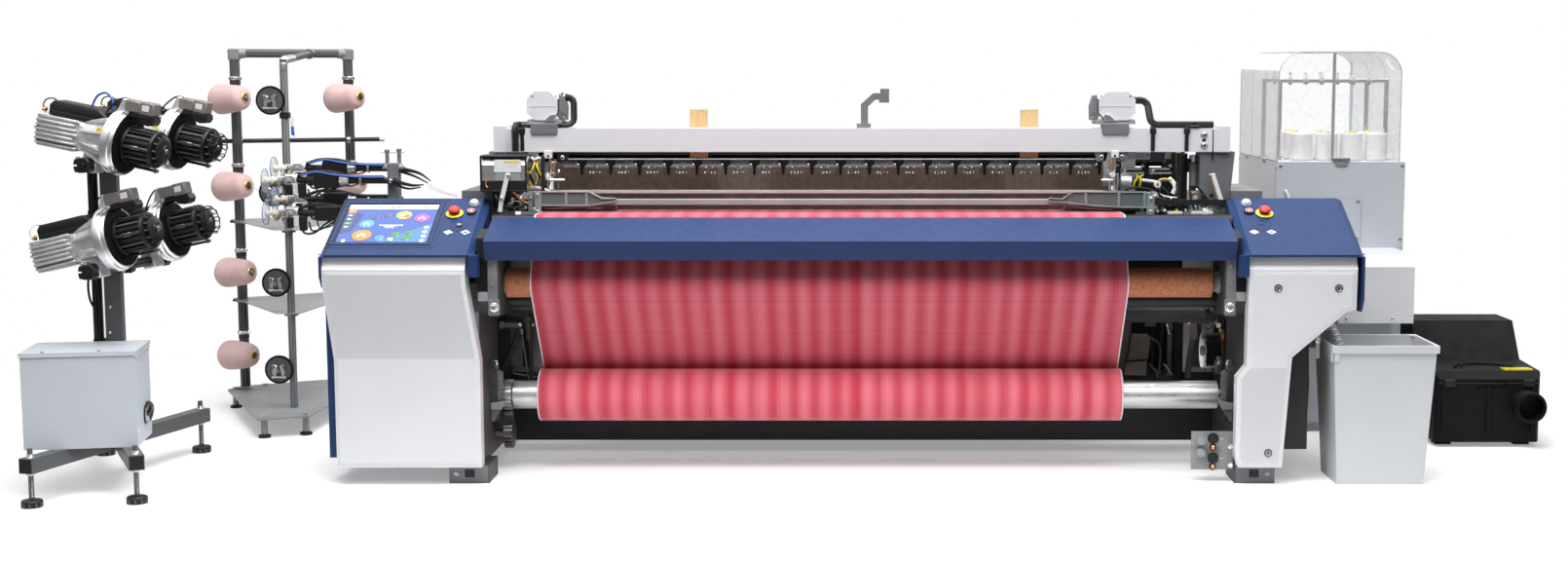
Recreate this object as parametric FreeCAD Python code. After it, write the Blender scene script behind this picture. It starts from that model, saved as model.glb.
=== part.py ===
import FreeCAD, Part
import math
import os
from FreeCAD import Vector as V

# Air-jet power loom with its weft feeders, creel, selvedge cabinet and waste gear.
# Millimetres. X runs along the cloth's width, to the weaver's right, Y away from the
# weaver, Z up. Shapes are drawn with Y counted from the front plane of the covers, and
# are set back by FRONT_Y at the end, which puts the origin at the centre of the four
# floor anchors.
FRONT_Y = -850.0

# side frames
FRAME_IN = 1320.0         # inner face of each side frame, from the loom's centre plane
FRAME_T = 110.0           # width of the side casting
FRAME_BACK = 1700.0       # rear end of the side frame
FOOT_H = 65.0
FOOT_L = 160.0
ANCHOR_FRONT_Y = 140.0    # anchor holes, from the front plane
ANCHOR_BACK_Y = 1560.0
ANCHOR_X = FRAME_IN + 52.0
ANCHOR_R = 9.0

# cloth and its path
CLOTH_X0 = 170.0 - FRAME_IN
CLOTH_X1 = FRAME_IN - 395.0
CLOTH_T = 1.0
GAP = 0.4                 # running gap of cloth and warp from a turning roll
LINE_Z = 925.0            # height of the cloth and warp line
FELL_Y = 458.0            # fell of the cloth, where the reed beats up
BREAST_Y = 235.0
BREAST_R = 30.0
BREAST_BAR_R = BREAST_R * math.cos(math.pi / 16)
TAKEUP_Y = 150.0
TAKEUP_Z = 693.0
TAKEUP_R = 52.0
TAKEUP_X0 = 84.0 - FRAME_IN
TAKEUP_X1 = FRAME_IN - 104.0
PRESS_R = 30.0
ROLL_Y = 310.0
ROLL_Z = 270.0
ROLL_R = 93.0             # wound cloth
CORE_R = 50.0
CORE_X0 = 73.0 - FRAME_IN
CORE_X1 = FRAME_IN - 48.0
JOURNAL_R = 20.0
FIT = 0.05                # radial clearance of a running journal

# gears: module, teeth and face width
ROLL_MODULE = 5.0
ROLL_TEETH = 20
IDLER_TEETH = 8
ROLL_GEAR_W = 30.0
BEAM_MODULE = 11.0
BEAM_TEETH = 32
PINION_TEETH = 10
BEAM_GEAR_W = 28.0

# warp beam and backrest
BEAM_Y = 1380.0
BEAM_Z = 480.0
BARREL_R = 95.0
FLANGE_R = 385.0
FLANGE_T = 12.0
WARP_R = 330.0            # wound warp
BACK_Y = 1645.0
BACK_R = 60.0

# sley and reed
SLEY_Y = 480.0
SLEY_Z = 540.0
SLEY_SHAFT_R = 32.0
REED_T = 8.0
REED_Z0 = 868.0
REED_Z1 = 996.0
REED_CAP = 13.0
REED_GAP_COUNT = 32
REED_DENT = 9.0           # width of one bundle of dents

# heald frames
HEALD_X0 = 130.0 - FRAME_IN
HEALD_X1 = FRAME_IN - 352.0
HEALD_Y = 606.0           # centre of the first frame
HEALD_PITCH = 34.0
HEALD_T = 12.0
HEALD_TOP = 1129.0
HEALD_RAIL = 36.0
HEALD_BOTTOM = 700.0
HEALD_STILE = 16.0
FRONT_HEDDLE_COUNT = 36
REAR_HEDDLE_COUNT = 10
HEALD_CLEAR = 0.4

# top beam
TOP_X = FRAME_IN - 45.0
TOP_Y0 = 390.0
TOP_Y1 = 510.0
TOP_Z0 = 1137.0
TOP_Z1 = 1221.0
POST_X = FRAME_IN - 105.0           # inner face of the posts that carry the top beam

# front covers and consoles
SHEET_T = 4.0
RAIL_X0 = 30.0 - FRAME_IN
RAIL_X1 = FRAME_IN - 40.0
RAIL_NOSE_Z = 850.0
RAIL_REAR = (190.0, 917.0)
RAIL_FOOT = (20.0, 783.0)
CONSOLE_DEPTH = 330.0
CONSOLE_RISE = 164.0
CONSOLE_LEFT = (-FRAME_IN - 529.0, -FRAME_IN - 4.0)
CONSOLE_RIGHT = (FRAME_IN - 18.0, FRAME_IN + 392.0)
CONSOLE_LEFT_Z = 796.0    # underside
CONSOLE_RIGHT_Z = 797.0
CONSOLE_LIP = 14.0
CONSOLE_BEVEL = 24.0
SKIRT_Z = 728.0           # lower end of the consoles' inner skirts
STOP_R = 20.0
STOP_TRAVEL = 6.0
BUTTON_R = 8.5
BUTTON_TRAVEL = 2.5

# free-standing weft gear on the left
STAND_X = -FRAME_IN - 1290.0
STAND_Y = 150.0
STAND_YAW = 10.0
FEEDER_R = 112.0          # winding ring
FEEDER_DRUM_R = 62.0
CREEL_X = -FRAME_IN - 1300.0
CREEL_TOP = 1515.0
POLE_R = 19.0
CONE_L = 160.0

# selvedge cabinet, cover and waste gear on the right
CABINET = (FRAME_IN + 300.0, FRAME_IN + 800.0, 1000.0, 1770.0)
CABINET_H = 1070.0
COVER_TOP = 1500.0
SPOOL_R = 44.0
SPOOL_H = 118.0
BIN_X = (FRAME_IN + 292.0, FRAME_IN + 660.0)
DUST_X = (FRAME_IN + 860.0, FRAME_IN + 1260.0)
BIN_D = 300.0
BIN_H = 490.0


def box(x0, x1, y0, y1, z0, z1):
    return Part.makeBox(x1 - x0, y1 - y0, z1 - z0, V(x0, y0, z0))


def face_of(points):
    return Part.Face(Part.makePolygon([V(*p) for p in points] + [V(*points[0])]))


def prism_x(outline, x0, x1):
    """Extrude an outline of (y, z) points along X."""
    return face_of([(x0, y, z) for y, z in outline]).extrude(V(x1 - x0, 0, 0))


def prism_y(outline, y0, y1):
    """Extrude an outline of (x, z) points along Y."""
    return face_of([(x, y0, z) for x, z in outline]).extrude(V(0, y1 - y0, 0))


def prism_z(outline, z0, z1):
    """Extrude an outline of (x, y) points along Z."""
    return face_of([(x, y, z0) for x, y in outline]).extrude(V(0, 0, z1 - z0))


def cyl_x(x0, x1, y, z, r):
    return Part.makeCylinder(r, x1 - x0, V(x0, y, z), V(1, 0, 0))


def rod(p, q, r):
    p = V(*p)
    q = V(*q)
    return Part.makeCylinder(r, (q - p).Length, p, q - p)


def turned_x(profile, y, z):
    """Turn a closed outline of (x, radius) points about an axis along X."""
    blank = face_of([(x, y, z + r) for x, r in profile])
    return blank.revolve(V(0, y, z), V(1, 0, 0), 360)


def join(shapes):
    whole = shapes[0]
    if len(shapes) > 1:
        whole = shapes[0].fuse(shapes[1:])
    return whole.removeSplitter()


def cut(shape, tools):
    return shape.cut(tools) if tools else shape


def group(shapes):
    solids = []
    for shape in shapes:
        solids += shape.Solids
    return Part.makeCompound(solids)


def bent_sheet(points, t):
    """Closed outline of a folded sheet: a line of (u, v) points, thickened to its right."""
    sides = []
    for (u0, v0), (u1, v1) in zip(points, points[1:]):
        length = math.hypot(u1 - u0, v1 - v0)
        sides.append(((v1 - v0) / length, -(u1 - u0) / length))
    inner = []
    for i, (u, v) in enumerate(points):
        a = sides[max(i - 1, 0)]
        b = sides[min(i, len(sides) - 1)]
        scale = t / (1 + a[0] * b[0] + a[1] * b[1])
        inner.append((u + (a[0] + b[0]) * scale, v + (a[1] + b[1]) * scale))
    return list(points) + inner[::-1]


def placed(shape, origin, yaw=0.0, pitch=0.0):
    """Turn a shape drawn at the origin about X by pitch, then about Z by yaw, and move it."""
    moved = shape.copy()
    turn = FreeCAD.Rotation(V(0, 0, 1), yaw).multiply(FreeCAD.Rotation(V(1, 0, 0), pitch))
    moved.Placement = FreeCAD.Placement(V(*origin), turn).multiply(moved.Placement)
    return moved


def skin(sections):
    """Closed solid with flat faces through rings of points, each ring as long as the next."""
    rings = [[V(*p) for p in ring] for ring in sections]
    faces = [Part.Face(Part.makePolygon(ring + ring[:1])) for ring in (rings[0], rings[-1])]
    for low, high in zip(rings, rings[1:]):
        for i in range(len(low)):
            k = (i + 1) % len(low)
            corners = [low[i], low[k], high[k], high[i]]
            plane_gap = abs((corners[1] - corners[0]).cross(corners[2] - corners[0]).normalize().dot(
                corners[3] - corners[0]))
            if plane_gap < 1e-7:
                faces.append(Part.Face(Part.makePolygon(corners + corners[:1])))
            else:
                faces.append(Part.Face(Part.makePolygon([corners[0], corners[1], corners[2], corners[0]])))
                faces.append(Part.Face(Part.makePolygon([corners[0], corners[2], corners[3], corners[0]])))
    solid = Part.Solid(Part.Shell(faces))
    if solid.Volume < 0:
        solid.reverse()
    return solid


def ring_points(centre, axis, r, sides, start=None):
    """Corners of a regular outline of the given half width r across its flats."""
    axis = V(*axis).normalize()
    side = V(0, 0, 1).cross(axis) if abs(axis.z) < 0.9 else V(1, 0, 0)
    side = (side if start is None else start).normalize()
    up = axis.cross(side)
    corner = r / math.cos(math.pi / sides)
    points = []
    for i in range(sides):
        a = 2 * math.pi * (i + 0.5) / sides
        points.append(V(*centre) + side * (corner * math.cos(a)) + up * (corner * math.sin(a)))
    return points


def stick(p, q, r, sides=8):
    """Straight bar with a many-sided section from p to q."""
    axis = tuple(V(*q) - V(*p))
    return skin([ring_points(p, axis, r, sides), ring_points(q, axis, r, sides)])


JOURNAL_SIDES = 16


def journal_x(x0, x1, y, z, r):
    """Many-sided journal whose corners lie at the radius r, so it turns freely in its seat."""
    return stick((x0, y, z), (x1, y, z), r * math.cos(math.pi / JOURNAL_SIDES), JOURNAL_SIDES)


def seat_x(x0, x1, y, z, r):
    """Tool for a journal's seat, with its flats at the radius r."""
    return stick((x0, y, z), (x1, y, z), r, JOURNAL_SIDES)


def turned(profile, origin, axis, sides):
    """Many-sided turning: profile of (distance along the axis, radius) from origin."""
    axis = V(*axis).normalize()
    rings = []
    for along, r in profile:
        rings.append(ring_points(tuple(V(*origin) + axis * along), tuple(axis), r, sides))
    return skin(rings)


def hose(points, r, bend, sides=6):
    """Hose along a route whose corners are rounded with the radius bend."""
    steps = 3
    route = [V(*points[0])]
    for before, corner, after in zip(points, points[1:], points[2:]):
        corner = V(*corner)
        a = (V(*before) - corner).normalize()
        b = (V(*after) - corner).normalize()
        half = a.getAngle(b) / 2
        reach = bend / math.tan(half)
        centre = corner + (a + b).normalize() * (bend / math.sin(half))
        first = corner + a * reach - centre
        last = corner + b * reach - centre
        for k in range(steps + 1):
            share = k / steps
            spoke = (first * (1 - share) + last * share).normalize() * bend
            route.append(centre + spoke)
    route.append(V(*points[-1]))
    rings = []
    side = None
    for i, point in enumerate(route):
        ahead = route[min(i + 1, len(route) - 1)] - route[max(i - 1, 0)]
        axis = ahead.normalize()
        if side is None:
            side = V(0, 0, 1).cross(axis) if abs(axis.z) < 0.9 else V(1, 0, 0)
        side = (side - axis * side.dot(axis)).normalize()
        rings.append(ring_points(tuple(point), tuple(axis), r, sides, side))
    return skin(rings)


def gear(module, teeth, x0, width, y, z, phase):
    """Spur gear about an axis along X; phase turns its first tooth, in degrees."""
    pitch_r = module * teeth / 2
    step = 2 * math.pi / teeth
    tip_r = pitch_r + 0.8 * module
    root_r = pitch_r - 1.0 * module
    outline = []
    for i in range(teeth):
        middle = math.radians(phase) + i * step
        for share, radius in ((-0.23, root_r), (-0.11, tip_r), (0.11, tip_r), (0.23, root_r)):
            angle = middle + share * step
            outline.append((y + radius * math.cos(angle), z + radius * math.sin(angle)))
    return prism_x(outline, x0, x0 + width)


nodes = {}


def keep(name, shape):
    nodes[name] = shape


# ---------------------------------------------------------------- rolls and gears

ROLL_GEAR_R = ROLL_MODULE * ROLL_TEETH / 2
IDLER_R = ROLL_MODULE * IDLER_TEETH / 2
IDLER_Z = ROLL_Z - ROLL_GEAR_R - IDLER_R
DRIVE_Z = IDLER_Z - IDLER_R - ROLL_GEAR_R
ROLL_GEAR_X = CORE_X0 - ROLL_GEAR_W - 6
STUD_R = 8.0
DRIVE_PHASE = 90.0        # turns the drive gear into mesh with the idler
AXLE_R = 30.0
SHAFT_R = 12.0
BEAM_GEAR_X = 58.0 - FRAME_IN
BEAM_GEAR_R = BEAM_MODULE * BEAM_TEETH / 2
PINION_R = BEAM_MODULE * PINION_TEETH / 2
PINION_Y = BEAM_Y - BEAM_GEAR_R - PINION_R
BACK_Z = LINE_Z - CLOTH_T / 2 - GAP - BACK_R
NIP = 0.6
PRESS_TURN = math.radians(-50)
PRESS_Y = TAKEUP_Y + (TAKEUP_R + PRESS_R + NIP) * math.cos(PRESS_TURN)
PRESS_Z = TAKEUP_Z + (TAKEUP_R + PRESS_R + NIP) * math.sin(PRESS_TURN)
BREAST_Z = LINE_Z - CLOTH_T / 2 - GAP - BREAST_R
SEAT = 40.0               # depth of a journal in its casting


def take_up_roller():
    journal = journal_x(1 - FRAME_IN, FRAME_IN - 1, TAKEUP_Y, TAKEUP_Z, JOURNAL_R)
    keep("take_up_roller", join([cyl_x(TAKEUP_X0, TAKEUP_X1, TAKEUP_Y, TAKEUP_Z, TAKEUP_R), journal]))
    keep("press_roller", cyl_x(1 - FRAME_IN, FRAME_IN - 1, PRESS_Y, PRESS_Z, PRESS_R))


def cloth_roll():
    tube = cyl_x(CORE_X0, CORE_X1, ROLL_Y, ROLL_Z, CORE_R)
    journal = journal_x(1 - FRAME_IN, FRAME_IN - 1, ROLL_Y, ROLL_Z, JOURNAL_R)
    wheel = gear(ROLL_MODULE, ROLL_TEETH, ROLL_GEAR_X, ROLL_GEAR_W, ROLL_Y, ROLL_Z, -90)
    keep("cloth_roll_core", join([tube, journal, wheel]))
    rim = 6.0
    profile = [(CLOTH_X0 - 4, CORE_R), (CLOTH_X0 - 4, ROLL_R - rim), (CLOTH_X0 + 2, ROLL_R)]
    profile += [(CLOTH_X1 - 2, ROLL_R), (CLOTH_X1 + 4, ROLL_R - rim), (CLOTH_X1 + 4, CORE_R)]
    keep("cloth_roll", turned_x(profile, ROLL_Y, ROLL_Z))
    wheel = gear(ROLL_MODULE, IDLER_TEETH, ROLL_GEAR_X, ROLL_GEAR_W, ROLL_Y, IDLER_Z, 90 + 180.0 / IDLER_TEETH)
    bore = seat_x(ROLL_GEAR_X - 1, CORE_X0, ROLL_Y, IDLER_Z, STUD_R + FIT)
    keep("roll_idler_gear", cut(wheel, [bore]))
    wheel = gear(ROLL_MODULE, ROLL_TEETH, ROLL_GEAR_X, ROLL_GEAR_W, ROLL_Y, DRIVE_Z, DRIVE_PHASE)
    shaft = journal_x(-FRAME_IN - SEAT, ROLL_GEAR_X, ROLL_Y, DRIVE_Z, SHAFT_R)
    keep("roll_drive_gear", join([wheel, shaft]))


def warp_beam():
    x0 = CLOTH_X0 - 20
    x1 = CLOTH_X1 + 20
    axle = (0, BEAM_Y, BEAM_Z)
    pieces = [journal_x(-FRAME_IN - SEAT, FRAME_IN + SEAT, BEAM_Y, BEAM_Z, AXLE_R)]
    pieces.append(turned([(x0, BARREL_R), (x1, BARREL_R)], axle, (1, 0, 0), 12))
    for x in (x0 - FLANGE_T, x1):
        pieces.append(turned([(x, FLANGE_R), (x + FLANGE_T, FLANGE_R)], axle, (1, 0, 0), 24))
    pieces.append(gear(BEAM_MODULE, BEAM_TEETH, BEAM_GEAR_X, BEAM_GEAR_W, BEAM_Y, BEAM_Z, 180))
    keep("warp_beam", join(pieces))
    barrel = turned([(x0, BARREL_R), (x1, BARREL_R)], axle, (1, 0, 0), 12)
    keep("wound_warp", cut(cyl_x(x0, x1, BEAM_Y, BEAM_Z, WARP_R), [barrel]))
    pinion = gear(BEAM_MODULE, PINION_TEETH, BEAM_GEAR_X, BEAM_GEAR_W, PINION_Y, BEAM_Z, 180.0 / PINION_TEETH)
    shaft = journal_x(-FRAME_IN - SEAT, BEAM_GEAR_X, PINION_Y, BEAM_Z, SHAFT_R)
    keep("let_off_pinion", join([pinion, shaft]))


def back_roller():
    journal = journal_x(-FRAME_IN - SEAT, FRAME_IN + SEAT, BACK_Y, BACK_Z, JOURNAL_R)
    keep("back_roller", join([cyl_x(CLOTH_X0 - 50, CLOTH_X1 + 50, BACK_Y, BACK_Z, BACK_R), journal]))


# ---------------------------------------------------------------- cloth and warp

def belt(rolls, t, x0, x1):
    """Web of thickness t over rolls of (y, z, radius of its middle, side). Side 1 passes
    to the left of a roll as the web travels, -1 to its right; the first and last roll
    are where the web starts and ends."""
    def side_edges(shift):
        legs = []
        for (ya, za, ra, sa), (yb, zb, rb, sb) in zip(rolls, rolls[1:]):
            ra = sa * ra
            rb = sb * rb
            gap = math.hypot(yb - ya, zb - za)
            heading = math.atan2(zb - za, yb - ya) - math.asin((ra - rb) / gap)
            ny = -math.sin(heading)
            nz = math.cos(heading)
            legs.append((V(x0, ya + ny * (ra + shift), za + nz * (ra + shift)),
                         V(x0, yb + ny * (rb + shift), zb + nz * (rb + shift))))
        edges = []
        for i, (a, b) in enumerate(legs):
            edges.append(Part.LineSegment(a, b).toShape())
            if i + 1 < len(legs):
                y, z, r, side = rolls[i + 1]
                centre = V(x0, y, z)
                c = legs[i + 1][0]
                middle = centre + ((b - centre) + (c - centre)).normalize() * (r + side * shift)
                edges.append(Part.Arc(b, middle, c).toShape())
        return edges, legs[0][0], legs[-1][1]

    near, near_start, near_end = side_edges(-t / 2)
    far, far_start, far_end = side_edges(t / 2)
    ends = [Part.LineSegment(near_end, far_end).toShape(), Part.LineSegment(far_start, near_start).toShape()]
    outline = Part.Wire(Part.__sortEdges__(near + far + ends))
    return Part.Face(outline).extrude(V(x1 - x0, 0, 0))


def cloth_web():
    """Cloth from the fell over the breast bar, round the take-up roller, back to the roll."""
    half = CLOTH_T / 2
    rolls = [(FELL_Y, LINE_Z, 0.0, 1)]
    rolls.append((BREAST_Y, BREAST_Z, BREAST_R + GAP + half, -1))
    rolls.append((TAKEUP_Y, TAKEUP_Z, TAKEUP_R + GAP + half, -1))
    rolls.append((ROLL_Y, ROLL_Z, ROLL_R + GAP + half, 1))
    keep("cloth_web", belt(rolls, CLOTH_T, CLOTH_X0, CLOTH_X1))


def warp_sheet():
    """Warp from the beam up over the back roller to the last heald frame."""
    half = CLOTH_T / 2
    rolls = [(BEAM_Y, BEAM_Z, WARP_R + GAP + half, -1)]
    rolls.append((BACK_Y, BACK_Z, BACK_R + GAP + half, -1))
    rolls.append((HEALD_Y + 3 * HEALD_PITCH + HEALD_T + 20, LINE_Z, 0.0, 1))
    keep("warp_sheet", belt(rolls, CLOTH_T, CLOTH_X0, CLOTH_X1))


# ---------------------------------------------------------------- side frames and beams

def side_frame(side):
    """Left (-1) or right (+1) side casting, drawn on the right and mirrored for the left."""
    x0 = FRAME_IN
    x1 = FRAME_IN + FRAME_T
    top_front = 700.0
    top_mid = 1000.0
    behind = CONSOLE_DEPTH + 18
    wall = [(60, FOOT_H), (FRAME_BACK - 20, FOOT_H), (FRAME_BACK, 140), (FRAME_BACK, 920)]
    wall += [(BACK_Y - 65, 920), (BACK_Y - 155, 700), (830, 700), (780, top_mid)]
    wall += [(behind, top_mid), (behind, top_front), (60, top_front)]
    body = prism_x(wall, x0, x1)
    pieces = [body]
    for y in (ANCHOR_FRONT_Y, ANCHOR_BACK_Y):
        pieces.append(box(x0 - 24, x1 + 6, y - FOOT_L / 2, y + FOOT_L / 2, 0, FOOT_H))
    post = [(POST_X, TOP_Z0), (POST_X, 1010), (x0 - 40, 930), (x0, 930), (x0 + 20, TOP_Z0)]
    pieces.append(prism_y(post, TOP_Y0 + 10, TOP_Y1 - 10))
    body = join(pieces)
    holes = []
    for y in (ANCHOR_FRONT_Y, ANCHOR_BACK_Y):
        holes.append(Part.makeCylinder(ANCHOR_R, FOOT_H, V(ANCHOR_X, y, 0)))
    for y, z, w, h in ((520, 380, 260, 300), (1010, 330, 220, 260)):
        window = prism_x([(y - w / 2, z - h / 2), (y + w / 2, z - h / 2), (y + w / 2, z + h / 4),
                          (y + w / 4, z + h / 2), (y - w / 2, z + h / 2)], x0 - 1, x1 + 1)
        holes.append(window)
    seats = [(BACK_Y, BACK_Z, JOURNAL_R), (BEAM_Y, BEAM_Z, AXLE_R)]
    seats += [(SLEY_Y, SLEY_Z, SLEY_SHAFT_R)]
    if side < 0:
        seats += [(ROLL_Y, DRIVE_Z, SHAFT_R), (PINION_Y, BEAM_Z, SHAFT_R)]
    for y, z, r in seats:
        holes.append(seat_x(x0 - 1, x0 + SEAT + 2, y, z, r + FIT))
    body = cut(body, holes)
    if side < 0:
        stud = journal_x(-ROLL_GEAR_X - ROLL_GEAR_W, x0, ROLL_Y, IDLER_Z, STUD_R)
        body = join([body, stud])
        body = body.mirror(V(0, 0, 0), V(1, 0, 0))
    return body


def roller_bracket(side):
    """Casting on the side frame that carries the take-up and press rollers, breast beam and bar."""
    x0 = FRAME_IN - 76
    outline = [(40, 640), (90, 590), (240, 570), (272, 640), (272, BREAST_Z - 24), (206, BREAST_Z - 24)]
    outline += [(196, 795), (40, 795)]
    body = prism_x(outline, x0, FRAME_IN)
    holes = [seat_x(x0 - 1, FRAME_IN + 1, TAKEUP_Y, TAKEUP_Z, JOURNAL_R + FIT)]
    holes.append(seat_x(x0 - 1, FRAME_IN + 1, PRESS_Y, PRESS_Z, PRESS_R + FIT))
    holes.append(stick((x0 - 1, BREAST_Y, BREAST_Z), (FRAME_IN + 1, BREAST_Y, BREAST_Z), BREAST_BAR_R, 16))
    body = cut(body, holes)
    if side < 0:
        body = body.mirror(V(0, 0, 0), V(1, 0, 0))
    return body


def roll_bracket(side):
    """Catch for the cloth roll's journal, with its release handle."""
    x0 = ROLL_CATCH_X
    outline = [(ROLL_Y - 50, 180), (ROLL_Y + 60, 180), (ROLL_Y + 70, 300), (ROLL_Y + 30, 350)]
    outline += [(ROLL_Y - 30, 350), (ROLL_Y - 60, 300), (ROLL_Y - 120, 396), (ROLL_Y - 146, 384), (ROLL_Y - 84, 270)]
    body = prism_x(outline, x0, FRAME_IN)
    holes = [seat_x(x0 - 1, FRAME_IN + 1, ROLL_Y, ROLL_Z, JOURNAL_R + FIT)]
    if side < 0:
        holes.append(seat_x(x0 - 1, FRAME_IN + 1, ROLL_Y, IDLER_Z, STUD_R * math.cos(math.pi / JOURNAL_SIDES)))
    body = cut(body, holes)
    if side < 0:
        body = body.mirror(V(0, 0, 0), V(1, 0, 0))
    return body


def rail_inner_z(y):
    """Height of the rail cover's inner face above its nose."""
    run = RAIL_REAR[0]
    rise = RAIL_REAR[1] - RAIL_NOSE_Z
    return RAIL_NOSE_Z + y * rise / run - SHEET_T * math.hypot(run, rise) / run


def cross_beams():
    breast_y = (34.0, 108.0)
    breast = [(breast_y[0], 795), (breast_y[1], 795), (breast_y[1], rail_inner_z(breast_y[1]))]
    breast.append((breast_y[0], rail_inner_z(breast_y[0])))
    beams = [prism_x(breast, -FRAME_IN, CONSOLE_RIGHT[0] - 2)]
    front = [(640, 40), (760, 40), (760, 60), (665, 60), (665, 280), (760, 280), (760, 300), (640, 300)]
    beams.append(prism_x(front, -FRAME_IN, FRAME_IN))
    beams.append(box(-FRAME_IN, FRAME_IN, 1600, 1670, 90, 140))
    reach = FRAME_IN - 22
    beams.append(stick((-reach, BREAST_Y, BREAST_Z), (reach, BREAST_Y, BREAST_Z), BREAST_BAR_R, 16))
    beams.append(box(-FRAME_IN, FRAME_IN, 356, 382, 948, 968))
    keep("cross_beams", group(beams))


def top_beam():
    wall = 8.0
    outer = box(-TOP_X, TOP_X, TOP_Y0, TOP_Y1, TOP_Z0, TOP_Z1)
    inner = box(-TOP_X - 1, TOP_X + 1, TOP_Y0 + wall, TOP_Y1 - wall, TOP_Z0 + wall, TOP_Z1 - wall)
    pieces = [cut(outer, [inner])]
    for side in (-1, 1):
        block = box(TOP_X, TOP_X + 44, TOP_Y0 - 6, TOP_Y1 + 6, TOP_Z0, TOP_Z1 + 8)
        pieces.append(block if side > 0 else block.mirror(V(0, 0, 0), V(1, 0, 0)))
    # guides of the heald frames, one on each end of the frames
    for x, side in ((HEALD_X0, -1), (HEALD_X1, 1)):
        deep = 10.0
        arm = 40.0
        y0 = HEALD_Y - HEALD_PITCH / 2 - 8
        y1 = HEALD_Y + 3.5 * HEALD_PITCH + 4
        comb = box(x - deep, x + arm, y0, y1, 985, 1176)
        if side < 0:
            comb = box(x - arm, x + deep, y0, y1, 985, 1176)
        grooves = []
        for i in range(4):
            y = HEALD_Y + i * HEALD_PITCH
            half = HEALD_T / 2 + HEALD_CLEAR
            if side > 0:
                grooves.append(box(x - deep - 1, x + HEALD_CLEAR, y - half, y + half, 980, 1180))
            else:
                grooves.append(box(x - HEALD_CLEAR, x + deep + 1, y - half, y + half, 980, 1180))
        lug_x = x + 16 if side > 0 else x - 34
        lug = box(lug_x, lug_x + 18, TOP_Y1, y0, 1150, 1176)
        pieces.append(join([cut(comb, grooves), lug]))
    keep("top_beam", group(pieces))


ROLL_CATCH_X = FRAME_IN - 26.0


def beam_blocks():
    boards = []
    for x in (-627, 578):
        boards.append(box(x, x + 64, TOP_Y1, TOP_Y1 + 20, 1112, 1286))
    keep("beam_blocks", group(boards))
    crank = [(-19, TOP_Z1), (32, TOP_Z1), (32, TOP_Z1 + 16), (22, TOP_Z1 + 16), (22, 1298), (48, 1322)]
    crank += [(62, 1322), (62, 1312), (98, 1312), (98, 1362), (66, 1362), (66, 1346), (40, 1346)]
    crank += [(-4, 1306), (-4, TOP_Z1 + 16), (-19, TOP_Z1 + 16)]
    body = prism_y(crank, 440, 462)
    keep("clamp_bracket", body)


# ---------------------------------------------------------------- sley and healds

def sley():
    x0 = CLOTH_X0 - 40
    x1 = CLOTH_X1 + 50
    shaft = journal_x(-FRAME_IN - SEAT, FRAME_IN + SEAT, SLEY_Y, SLEY_Z, SLEY_SHAFT_R)
    beam = prism_x([(445, 800), (500, 800), (508, 840), (508, 866), (480, 866), (480, REED_Z0),
                    (474.4, REED_Z0), (456, REED_Z0), (445, 850)], x0, x1)
    pieces = [shaft, beam]
    count = 4
    for i in range(count):
        x = x0 + 90 + i * (x1 - x0 - 180) / (count - 1)
        sword = [(SLEY_Y - 34, SLEY_Z), (SLEY_Y + 34, SLEY_Z), (SLEY_Y + 16, 801), (SLEY_Y - 24, 801)]
        pieces.append(prism_x(sword, x - 15, x + 15))
    keep("sley", join(pieces))
    reed_y = FELL_Y + 4
    wall = box(x0 + 20, x1 - 20, reed_y, reed_y + REED_T, REED_Z0, REED_Z1)
    pitch = (CLOTH_X1 - CLOTH_X0) / REED_GAP_COUNT
    gaps = []
    for i in range(REED_GAP_COUNT):
        x = CLOTH_X0 + i * pitch
        gaps.append(box(x, x + pitch - REED_DENT, reed_y - 1, reed_y + REED_T + 1,
                        REED_Z0 + REED_CAP, REED_Z1 - REED_CAP))
    keep("reed", cut(wall, gaps))


def heald_frame(i):
    """Frame of two rails and two stiles, with its heddles hanging between the rails."""
    y0 = HEALD_Y + i * HEALD_PITCH - HEALD_T / 2
    y1 = y0 + HEALD_T
    frame = box(HEALD_X0, HEALD_X1, y0, y1, HEALD_BOTTOM, HEALD_TOP)
    opening = box(HEALD_X0 + HEALD_STILE, HEALD_X1 - HEALD_STILE, y0 - 1, y1 + 1,
                  HEALD_BOTTOM + HEALD_RAIL, HEALD_TOP - HEALD_RAIL)
    frame = cut(frame, [opening])
    y = (y0 + y1) / 2
    pieces = [frame]
    count = FRONT_HEDDLE_COUNT if i == 0 else REAR_HEDDLE_COUNT
    span = CLOTH_X1 - CLOTH_X0
    for k in range(count):
        x = CLOTH_X0 + (k + 0.5) * span / count
        z0 = HEALD_BOTTOM + HEALD_RAIL
        pieces.append(box(x - 1.5, x + 1.5, y - 2.5, y + 2.5, z0, HEALD_TOP - HEALD_RAIL))
    return group(pieces)


# ---------------------------------------------------------------- covers and consoles

def rail_cover():
    outline = bent_sheet([RAIL_FOOT, (0, RAIL_NOSE_Z), RAIL_REAR, (200, 905)], SHEET_T)
    keep("rail_cover", prism_x(outline, RAIL_X0, RAIL_X1))


def console_outline(bottom):
    """Side view of a console, as (y, z) points."""
    lip = bottom + CONSOLE_LIP
    rear = CONSOLE_DEPTH + 14
    outline = [(-14, bottom), (-14, lip - 5), (0, lip), (CONSOLE_DEPTH, lip + CONSOLE_RISE)]
    return outline + [(rear, lip + CONSOLE_RISE - 6), (rear, bottom)]


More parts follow.
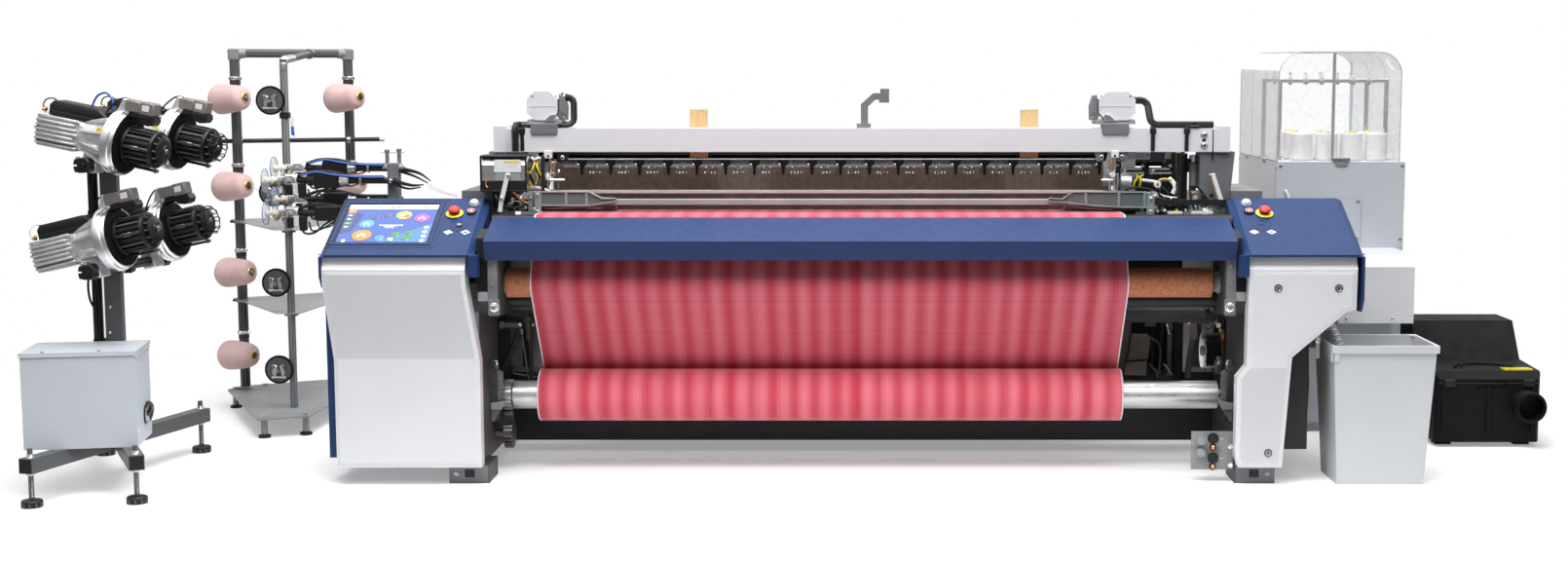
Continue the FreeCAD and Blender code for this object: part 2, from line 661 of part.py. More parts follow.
CONSOLE_SLOPE = math.degrees(math.atan2(CONSOLE_RISE, CONSOLE_DEPTH))
SCREEN = (CONSOLE_LEFT[0] + 16, CONSOLE_LEFT[0] + 364, 60.0, 340.0)   # x0, x1 and place up the slope
SCREEN_T = 14.0
STOP_UP = 258.0
BUTTON_UP = (270.0, 330.0)
STOP_X = {"left": CONSOLE_LEFT[1] - 108, "right": CONSOLE_RIGHT[0] + 113}
BUTTON_X = {"left": CONSOLE_LEFT[1] - 51, "right": CONSOLE_RIGHT[0] + 61}
BORE_DEPTH = 34.0
SHAPE_GAP = 0.4


def on_slope(shape, bottom):
    """Place a shape drawn with Y up the console's slope and Z out of its face."""
    return placed(shape, (0, 0, bottom + CONSOLE_LIP), 0.0, CONSOLE_SLOPE)


def console(name, span, bottom):
    x0, x1 = span
    body = prism_x(console_outline(bottom), x0, x1)
    slope = math.hypot(CONSOLE_DEPTH, CONSOLE_RISE)
    corners = []
    for x, way in ((x0, -1), (x1, 1)):
        wedge = [(x - way * CONSOLE_BEVEL, 1), (x + way, 1), (x + way, -CONSOLE_BEVEL * 0.7)]
        wedge = prism_y(wedge, -60, slope + 60)
        corners.append(on_slope(wedge, bottom))
    body = cut(body, corners)
    inner = x1 if name == "left" else x0
    way = 1 if name == "left" else -1
    sx = sorted((inner - way * 17, inner + way * 16))
    pieces = [body, box(sx[0], sx[1], -14, 30, SKIRT_Z, bottom + 6)]
    outer = x0 if name == "left" else x1
    depth, low = (60, 690) if name == "left" else (120, 607)
    sx = sorted((outer, outer + way * 8))
    skirt = [(-14, bottom + 2), (-14, low + 40), (14, low), (depth, low), (depth, bottom + 2)]
    pieces.append(prism_x(skirt, *sx))
    body = join(pieces)
    tools = []
    if name == "left":
        sx0, sx1, u0, u1 = SCREEN
        tools.append(on_slope(box(sx0, sx1, u0, u1, -SCREEN_T + 2, 60), bottom))
    else:
        tools.append(box(x0 - 17, FRAME_IN + 0.5, 31, CONSOLE_DEPTH + 20, SKIRT_Z - 1, bottom + 4))
        tools.append(box(x0 - 1, FRAME_IN + 0.5, 196, CONSOLE_DEPTH + 20, bottom - 1, bottom + 79))
    x = STOP_X[name]
    tools.append(on_slope(stick((x, STOP_UP, -BORE_DEPTH), (x, STOP_UP, 9), 11 + SHAPE_GAP), bottom))
    for up in BUTTON_UP:
        x = BUTTON_X[name]
        tools.append(on_slope(stick((x, up, -16), (x, up, 9), BUTTON_R + SHAPE_GAP), bottom))
    x = STOP_X[name]
    collar = on_slope(stick((x, STOP_UP, -2), (x, STOP_UP, 4), STOP_R * 1.5, 16), bottom)
    keep("console_" + name, cut(join([body, collar]), tools))
    head = turned([(14, STOP_R), (22, STOP_R), (27, STOP_R * 0.75)], (x, STOP_UP, 0), (0, 0, 1), 16)
    stem = stick((x, STOP_UP, -24), (x, STOP_UP, 14), 11)
    keep("emergency_stop_" + name, on_slope(join([head, stem]), bottom))
    for up, label in zip(BUTTON_UP, ("stop", "start")):
        cap = stick((BUTTON_X[name], up, -11), (BUTTON_X[name], up, 5), BUTTON_R)
        keep(label + "_button_" + name, on_slope(cap, bottom))


def touch_screen():
    sx0, sx1, u0, u1 = SCREEN
    plate = box(sx0, sx1, u0, u1, -SCREEN_T + 2, -3)
    rim = cut(box(sx0, sx1, u0, u1, -3, 2), [box(sx0 + 9, sx1 - 9, u0 + 9, u1 - 9, -4, 3)])
    keep("touch_screen", on_slope(join([plate, rim]), CONSOLE_LEFT_Z))


def front_cover(outline, crease_z, top_z, top_y, name):
    """Folded white cover: seen from the front it has the outline, in side view a crease
    and a stepped upper edge under the console."""
    bottom = 65.0
    low_y = 12.0
    deep = 60.0
    side = [(low_y, bottom), (low_y, crease_z), (top_y, top_z - 42), (top_y + 12, top_z - 24)]
    side += [(top_y + 18, top_z), (deep, top_z), (deep, bottom)]
    body = prism_x(side, -2000, 2000).common(prism_y(outline, -50, deep))
    cx = sum(x for x, z in outline) / len(outline)
    cz = sum(z for x, z in outline) / len(outline)
    shrunk = prism_y(outline, -50, deep + 1)
    wide = max(x for x, z in outline) - min(x for x, z in outline)
    tall = max(z for x, z in outline) - min(z for x, z in outline)
    scale = FreeCAD.Matrix()
    scale.move(V(-cx, 0, -cz))
    scale.scale(1 - 2 * SHEET_T / wide, 1, 1 - 2 * SHEET_T / tall)
    scale.move(V(cx, 0, cz))
    shrunk = shrunk.transformGeometry(scale)
    inner_side = [(y + SHEET_T, z) for y, z in side[:4]] + [(side[4][0] + SHEET_T, top_z - SHEET_T)]
    inner_side += [(deep + 1, top_z - SHEET_T), (deep + 1, bottom)]
    hollow = prism_x(inner_side, -2001, 2001).common(shrunk)
    body = cut(body, [hollow])
    keep(name, body)


def covers():
    top = CONSOLE_LEFT_Z - 1
    left = [(-520, top), (-520, 700), (-492, 440), (-492, 65), (8, 65), (8, 440), (-32, 700), (-32, top)]
    front_cover([(x - FRAME_IN, z) for x, z in left], 445, top, -12, "cover_left")
    top = CONSOLE_RIGHT_Z - 1
    right = [(0, top), (0, 420), (-32, 380), (-32, 100), (-20, 65), (130, 65), (156, 450)]
    right += [(336, 606), (370, 616), (370, top)]
    front_cover([(FRAME_IN + x, z) for x, z in right], 412, top, -4, "cover_right")


def end_housings():
    edge = FRAME_IN + FRAME_T + 4
    high = CONSOLE_LEFT_Z
    left = prism_y([(CONSOLE_LEFT[0], 90), (-edge, 90), (-edge, high), (CONSOLE_LEFT[0], high)], 60, 900)
    step = edge + 111
    out = FRAME_IN + 380
    high = CONSOLE_RIGHT_Z
    right = prism_y([(edge, 120), (step, 120), (step, 560), (out, 640), (out, high), (edge, high)], 60, 900)
    keep("end_housings", group([left, right]))


# ---------------------------------------------------------------- on the beam

def octagon(x0, x1, z0, z1, c):
    low = [(x0 + c, z0), (x1 - c, z0), (x1, z0 + c), (x1, z1 - c)]
    return low + [(x1 - c, z1), (x0 + c, z1), (x0, z1 - c), (x0, z0 + c)]


def selvedge_motors():
    boxes = []
    for x0, x1 in ((CLOTH_X0 - 50, CLOTH_X0 + 58), (CLOTH_X1 - 75, CLOTH_X1 + 55)):
        body = prism_y(octagon(x0, x1, 1250, 1352, 26), 400, 505)
        pad = box(x0 + 22, x1 - 22, 436, 500, TOP_Z1, 1250)
        boxes.append(join([body, pad]))
    keep("selvedge_motors", group(boxes))


def selvedge_devices():
    pieces = []
    for x in (CLOTH_X0, CLOTH_X1 - 35):
        body = [(398, 1137), (398, 1030), (412, 1014), (440, 1014), (452, 1030), (452, 1137)]
        body = prism_x(body, x - 22, x + 22)
        knob = stick((x, 384, 1060), (x, 398, 1060), 11)
        pieces.append(join([body, knob]))
    box_x = (-TOP_X - 76, -TOP_X + 89)
    smoked = prism_x([(290, 1000), (TOP_Y0 + 10, 1000), (TOP_Y0 + 10, 1127), (310, 1127), (290, 1096)], *box_x)
    pieces.append(smoked)
    keep("selvedge_devices", group(pieces))


def temples():
    left = [(-10, 930), (0, 992), (140, 974), (260, 958), (266, 930)]
    left = [(CLOTH_X0 + x, z) for x, z in left]
    right = [(135, 930), (127, 992), (-25, 974), (-189, 958), (-197, 930)]
    right = [(CLOTH_X1 + x, z) for x, z in right]
    pieces = []
    for outline in (left, right):
        body = prism_y(outline, 382, 440)
        ribs = []
        x_mid = (outline[0][0] + outline[-1][0]) / 2
        for k in range(3):
            x = x_mid + (k - 1) * 62
            ribs.append(box(x - 18, x + 18, 420, 441, 940, 1000))
        pieces.append(cut(body, ribs))
    keep("temples", group(pieces))


def cables():
    """Hoses of the two selvedge motors, laid on the top beam, and the cable along the girder."""
    r = 11.0
    on_top = TOP_Z1 + r / math.cos(math.pi / 6) + 0.2
    x = CLOTH_X0 + 58
    left = [(x, 452, 1330), (x + 52, 452, 1330), (x + 57, 420, on_top), (37 - TOP_X, 412, on_top)]
    left += [(37 - TOP_X, 366, on_top), (37 - TOP_X, 366, 1140)]
    x = CLOTH_X1 + 55
    right = [(x, 452, 1320), (x + 48, 452, 1320), (x + 60, 420, on_top), (TOP_X - 13, 412, on_top)]
    r_low = 8.0
    y = 640 - r_low
    end = FRAME_IN - 8
    girder = [(-end, y, 290), (-900, y, 226), (0, y, 206), (800, y, 222), (end, y, 250)]
    keep("machine_cables", group([hose(left, r, 22), hose(right, r, 26), hose(girder, r_low, 300)]))


def terminal_plate():
    y = 92.0
    pieces = [box(FRAME_IN - 170, FRAME_IN - 24, y, y + 8, 42, 176)]
    for z in (148, 104):
        x = FRAME_IN - 140
        pieces.append(stick((x, y - 22, z), (x, y, z), 15))
        pieces.append(stick((x + 60, y - 14, z - 20), (x + 60, y, z - 20), 8, 6))
    keep("terminal_plate", join(pieces))


# ---------------------------------------------------------------- weft feeders on the left

FEEDER_BAR_Z = (753.0, 1113.0)
FEEDER_TILT = (-13.0, 10.5)           # nose down is positive
FEEDER_ROWS = (-175.0, 175.0)
FEEDER_TURN = -20.0                   # on the stand, towards the weaver
FEEDER_BAR_X = 44.0
BAR_R = 16.0
CLAMP_AT = (-35.0, 0.0, -92.0)        # bar's place on the feeder
SHAFT_FEED_R = 12.0
DISC_AT = (68.5, 82.0)
POST_W = 56.0
POST_TOP = 1300.0
HUB_Z = (115.0, 165.0)


def at_stand(shape):
    return placed(shape, (STAND_X, STAND_Y, 0), STAND_YAW)


def at_feeder(shape, row, bar_z, tilt):
    """Clamp a feeder, drawn along X, on its cross bar and place it with the stand."""
    turn = FreeCAD.Rotation(V(0, 0, 1), FEEDER_TURN).multiply(FreeCAD.Rotation(V(0, 1, 0), tilt))
    along = FreeCAD.Rotation(V(0, 0, 1), FEEDER_TURN).multVec(V(0, row, 0))
    seat = FreeCAD.Placement(V(FEEDER_BAR_X, 0, bar_z) + along, turn)
    seat = seat.multiply(FreeCAD.Placement(V(*CLAMP_AT) * -1, FreeCAD.Rotation()))
    moved = shape.copy()
    moved.Placement = seat.multiply(moved.Placement)
    return at_stand(moved)


def feeder_stand():
    """Post on an X of square tubes with threaded feet, and the feeders' power box."""
    half = POST_W / 2
    feet = [(-200, -430), (130, -430), (205, 430), (-140, 440)]
    pieces = [box(-half, half, -half, half, HUB_Z[1], POST_TOP)]
    pieces.append(box(-62, 62, -80, 80, HUB_Z[0], HUB_Z[1]))
    for x, y in feet:
        reach = math.hypot(x, y)
        arm = box(0, reach + 25, -25, 25, HUB_Z[0], HUB_Z[1])
        arm.rotate(V(0, 0, 0), V(0, 0, 1), math.degrees(math.atan2(y, x)))
        pieces.append(arm)
        pieces.append(stick((x, y, 10), (x, y, 195), 8, 6))
        pieces.append(stick((x, y, 0), (x, y, 16), 33, 10))
    for z in FEEDER_BAR_Z:
        pieces.append(box(-half - 8, FEEDER_BAR_X + BAR_R + 8, -half - 8, half + 8, z - 24, z + 24))
        bar = stick((0, -250, 0), (0, 250, 0), BAR_R)
        pieces.append(placed(bar, (FEEDER_BAR_X, 0, z), FEEDER_TURN))
    pieces.append(box(-half - 42, -half - 14, -12, 14, 300, 1180))
    for z in (480, 930, 1160):
        pieces.append(box(-half - 44, -half, -16, 18, z, z + 16))
    keep("feeder_stand", at_stand(join(pieces)))
    body = box(-250, 115, -300, -half - 12, HUB_Z[1], 480)
    lid = box(-254, 119, -304, -half - 10, 480, 492)
    grommet = stick((115, -150, 250), (121, -150, 250), 24)
    keep("feeder_box", at_stand(join([body, lid, grommet])))


def feeder_body():
    """Motor, electronics hood, ring on its arm, and the storage drum on the shaft."""
    clamp = box(-60, -10, -34, 34, CLAMP_AT[2] - BAR_R - 10, -50)
    bore_r = BAR_R / math.cos(math.pi / 8) + 0.1
    clamp = cut(clamp, [stick((CLAMP_AT[0], -40, CLAMP_AT[2]), (CLAMP_AT[0], 40, CLAMP_AT[2]), bore_r)])
    motor = prism_x(octagon(-62, 62, -58, 58, 22), -230, 30)
    hood = box(-200, 16, -38, 38, 50, 100)
    shaft = stick((30, 0, 0), (90, 0, 0), SHAFT_FEED_R * math.cos(math.pi / 8))
    drum = turned([(88, FEEDER_DRUM_R), (190, FEEDER_DRUM_R), (196, 66), (232, 62)], (0, 0, 0), (1, 0, 0), 12)
    ring = stick((42, 0, 0), (64, 0, 0), FEEDER_R, 14)
    ring = cut(ring, [stick((41, 0, 0), (65, 0, 0), FEEDER_R - 14, 14)])
    arm = box(-20, 62, -20, 20, FEEDER_R - 12, FEEDER_R + 5)
    sensor = box(20, 176, -24, 24, FEEDER_R - 1, FEEDER_R + 40)
    return join([clamp, motor, hood, shaft, drum, ring, arm, sensor])


def feeders():
    body = feeder_body()
    disc = stick((DISC_AT[0], 0, 0), (DISC_AT[1], 0, 0), FEEDER_R - 16, 16)
    disc = cut(disc, [stick((DISC_AT[0] - 1, 0, 0), (DISC_AT[1] + 1, 0, 0), SHAFT_FEED_R + FIT, 12)])
    bodies = []
    for level, (bar_z, tilt) in zip(("lower", "upper"), zip(FEEDER_BAR_Z, FEEDER_TILT)):
        for place, row in zip(("front", "rear"), FEEDER_ROWS):
            bodies.append(at_feeder(body, row, bar_z, tilt))
            keep("winding_disc_" + level + "_" + place, at_feeder(disc, row, bar_z, tilt))
    keep("weft_feeders", group(bodies))


# ---------------------------------------------------------------- creel behind the feeders

POLES = {"left": (CREEL_X, 1580.0), "right": (CREEL_X + 410, 1820.0), "front": (CREEL_X + 340, 1120.0)}
CONE_Z = (239.0, 588.0, 947.0, 1309.0)
BASE_Z = (72.0, 80.0)
SHELF_Z = (461.0, 795.0)
CONE_R = (62.0, 46.0)


def creel():
    lx, ly = POLES["left"]
    rx, ry = POLES["right"]
    fx, fy = POLES["front"]
    top = CREEL_TOP - POLE_R
    pieces = [stick((lx, ly, BASE_Z[1]), (lx, ly, CREEL_TOP), POLE_R)]
    pieces.append(stick((rx, ry, BASE_Z[1]), (rx, ry, CREEL_TOP), POLE_R))
    pieces.append(stick((lx, ly, top), (rx, ry, top), POLE_R - 1))
    pieces.append(stick((fx, fy, BASE_Z[1]), (fx, fy, 1470), POLE_R - 5))
    mx = (lx + 2 * rx) / 3
    my = (ly + 2 * ry) / 3
    pieces.append(stick((fx, fy, 1464), (mx, my, top), POLE_R - 6))
    pieces.append(stick((lx - 130, ly - 26, 1130), (rx + 150, ry - 26, 1130), 8, 6))
    base = [(-70, 1560), (270, 860), (450, 930), (510, 1780), (430, 1900), (-20, 1660)]
    pieces.append(prism_z([(CREEL_X + x, y) for x, y in base], *BASE_Z))
    for x, y in ((-40, 1570), (285, 900), (430, 960), (470, 1800), (60, 1660)):
        pieces.append(stick((CREEL_X + x, y, 0), (CREEL_X + x, y, BASE_Z[0] + 1), 11, 6))
    for z in CONE_Z:
        pieces.append(stick((fx - 46, fy - 30, z), (fx, fy, z), 7, 4))
        pieces.append(stick((fx - 46, fy - 38, z), (fx - 46, fy - 28, z), 55, 12))
    cones = []
    spots = [(lx, ly, z) for z in CONE_Z] + [(rx, ry, z) for z in CONE_Z[2:]]
    aim = V(0.88, -0.47, 0.06).normalize()
    for x, y, z in spots:
        middle = V(x + 14, y - 104, z)
        base_at = middle - aim * (CONE_L / 2)
        cone = turned([(0, CONE_R[0] - 8), (10, CONE_R[0]), (CONE_L, CONE_R[1])], tuple(base_at), tuple(aim), 12)
        cones.append(cone)
        back = aim * 30
        elbow = V(x, y, z) - aim * 52
        pieces.append(stick(tuple(base_at - back), tuple(base_at), 9, 6))
        pieces.append(stick((x, y, z), tuple(elbow), 8, 4))
        pieces.append(stick(tuple(elbow), tuple(base_at - back * 0.8), 8, 4))
    keep("creel_frame", join(pieces))
    keep("yarn_packages", group(cones))
    holes = [stick((x, y, 0), (x, y, CREEL_TOP), r) for (x, y), r in
             zip(POLES.values(), (POLE_R, POLE_R, POLE_R - 5))]
    plate = [(-45, 1600), (290, 1090), (380, 1090), (450, 1850), (390, 1862)]
    plate = [(CREEL_X + x, y) for x, y in plate]
    keep("creel_shelves", group([cut(prism_z(plate, z, z + 5), holes) for z in SHELF_Z]))


# ---------------------------------------------------------------- weft guide arms

def weft_arms():
    foot = (-FRAME_IN - 470, 850.0)
    pieces = [box(foot[0] - 22, foot[0] + 22, foot[1] - 22, foot[1] + 22, CONSOLE_LEFT_Z, 1075)]
    for z, y in ((1050, 925), (1010, 805), (930, 925), (885, 805)):
        y0, y1 = sorted((foot[1], y))
        pieces.append(box(foot[0] - 14, foot[0] + 14, y0, y1, z - 12, z + 12))
        x = foot[0]
        pieces.append(box(x - 480, x + 14, y - 13, y + 13, z - 11, z + 11))
        pieces.append(box(x - 290, x - 200, y - 26, y + 26, z - 28, z + 30))
        pieces.append(stick((x - 486, y, z), (x - 478, y, z), 46, 10))
    keep("weft_arms", join(pieces))


# ---------------------------------------------------------------- right-hand cabinet and waste

def cabinet():
    x0, x1, y0, y1 = CABINET
    body = box(x0, x1, y0, y1, 40, CABINET_H)
    plinth = box(x0 + 20, x1 - 20, y0 + 30, y1 - 20, 0, 41)
    panel = box(x0 + 190, x0 + 330, y0 - 4, y0, 760, 930)
    low, high = CABINET_H, COVER_TOP
    c = 90.0
    t = 4.0

    def arch(inset):
        a0 = x0 + inset
        a1 = x1 - 20 - inset
        h = high - inset
        r = c - inset
        s = r * (1 - math.sqrt(0.5))
        edges = [Part.LineSegment(V(a0, 0, low), V(a0, 0, h - r)).toShape()]
        edges.append(Part.Arc(V(a0, 0, h - r), V(a0 + s, 0, h - s), V(a0 + r, 0, h)).toShape())
        edges.append(Part.LineSegment(V(a0 + r, 0, h), V(a1 - r, 0, h)).toShape())
        edges.append(Part.Arc(V(a1 - r, 0, h), V(a1 - s, 0, h - s), V(a1, 0, h - r)).toShape())
        edges.append(Part.LineSegment(V(a1, 0, h - r), V(a1, 0, low)).toShape())
        edges.append(Part.LineSegment(V(a1, 0, low), V(a0, 0, low)).toShape())
        return Part.Face(Part.Wire(edges))

    outer = arch(0)
    depth = y1 - y0 - 6
    outer.translate(V(0, y0 + 6, 0))
    outer = outer.extrude(V(0, depth, 0))
    inner = arch(t)
    inner.translate(V(0, y0 + 6 + t, 0))
    inner = inner.extrude(V(0, depth - 2 * t, 0))
    keep("spool_cover", cut(outer, [inner]))
    rails = []
    for y in (y0 + 120, y0 + 420):
        rails.append(box(x0 + 24, x0 + 36, y - 6, y + 6, low, 1385))
        rails.append(box(x1 - 56, x1 - 44, y - 6, y + 6, low, 1385))
        rails.append(box(x0 + 24, x1 - 44, y - 7, y + 7, 1378, 1392))
        for k in range(6):
            x = x0 + 70 + k * 62
            rails.append(box(x - 3, x + 3, y - 30, y - 7, 1381, 1389))
    keep("control_cabinet", join([body, plinth, panel] + rails))
    spools = []
    for row, count in ((y0 + 75, 4), (y0 + 215, 4), (y0 + 340, 2)):
        for k in range(count):
            x = x0 + 66 + SPOOL_R + k * 98
            spools.append(stick((x, row, low), (x, row, low + SPOOL_H), SPOOL_R, 10))
    keep("thread_spools", group(spools))
    hood = [(y0 - 300, 476), (y0, 440), (y0, 735), (y0 - 262, 735), (y0 - 300, 690)]
    keep("motor_hood", prism_x(hood, x0 + 180, x0 + 465))


def waste_bin():
    x0, x1 = BIN_X
    t = 3.0

    def tier(inset, z):
        pts = [(x0 + inset, inset), (x1 - inset, inset), (x1 - inset, BIN_D - inset), (x0 + inset, BIN_D - inset)]
        return [(x, y, z) for x, y in pts]

    outer = skin([tier(34, 0), tier(8, BIN_H - 26)])
    rim = skin([tier(0, BIN_H - 26), tier(0, BIN_H)])
    inner = skin([tier(34 + t, t), tier(8 + t, BIN_H - 26), tier(8 + t, BIN_H + 1)])
    keep("waste_bin", cut(join([outer, rim]), [inner]))


def dust_box():
    """Black moulded box with a sloping lid, a raised rear and a round duct."""
    side = [(700, 20), (1300, 20), (1300, 400), (1260, 440), (1060, 440), (960, 300), (730, 290), (700, 262)]
    x0, x1 = DUST_X
    body = prism_x(side, x0, x1)
    plan = [(x0 + 20, 690), (x1 - 20, 690), (x1 + 5, 730), (x1 + 5, 1310), (x0 - 5, 1310), (x0 - 5, 730)]
    body = body.common(prism_z(plan, 0, 500))
    feet = [box(x, x + 60, y, y + 60, 0, 21) for x in (x0 + 20, x1 - 80) for y in (760, 1220)]
    pocket = box(x0 + 150, x0 + 270, 692, 706, 226, 254)
    x = x1 - 62
    duct = stick((x, 620, 165), (x, 710, 165), 56, 16)
    bore = stick((x, 615, 165), (x, 685, 165), 48, 16)
    keep("dust_box", cut(join([body, duct] + feet), [pocket, bore]))


# ---------------------------------------------------------------- build and write

take_up_roller()
cloth_roll()
warp_beam()
back_roller()
cloth_web()
warp_sheet()
keep("side_frame_left", side_frame(-1))
keep("side_frame_right", side_frame(1))
keep("roll_brackets", group([roller_bracket(-1), roller_bracket(1), roll_bracket(-1), roll_bracket(1)]))
cross_beams()
top_beam()
beam_blocks()
sley()
for number in range(4):
    keep("heald_frame_%d" % (number + 1), heald_frame(number))
rail_cover()
console("left", CONSOLE_LEFT, CONSOLE_LEFT_Z)
console("right", CONSOLE_RIGHT, CONSOLE_RIGHT_Z)
touch_screen()
covers()
end_housings()
selvedge_motors()
selvedge_devices()
temples()
cables()
terminal_plate()
feeder_stand()
feeders()
creel()
weft_arms()
cabinet()
waste_bin()
dust_box()

os.makedirs("parts", exist_ok=True)
for name, shape in nodes.items():
    solid = shape.copy()
    solid.translate(V(0, FRONT_Y, 0))
    if not solid.isValid() or not solid.Solids:
        print("check", name, "valid", solid.isValid(), "solids", len(solid.Solids))
    solid.exportStep("parts/" + name + ".step")
print(len(nodes), "nodes")
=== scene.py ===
"""Air-jet power loom: finishes, cloth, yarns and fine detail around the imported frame.

Shapes are written in millimetres, with y counted from the loom's front plane. Kit.done turns them
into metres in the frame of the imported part.
"""
import math
import random

import bmesh
import bpy
from mathutils import Matrix, Vector


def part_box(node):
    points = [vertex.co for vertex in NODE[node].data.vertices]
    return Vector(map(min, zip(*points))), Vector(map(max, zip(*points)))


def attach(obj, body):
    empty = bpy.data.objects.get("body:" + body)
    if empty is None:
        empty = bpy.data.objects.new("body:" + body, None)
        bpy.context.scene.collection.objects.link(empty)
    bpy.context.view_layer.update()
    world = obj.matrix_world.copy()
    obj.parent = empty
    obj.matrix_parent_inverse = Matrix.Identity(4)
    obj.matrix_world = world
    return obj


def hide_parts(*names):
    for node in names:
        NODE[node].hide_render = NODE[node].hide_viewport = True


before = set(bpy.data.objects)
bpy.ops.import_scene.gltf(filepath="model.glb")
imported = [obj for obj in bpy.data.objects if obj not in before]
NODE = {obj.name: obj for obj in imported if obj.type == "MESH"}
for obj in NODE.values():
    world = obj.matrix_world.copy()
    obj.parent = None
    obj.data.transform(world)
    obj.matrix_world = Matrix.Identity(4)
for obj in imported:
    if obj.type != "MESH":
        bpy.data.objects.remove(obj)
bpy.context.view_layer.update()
FRONT = -0.850          # y of the loom's front plane, in metres
TURN = 2 * math.pi


def add_object(name, data):
    """New object in the scene."""
    ob = bpy.data.objects.new(name, data)
    bpy.context.scene.collection.objects.link(ob)
    return ob


# ---------------------------------------------------------------- materials
def tree(name):
    """New material with its nodes and its shader."""
    m = bpy.data.materials.new(name)
    m.use_nodes = True
    return m, m.node_tree, m.node_tree.nodes["Principled BSDF"]


def put(node, **values):
    """Set inputs of a node by name, with _ for a space."""
    for key, value in values.items():
        node.inputs[key.replace("_", " ")].default_value = value


def new(nt, kind, **values):
    """New shader node with its values."""
    n = nt.nodes.new("ShaderNode" + kind)
    put(n, **values)
    return n


def link(nt, a, b):
    """Join an output to an input."""
    nt.links.new(a, b)


def coords(nt, scale=(1, 1, 1)):
    """Object coordinates, scaled."""
    place = new(nt, "TexCoord").outputs["Object"]
    n = new(nt, "Mapping", Scale=scale)
    link(nt, place, n.inputs["Vector"])
    return n.outputs["Vector"]


def parts_of(nt, vector):
    """X, Y and Z outputs of a vector."""
    n = new(nt, "SeparateXYZ")
    link(nt, vector, n.inputs[0])
    return n.outputs


def noise(nt, vector, scale, detail=4.0, rough=0.55):
    """Noise from 0 to 1, with scale in waves a metre."""
    n = new(nt, "TexNoise", Scale=scale, Detail=detail, Roughness=rough)
    link(nt, vector, n.inputs["Vector"])
    return n.outputs["Fac"]


def ramp(nt, fac, *stops):
    """Colours at two places of a value."""
    n = new(nt, "ValToRGB")
    for stop, (place, color) in zip(n.color_ramp.elements, stops):
        stop.position = place
        stop.color = (*color, 1)
    link(nt, fac, n.inputs["Fac"])
    return n.outputs["Color"]


def spread(nt, fac, low, high, a=0.0, b=1.0):
    """Value from low to high as fac goes from a to b."""
    n = new(nt, "MapRange", From_Min=a, From_Max=b, To_Min=low, To_Max=high)
    link(nt, fac, n.inputs["Value"])
    return n.outputs["Result"]


def calc(nt, op, *terms):
    """Arithmetic on numbers and sockets."""
    n = new(nt, "Math")
    n.operation = op
    for socket, v in zip(n.inputs, terms):
        if isinstance(v, (int, float)):
            socket.default_value = v
        else:
            link(nt, v, socket)
    return n.outputs[0]


def mix(nt, fac, a, b):
    """Blend of two colours."""
    n = new(nt, "Mix")
    n.data_type = "RGBA"
    for i, v in ((0, fac), (6, a), (7, b)):
        if isinstance(v, (int, float)):
            n.inputs[i].default_value = v
        elif isinstance(v, tuple):
            n.inputs[i].default_value = (*v, 1)
        else:
            link(nt, v, n.inputs[i])
    return n.outputs[2]


def bump(nt, bsdf, height, distance, strength=0.6, normal=None):
    """Relief of a depth in metres, laid over another normal if one is given."""
    n = new(nt, "Bump", Strength=strength, Distance=distance)
    link(nt, height, n.inputs["Height"])
    if normal:
        link(nt, normal, n.inputs["Normal"])
    if bsdf:
        link(nt, n.outputs["Normal"], bsdf.inputs["Normal"])
    return n.outputs["Normal"]


def shade(c, f):
    """Colour made lighter or darker."""
    return tuple(min(1, max(0, v * f)) for v in c)


def surface(name, color, rough=0.45, metal=0.0, vary=0.08, scale=6.0, grain=500.0, depth=0.00008,
            coat=0.0, spec=0.5, stretch=(1, 1, 1), wear=0.10, **sockets):
    """A finish with slow changes of tone, a fine grain and uneven gloss."""
    m, nt, b = tree(name)
    v = coords(nt, stretch)
    slow = noise(nt, v, scale, 5)
    tone = ramp(nt, slow, (0.3, shade(color, 1 - vary)), (0.7, shade(color, 1 + vary)))
    link(nt, tone, b.inputs["Base Color"])
    gloss = noise(nt, v, scale * 4.7, 6)
    link(nt, spread(nt, gloss, rough - wear, rough + wear, 0.3, 0.7), b.inputs["Roughness"])
    bump(nt, b, noise(nt, v, grain, 3), depth)
    put(b, Metallic=metal, Coat_Weight=coat, Specular_IOR_Level=spec, **sockets)
    m.diffuse_color = (*color, 1)
    return m


def paint(name, color, vary=0.03, depth=0.00008, rough=0.42, **more):
    """Paint, smooth with a fine grain."""
    return surface(name, color, rough, vary=vary, grain=1400, depth=depth, **more)


def casting(name, color, vary=0.16, rough=0.5, **more):
    """Painted cast metal, with a coarse grain."""
    return surface(name, color, rough, vary=vary, scale=9, grain=420, depth=0.0003, **more)


def gloss_plastic(name, color, rough, vary, coat):
    """Moulded plastic under a thin gloss."""
    return surface(name, color, rough, vary=vary, coat=coat, grain=900, depth=0.00002)


WHITE = paint("white_powder_coat", (0.71, 0.72, 0.745), 0.02, 0.00005, 0.38, coat=0.1)
# White powder coat with painted shade: the darker field on one side of a cover's crease.
WHITE_SHADE = paint("white_powder_coat_painted_shade", (0.595, 0.61, 0.64), 0.02, 0.00005, 0.38, coat=0.1)
LIGHT_GREY = paint("light_grey_paint", (0.62, 0.63, 0.65))
BOX_PAINT = paint("pale_blue_grey_paint", (0.60, 0.64, 0.70), 0.02, 0.00005)
CABINET_GREY = paint("cabinet_grey_paint", (0.46, 0.485, 0.53))
BLUE = surface("navy_powder_coat", (0.017, 0.042, 0.134), 0.40, vary=0.05, grain=1600, depth=0.00006, spec=0.22)
CAST = casting("painted_casting", (0.165, 0.17, 0.18))
CAST_LIGHT = casting("painted_casting_light", (0.30, 0.31, 0.32), 0.12, 0.48)
POST = surface("grey_stand_paint", (0.085, 0.088, 0.092), 0.42, grain=1300)
DARK = surface("dark_paint", (0.014, 0.014, 0.015), vary=0.15, grain=700, spec=0.3)
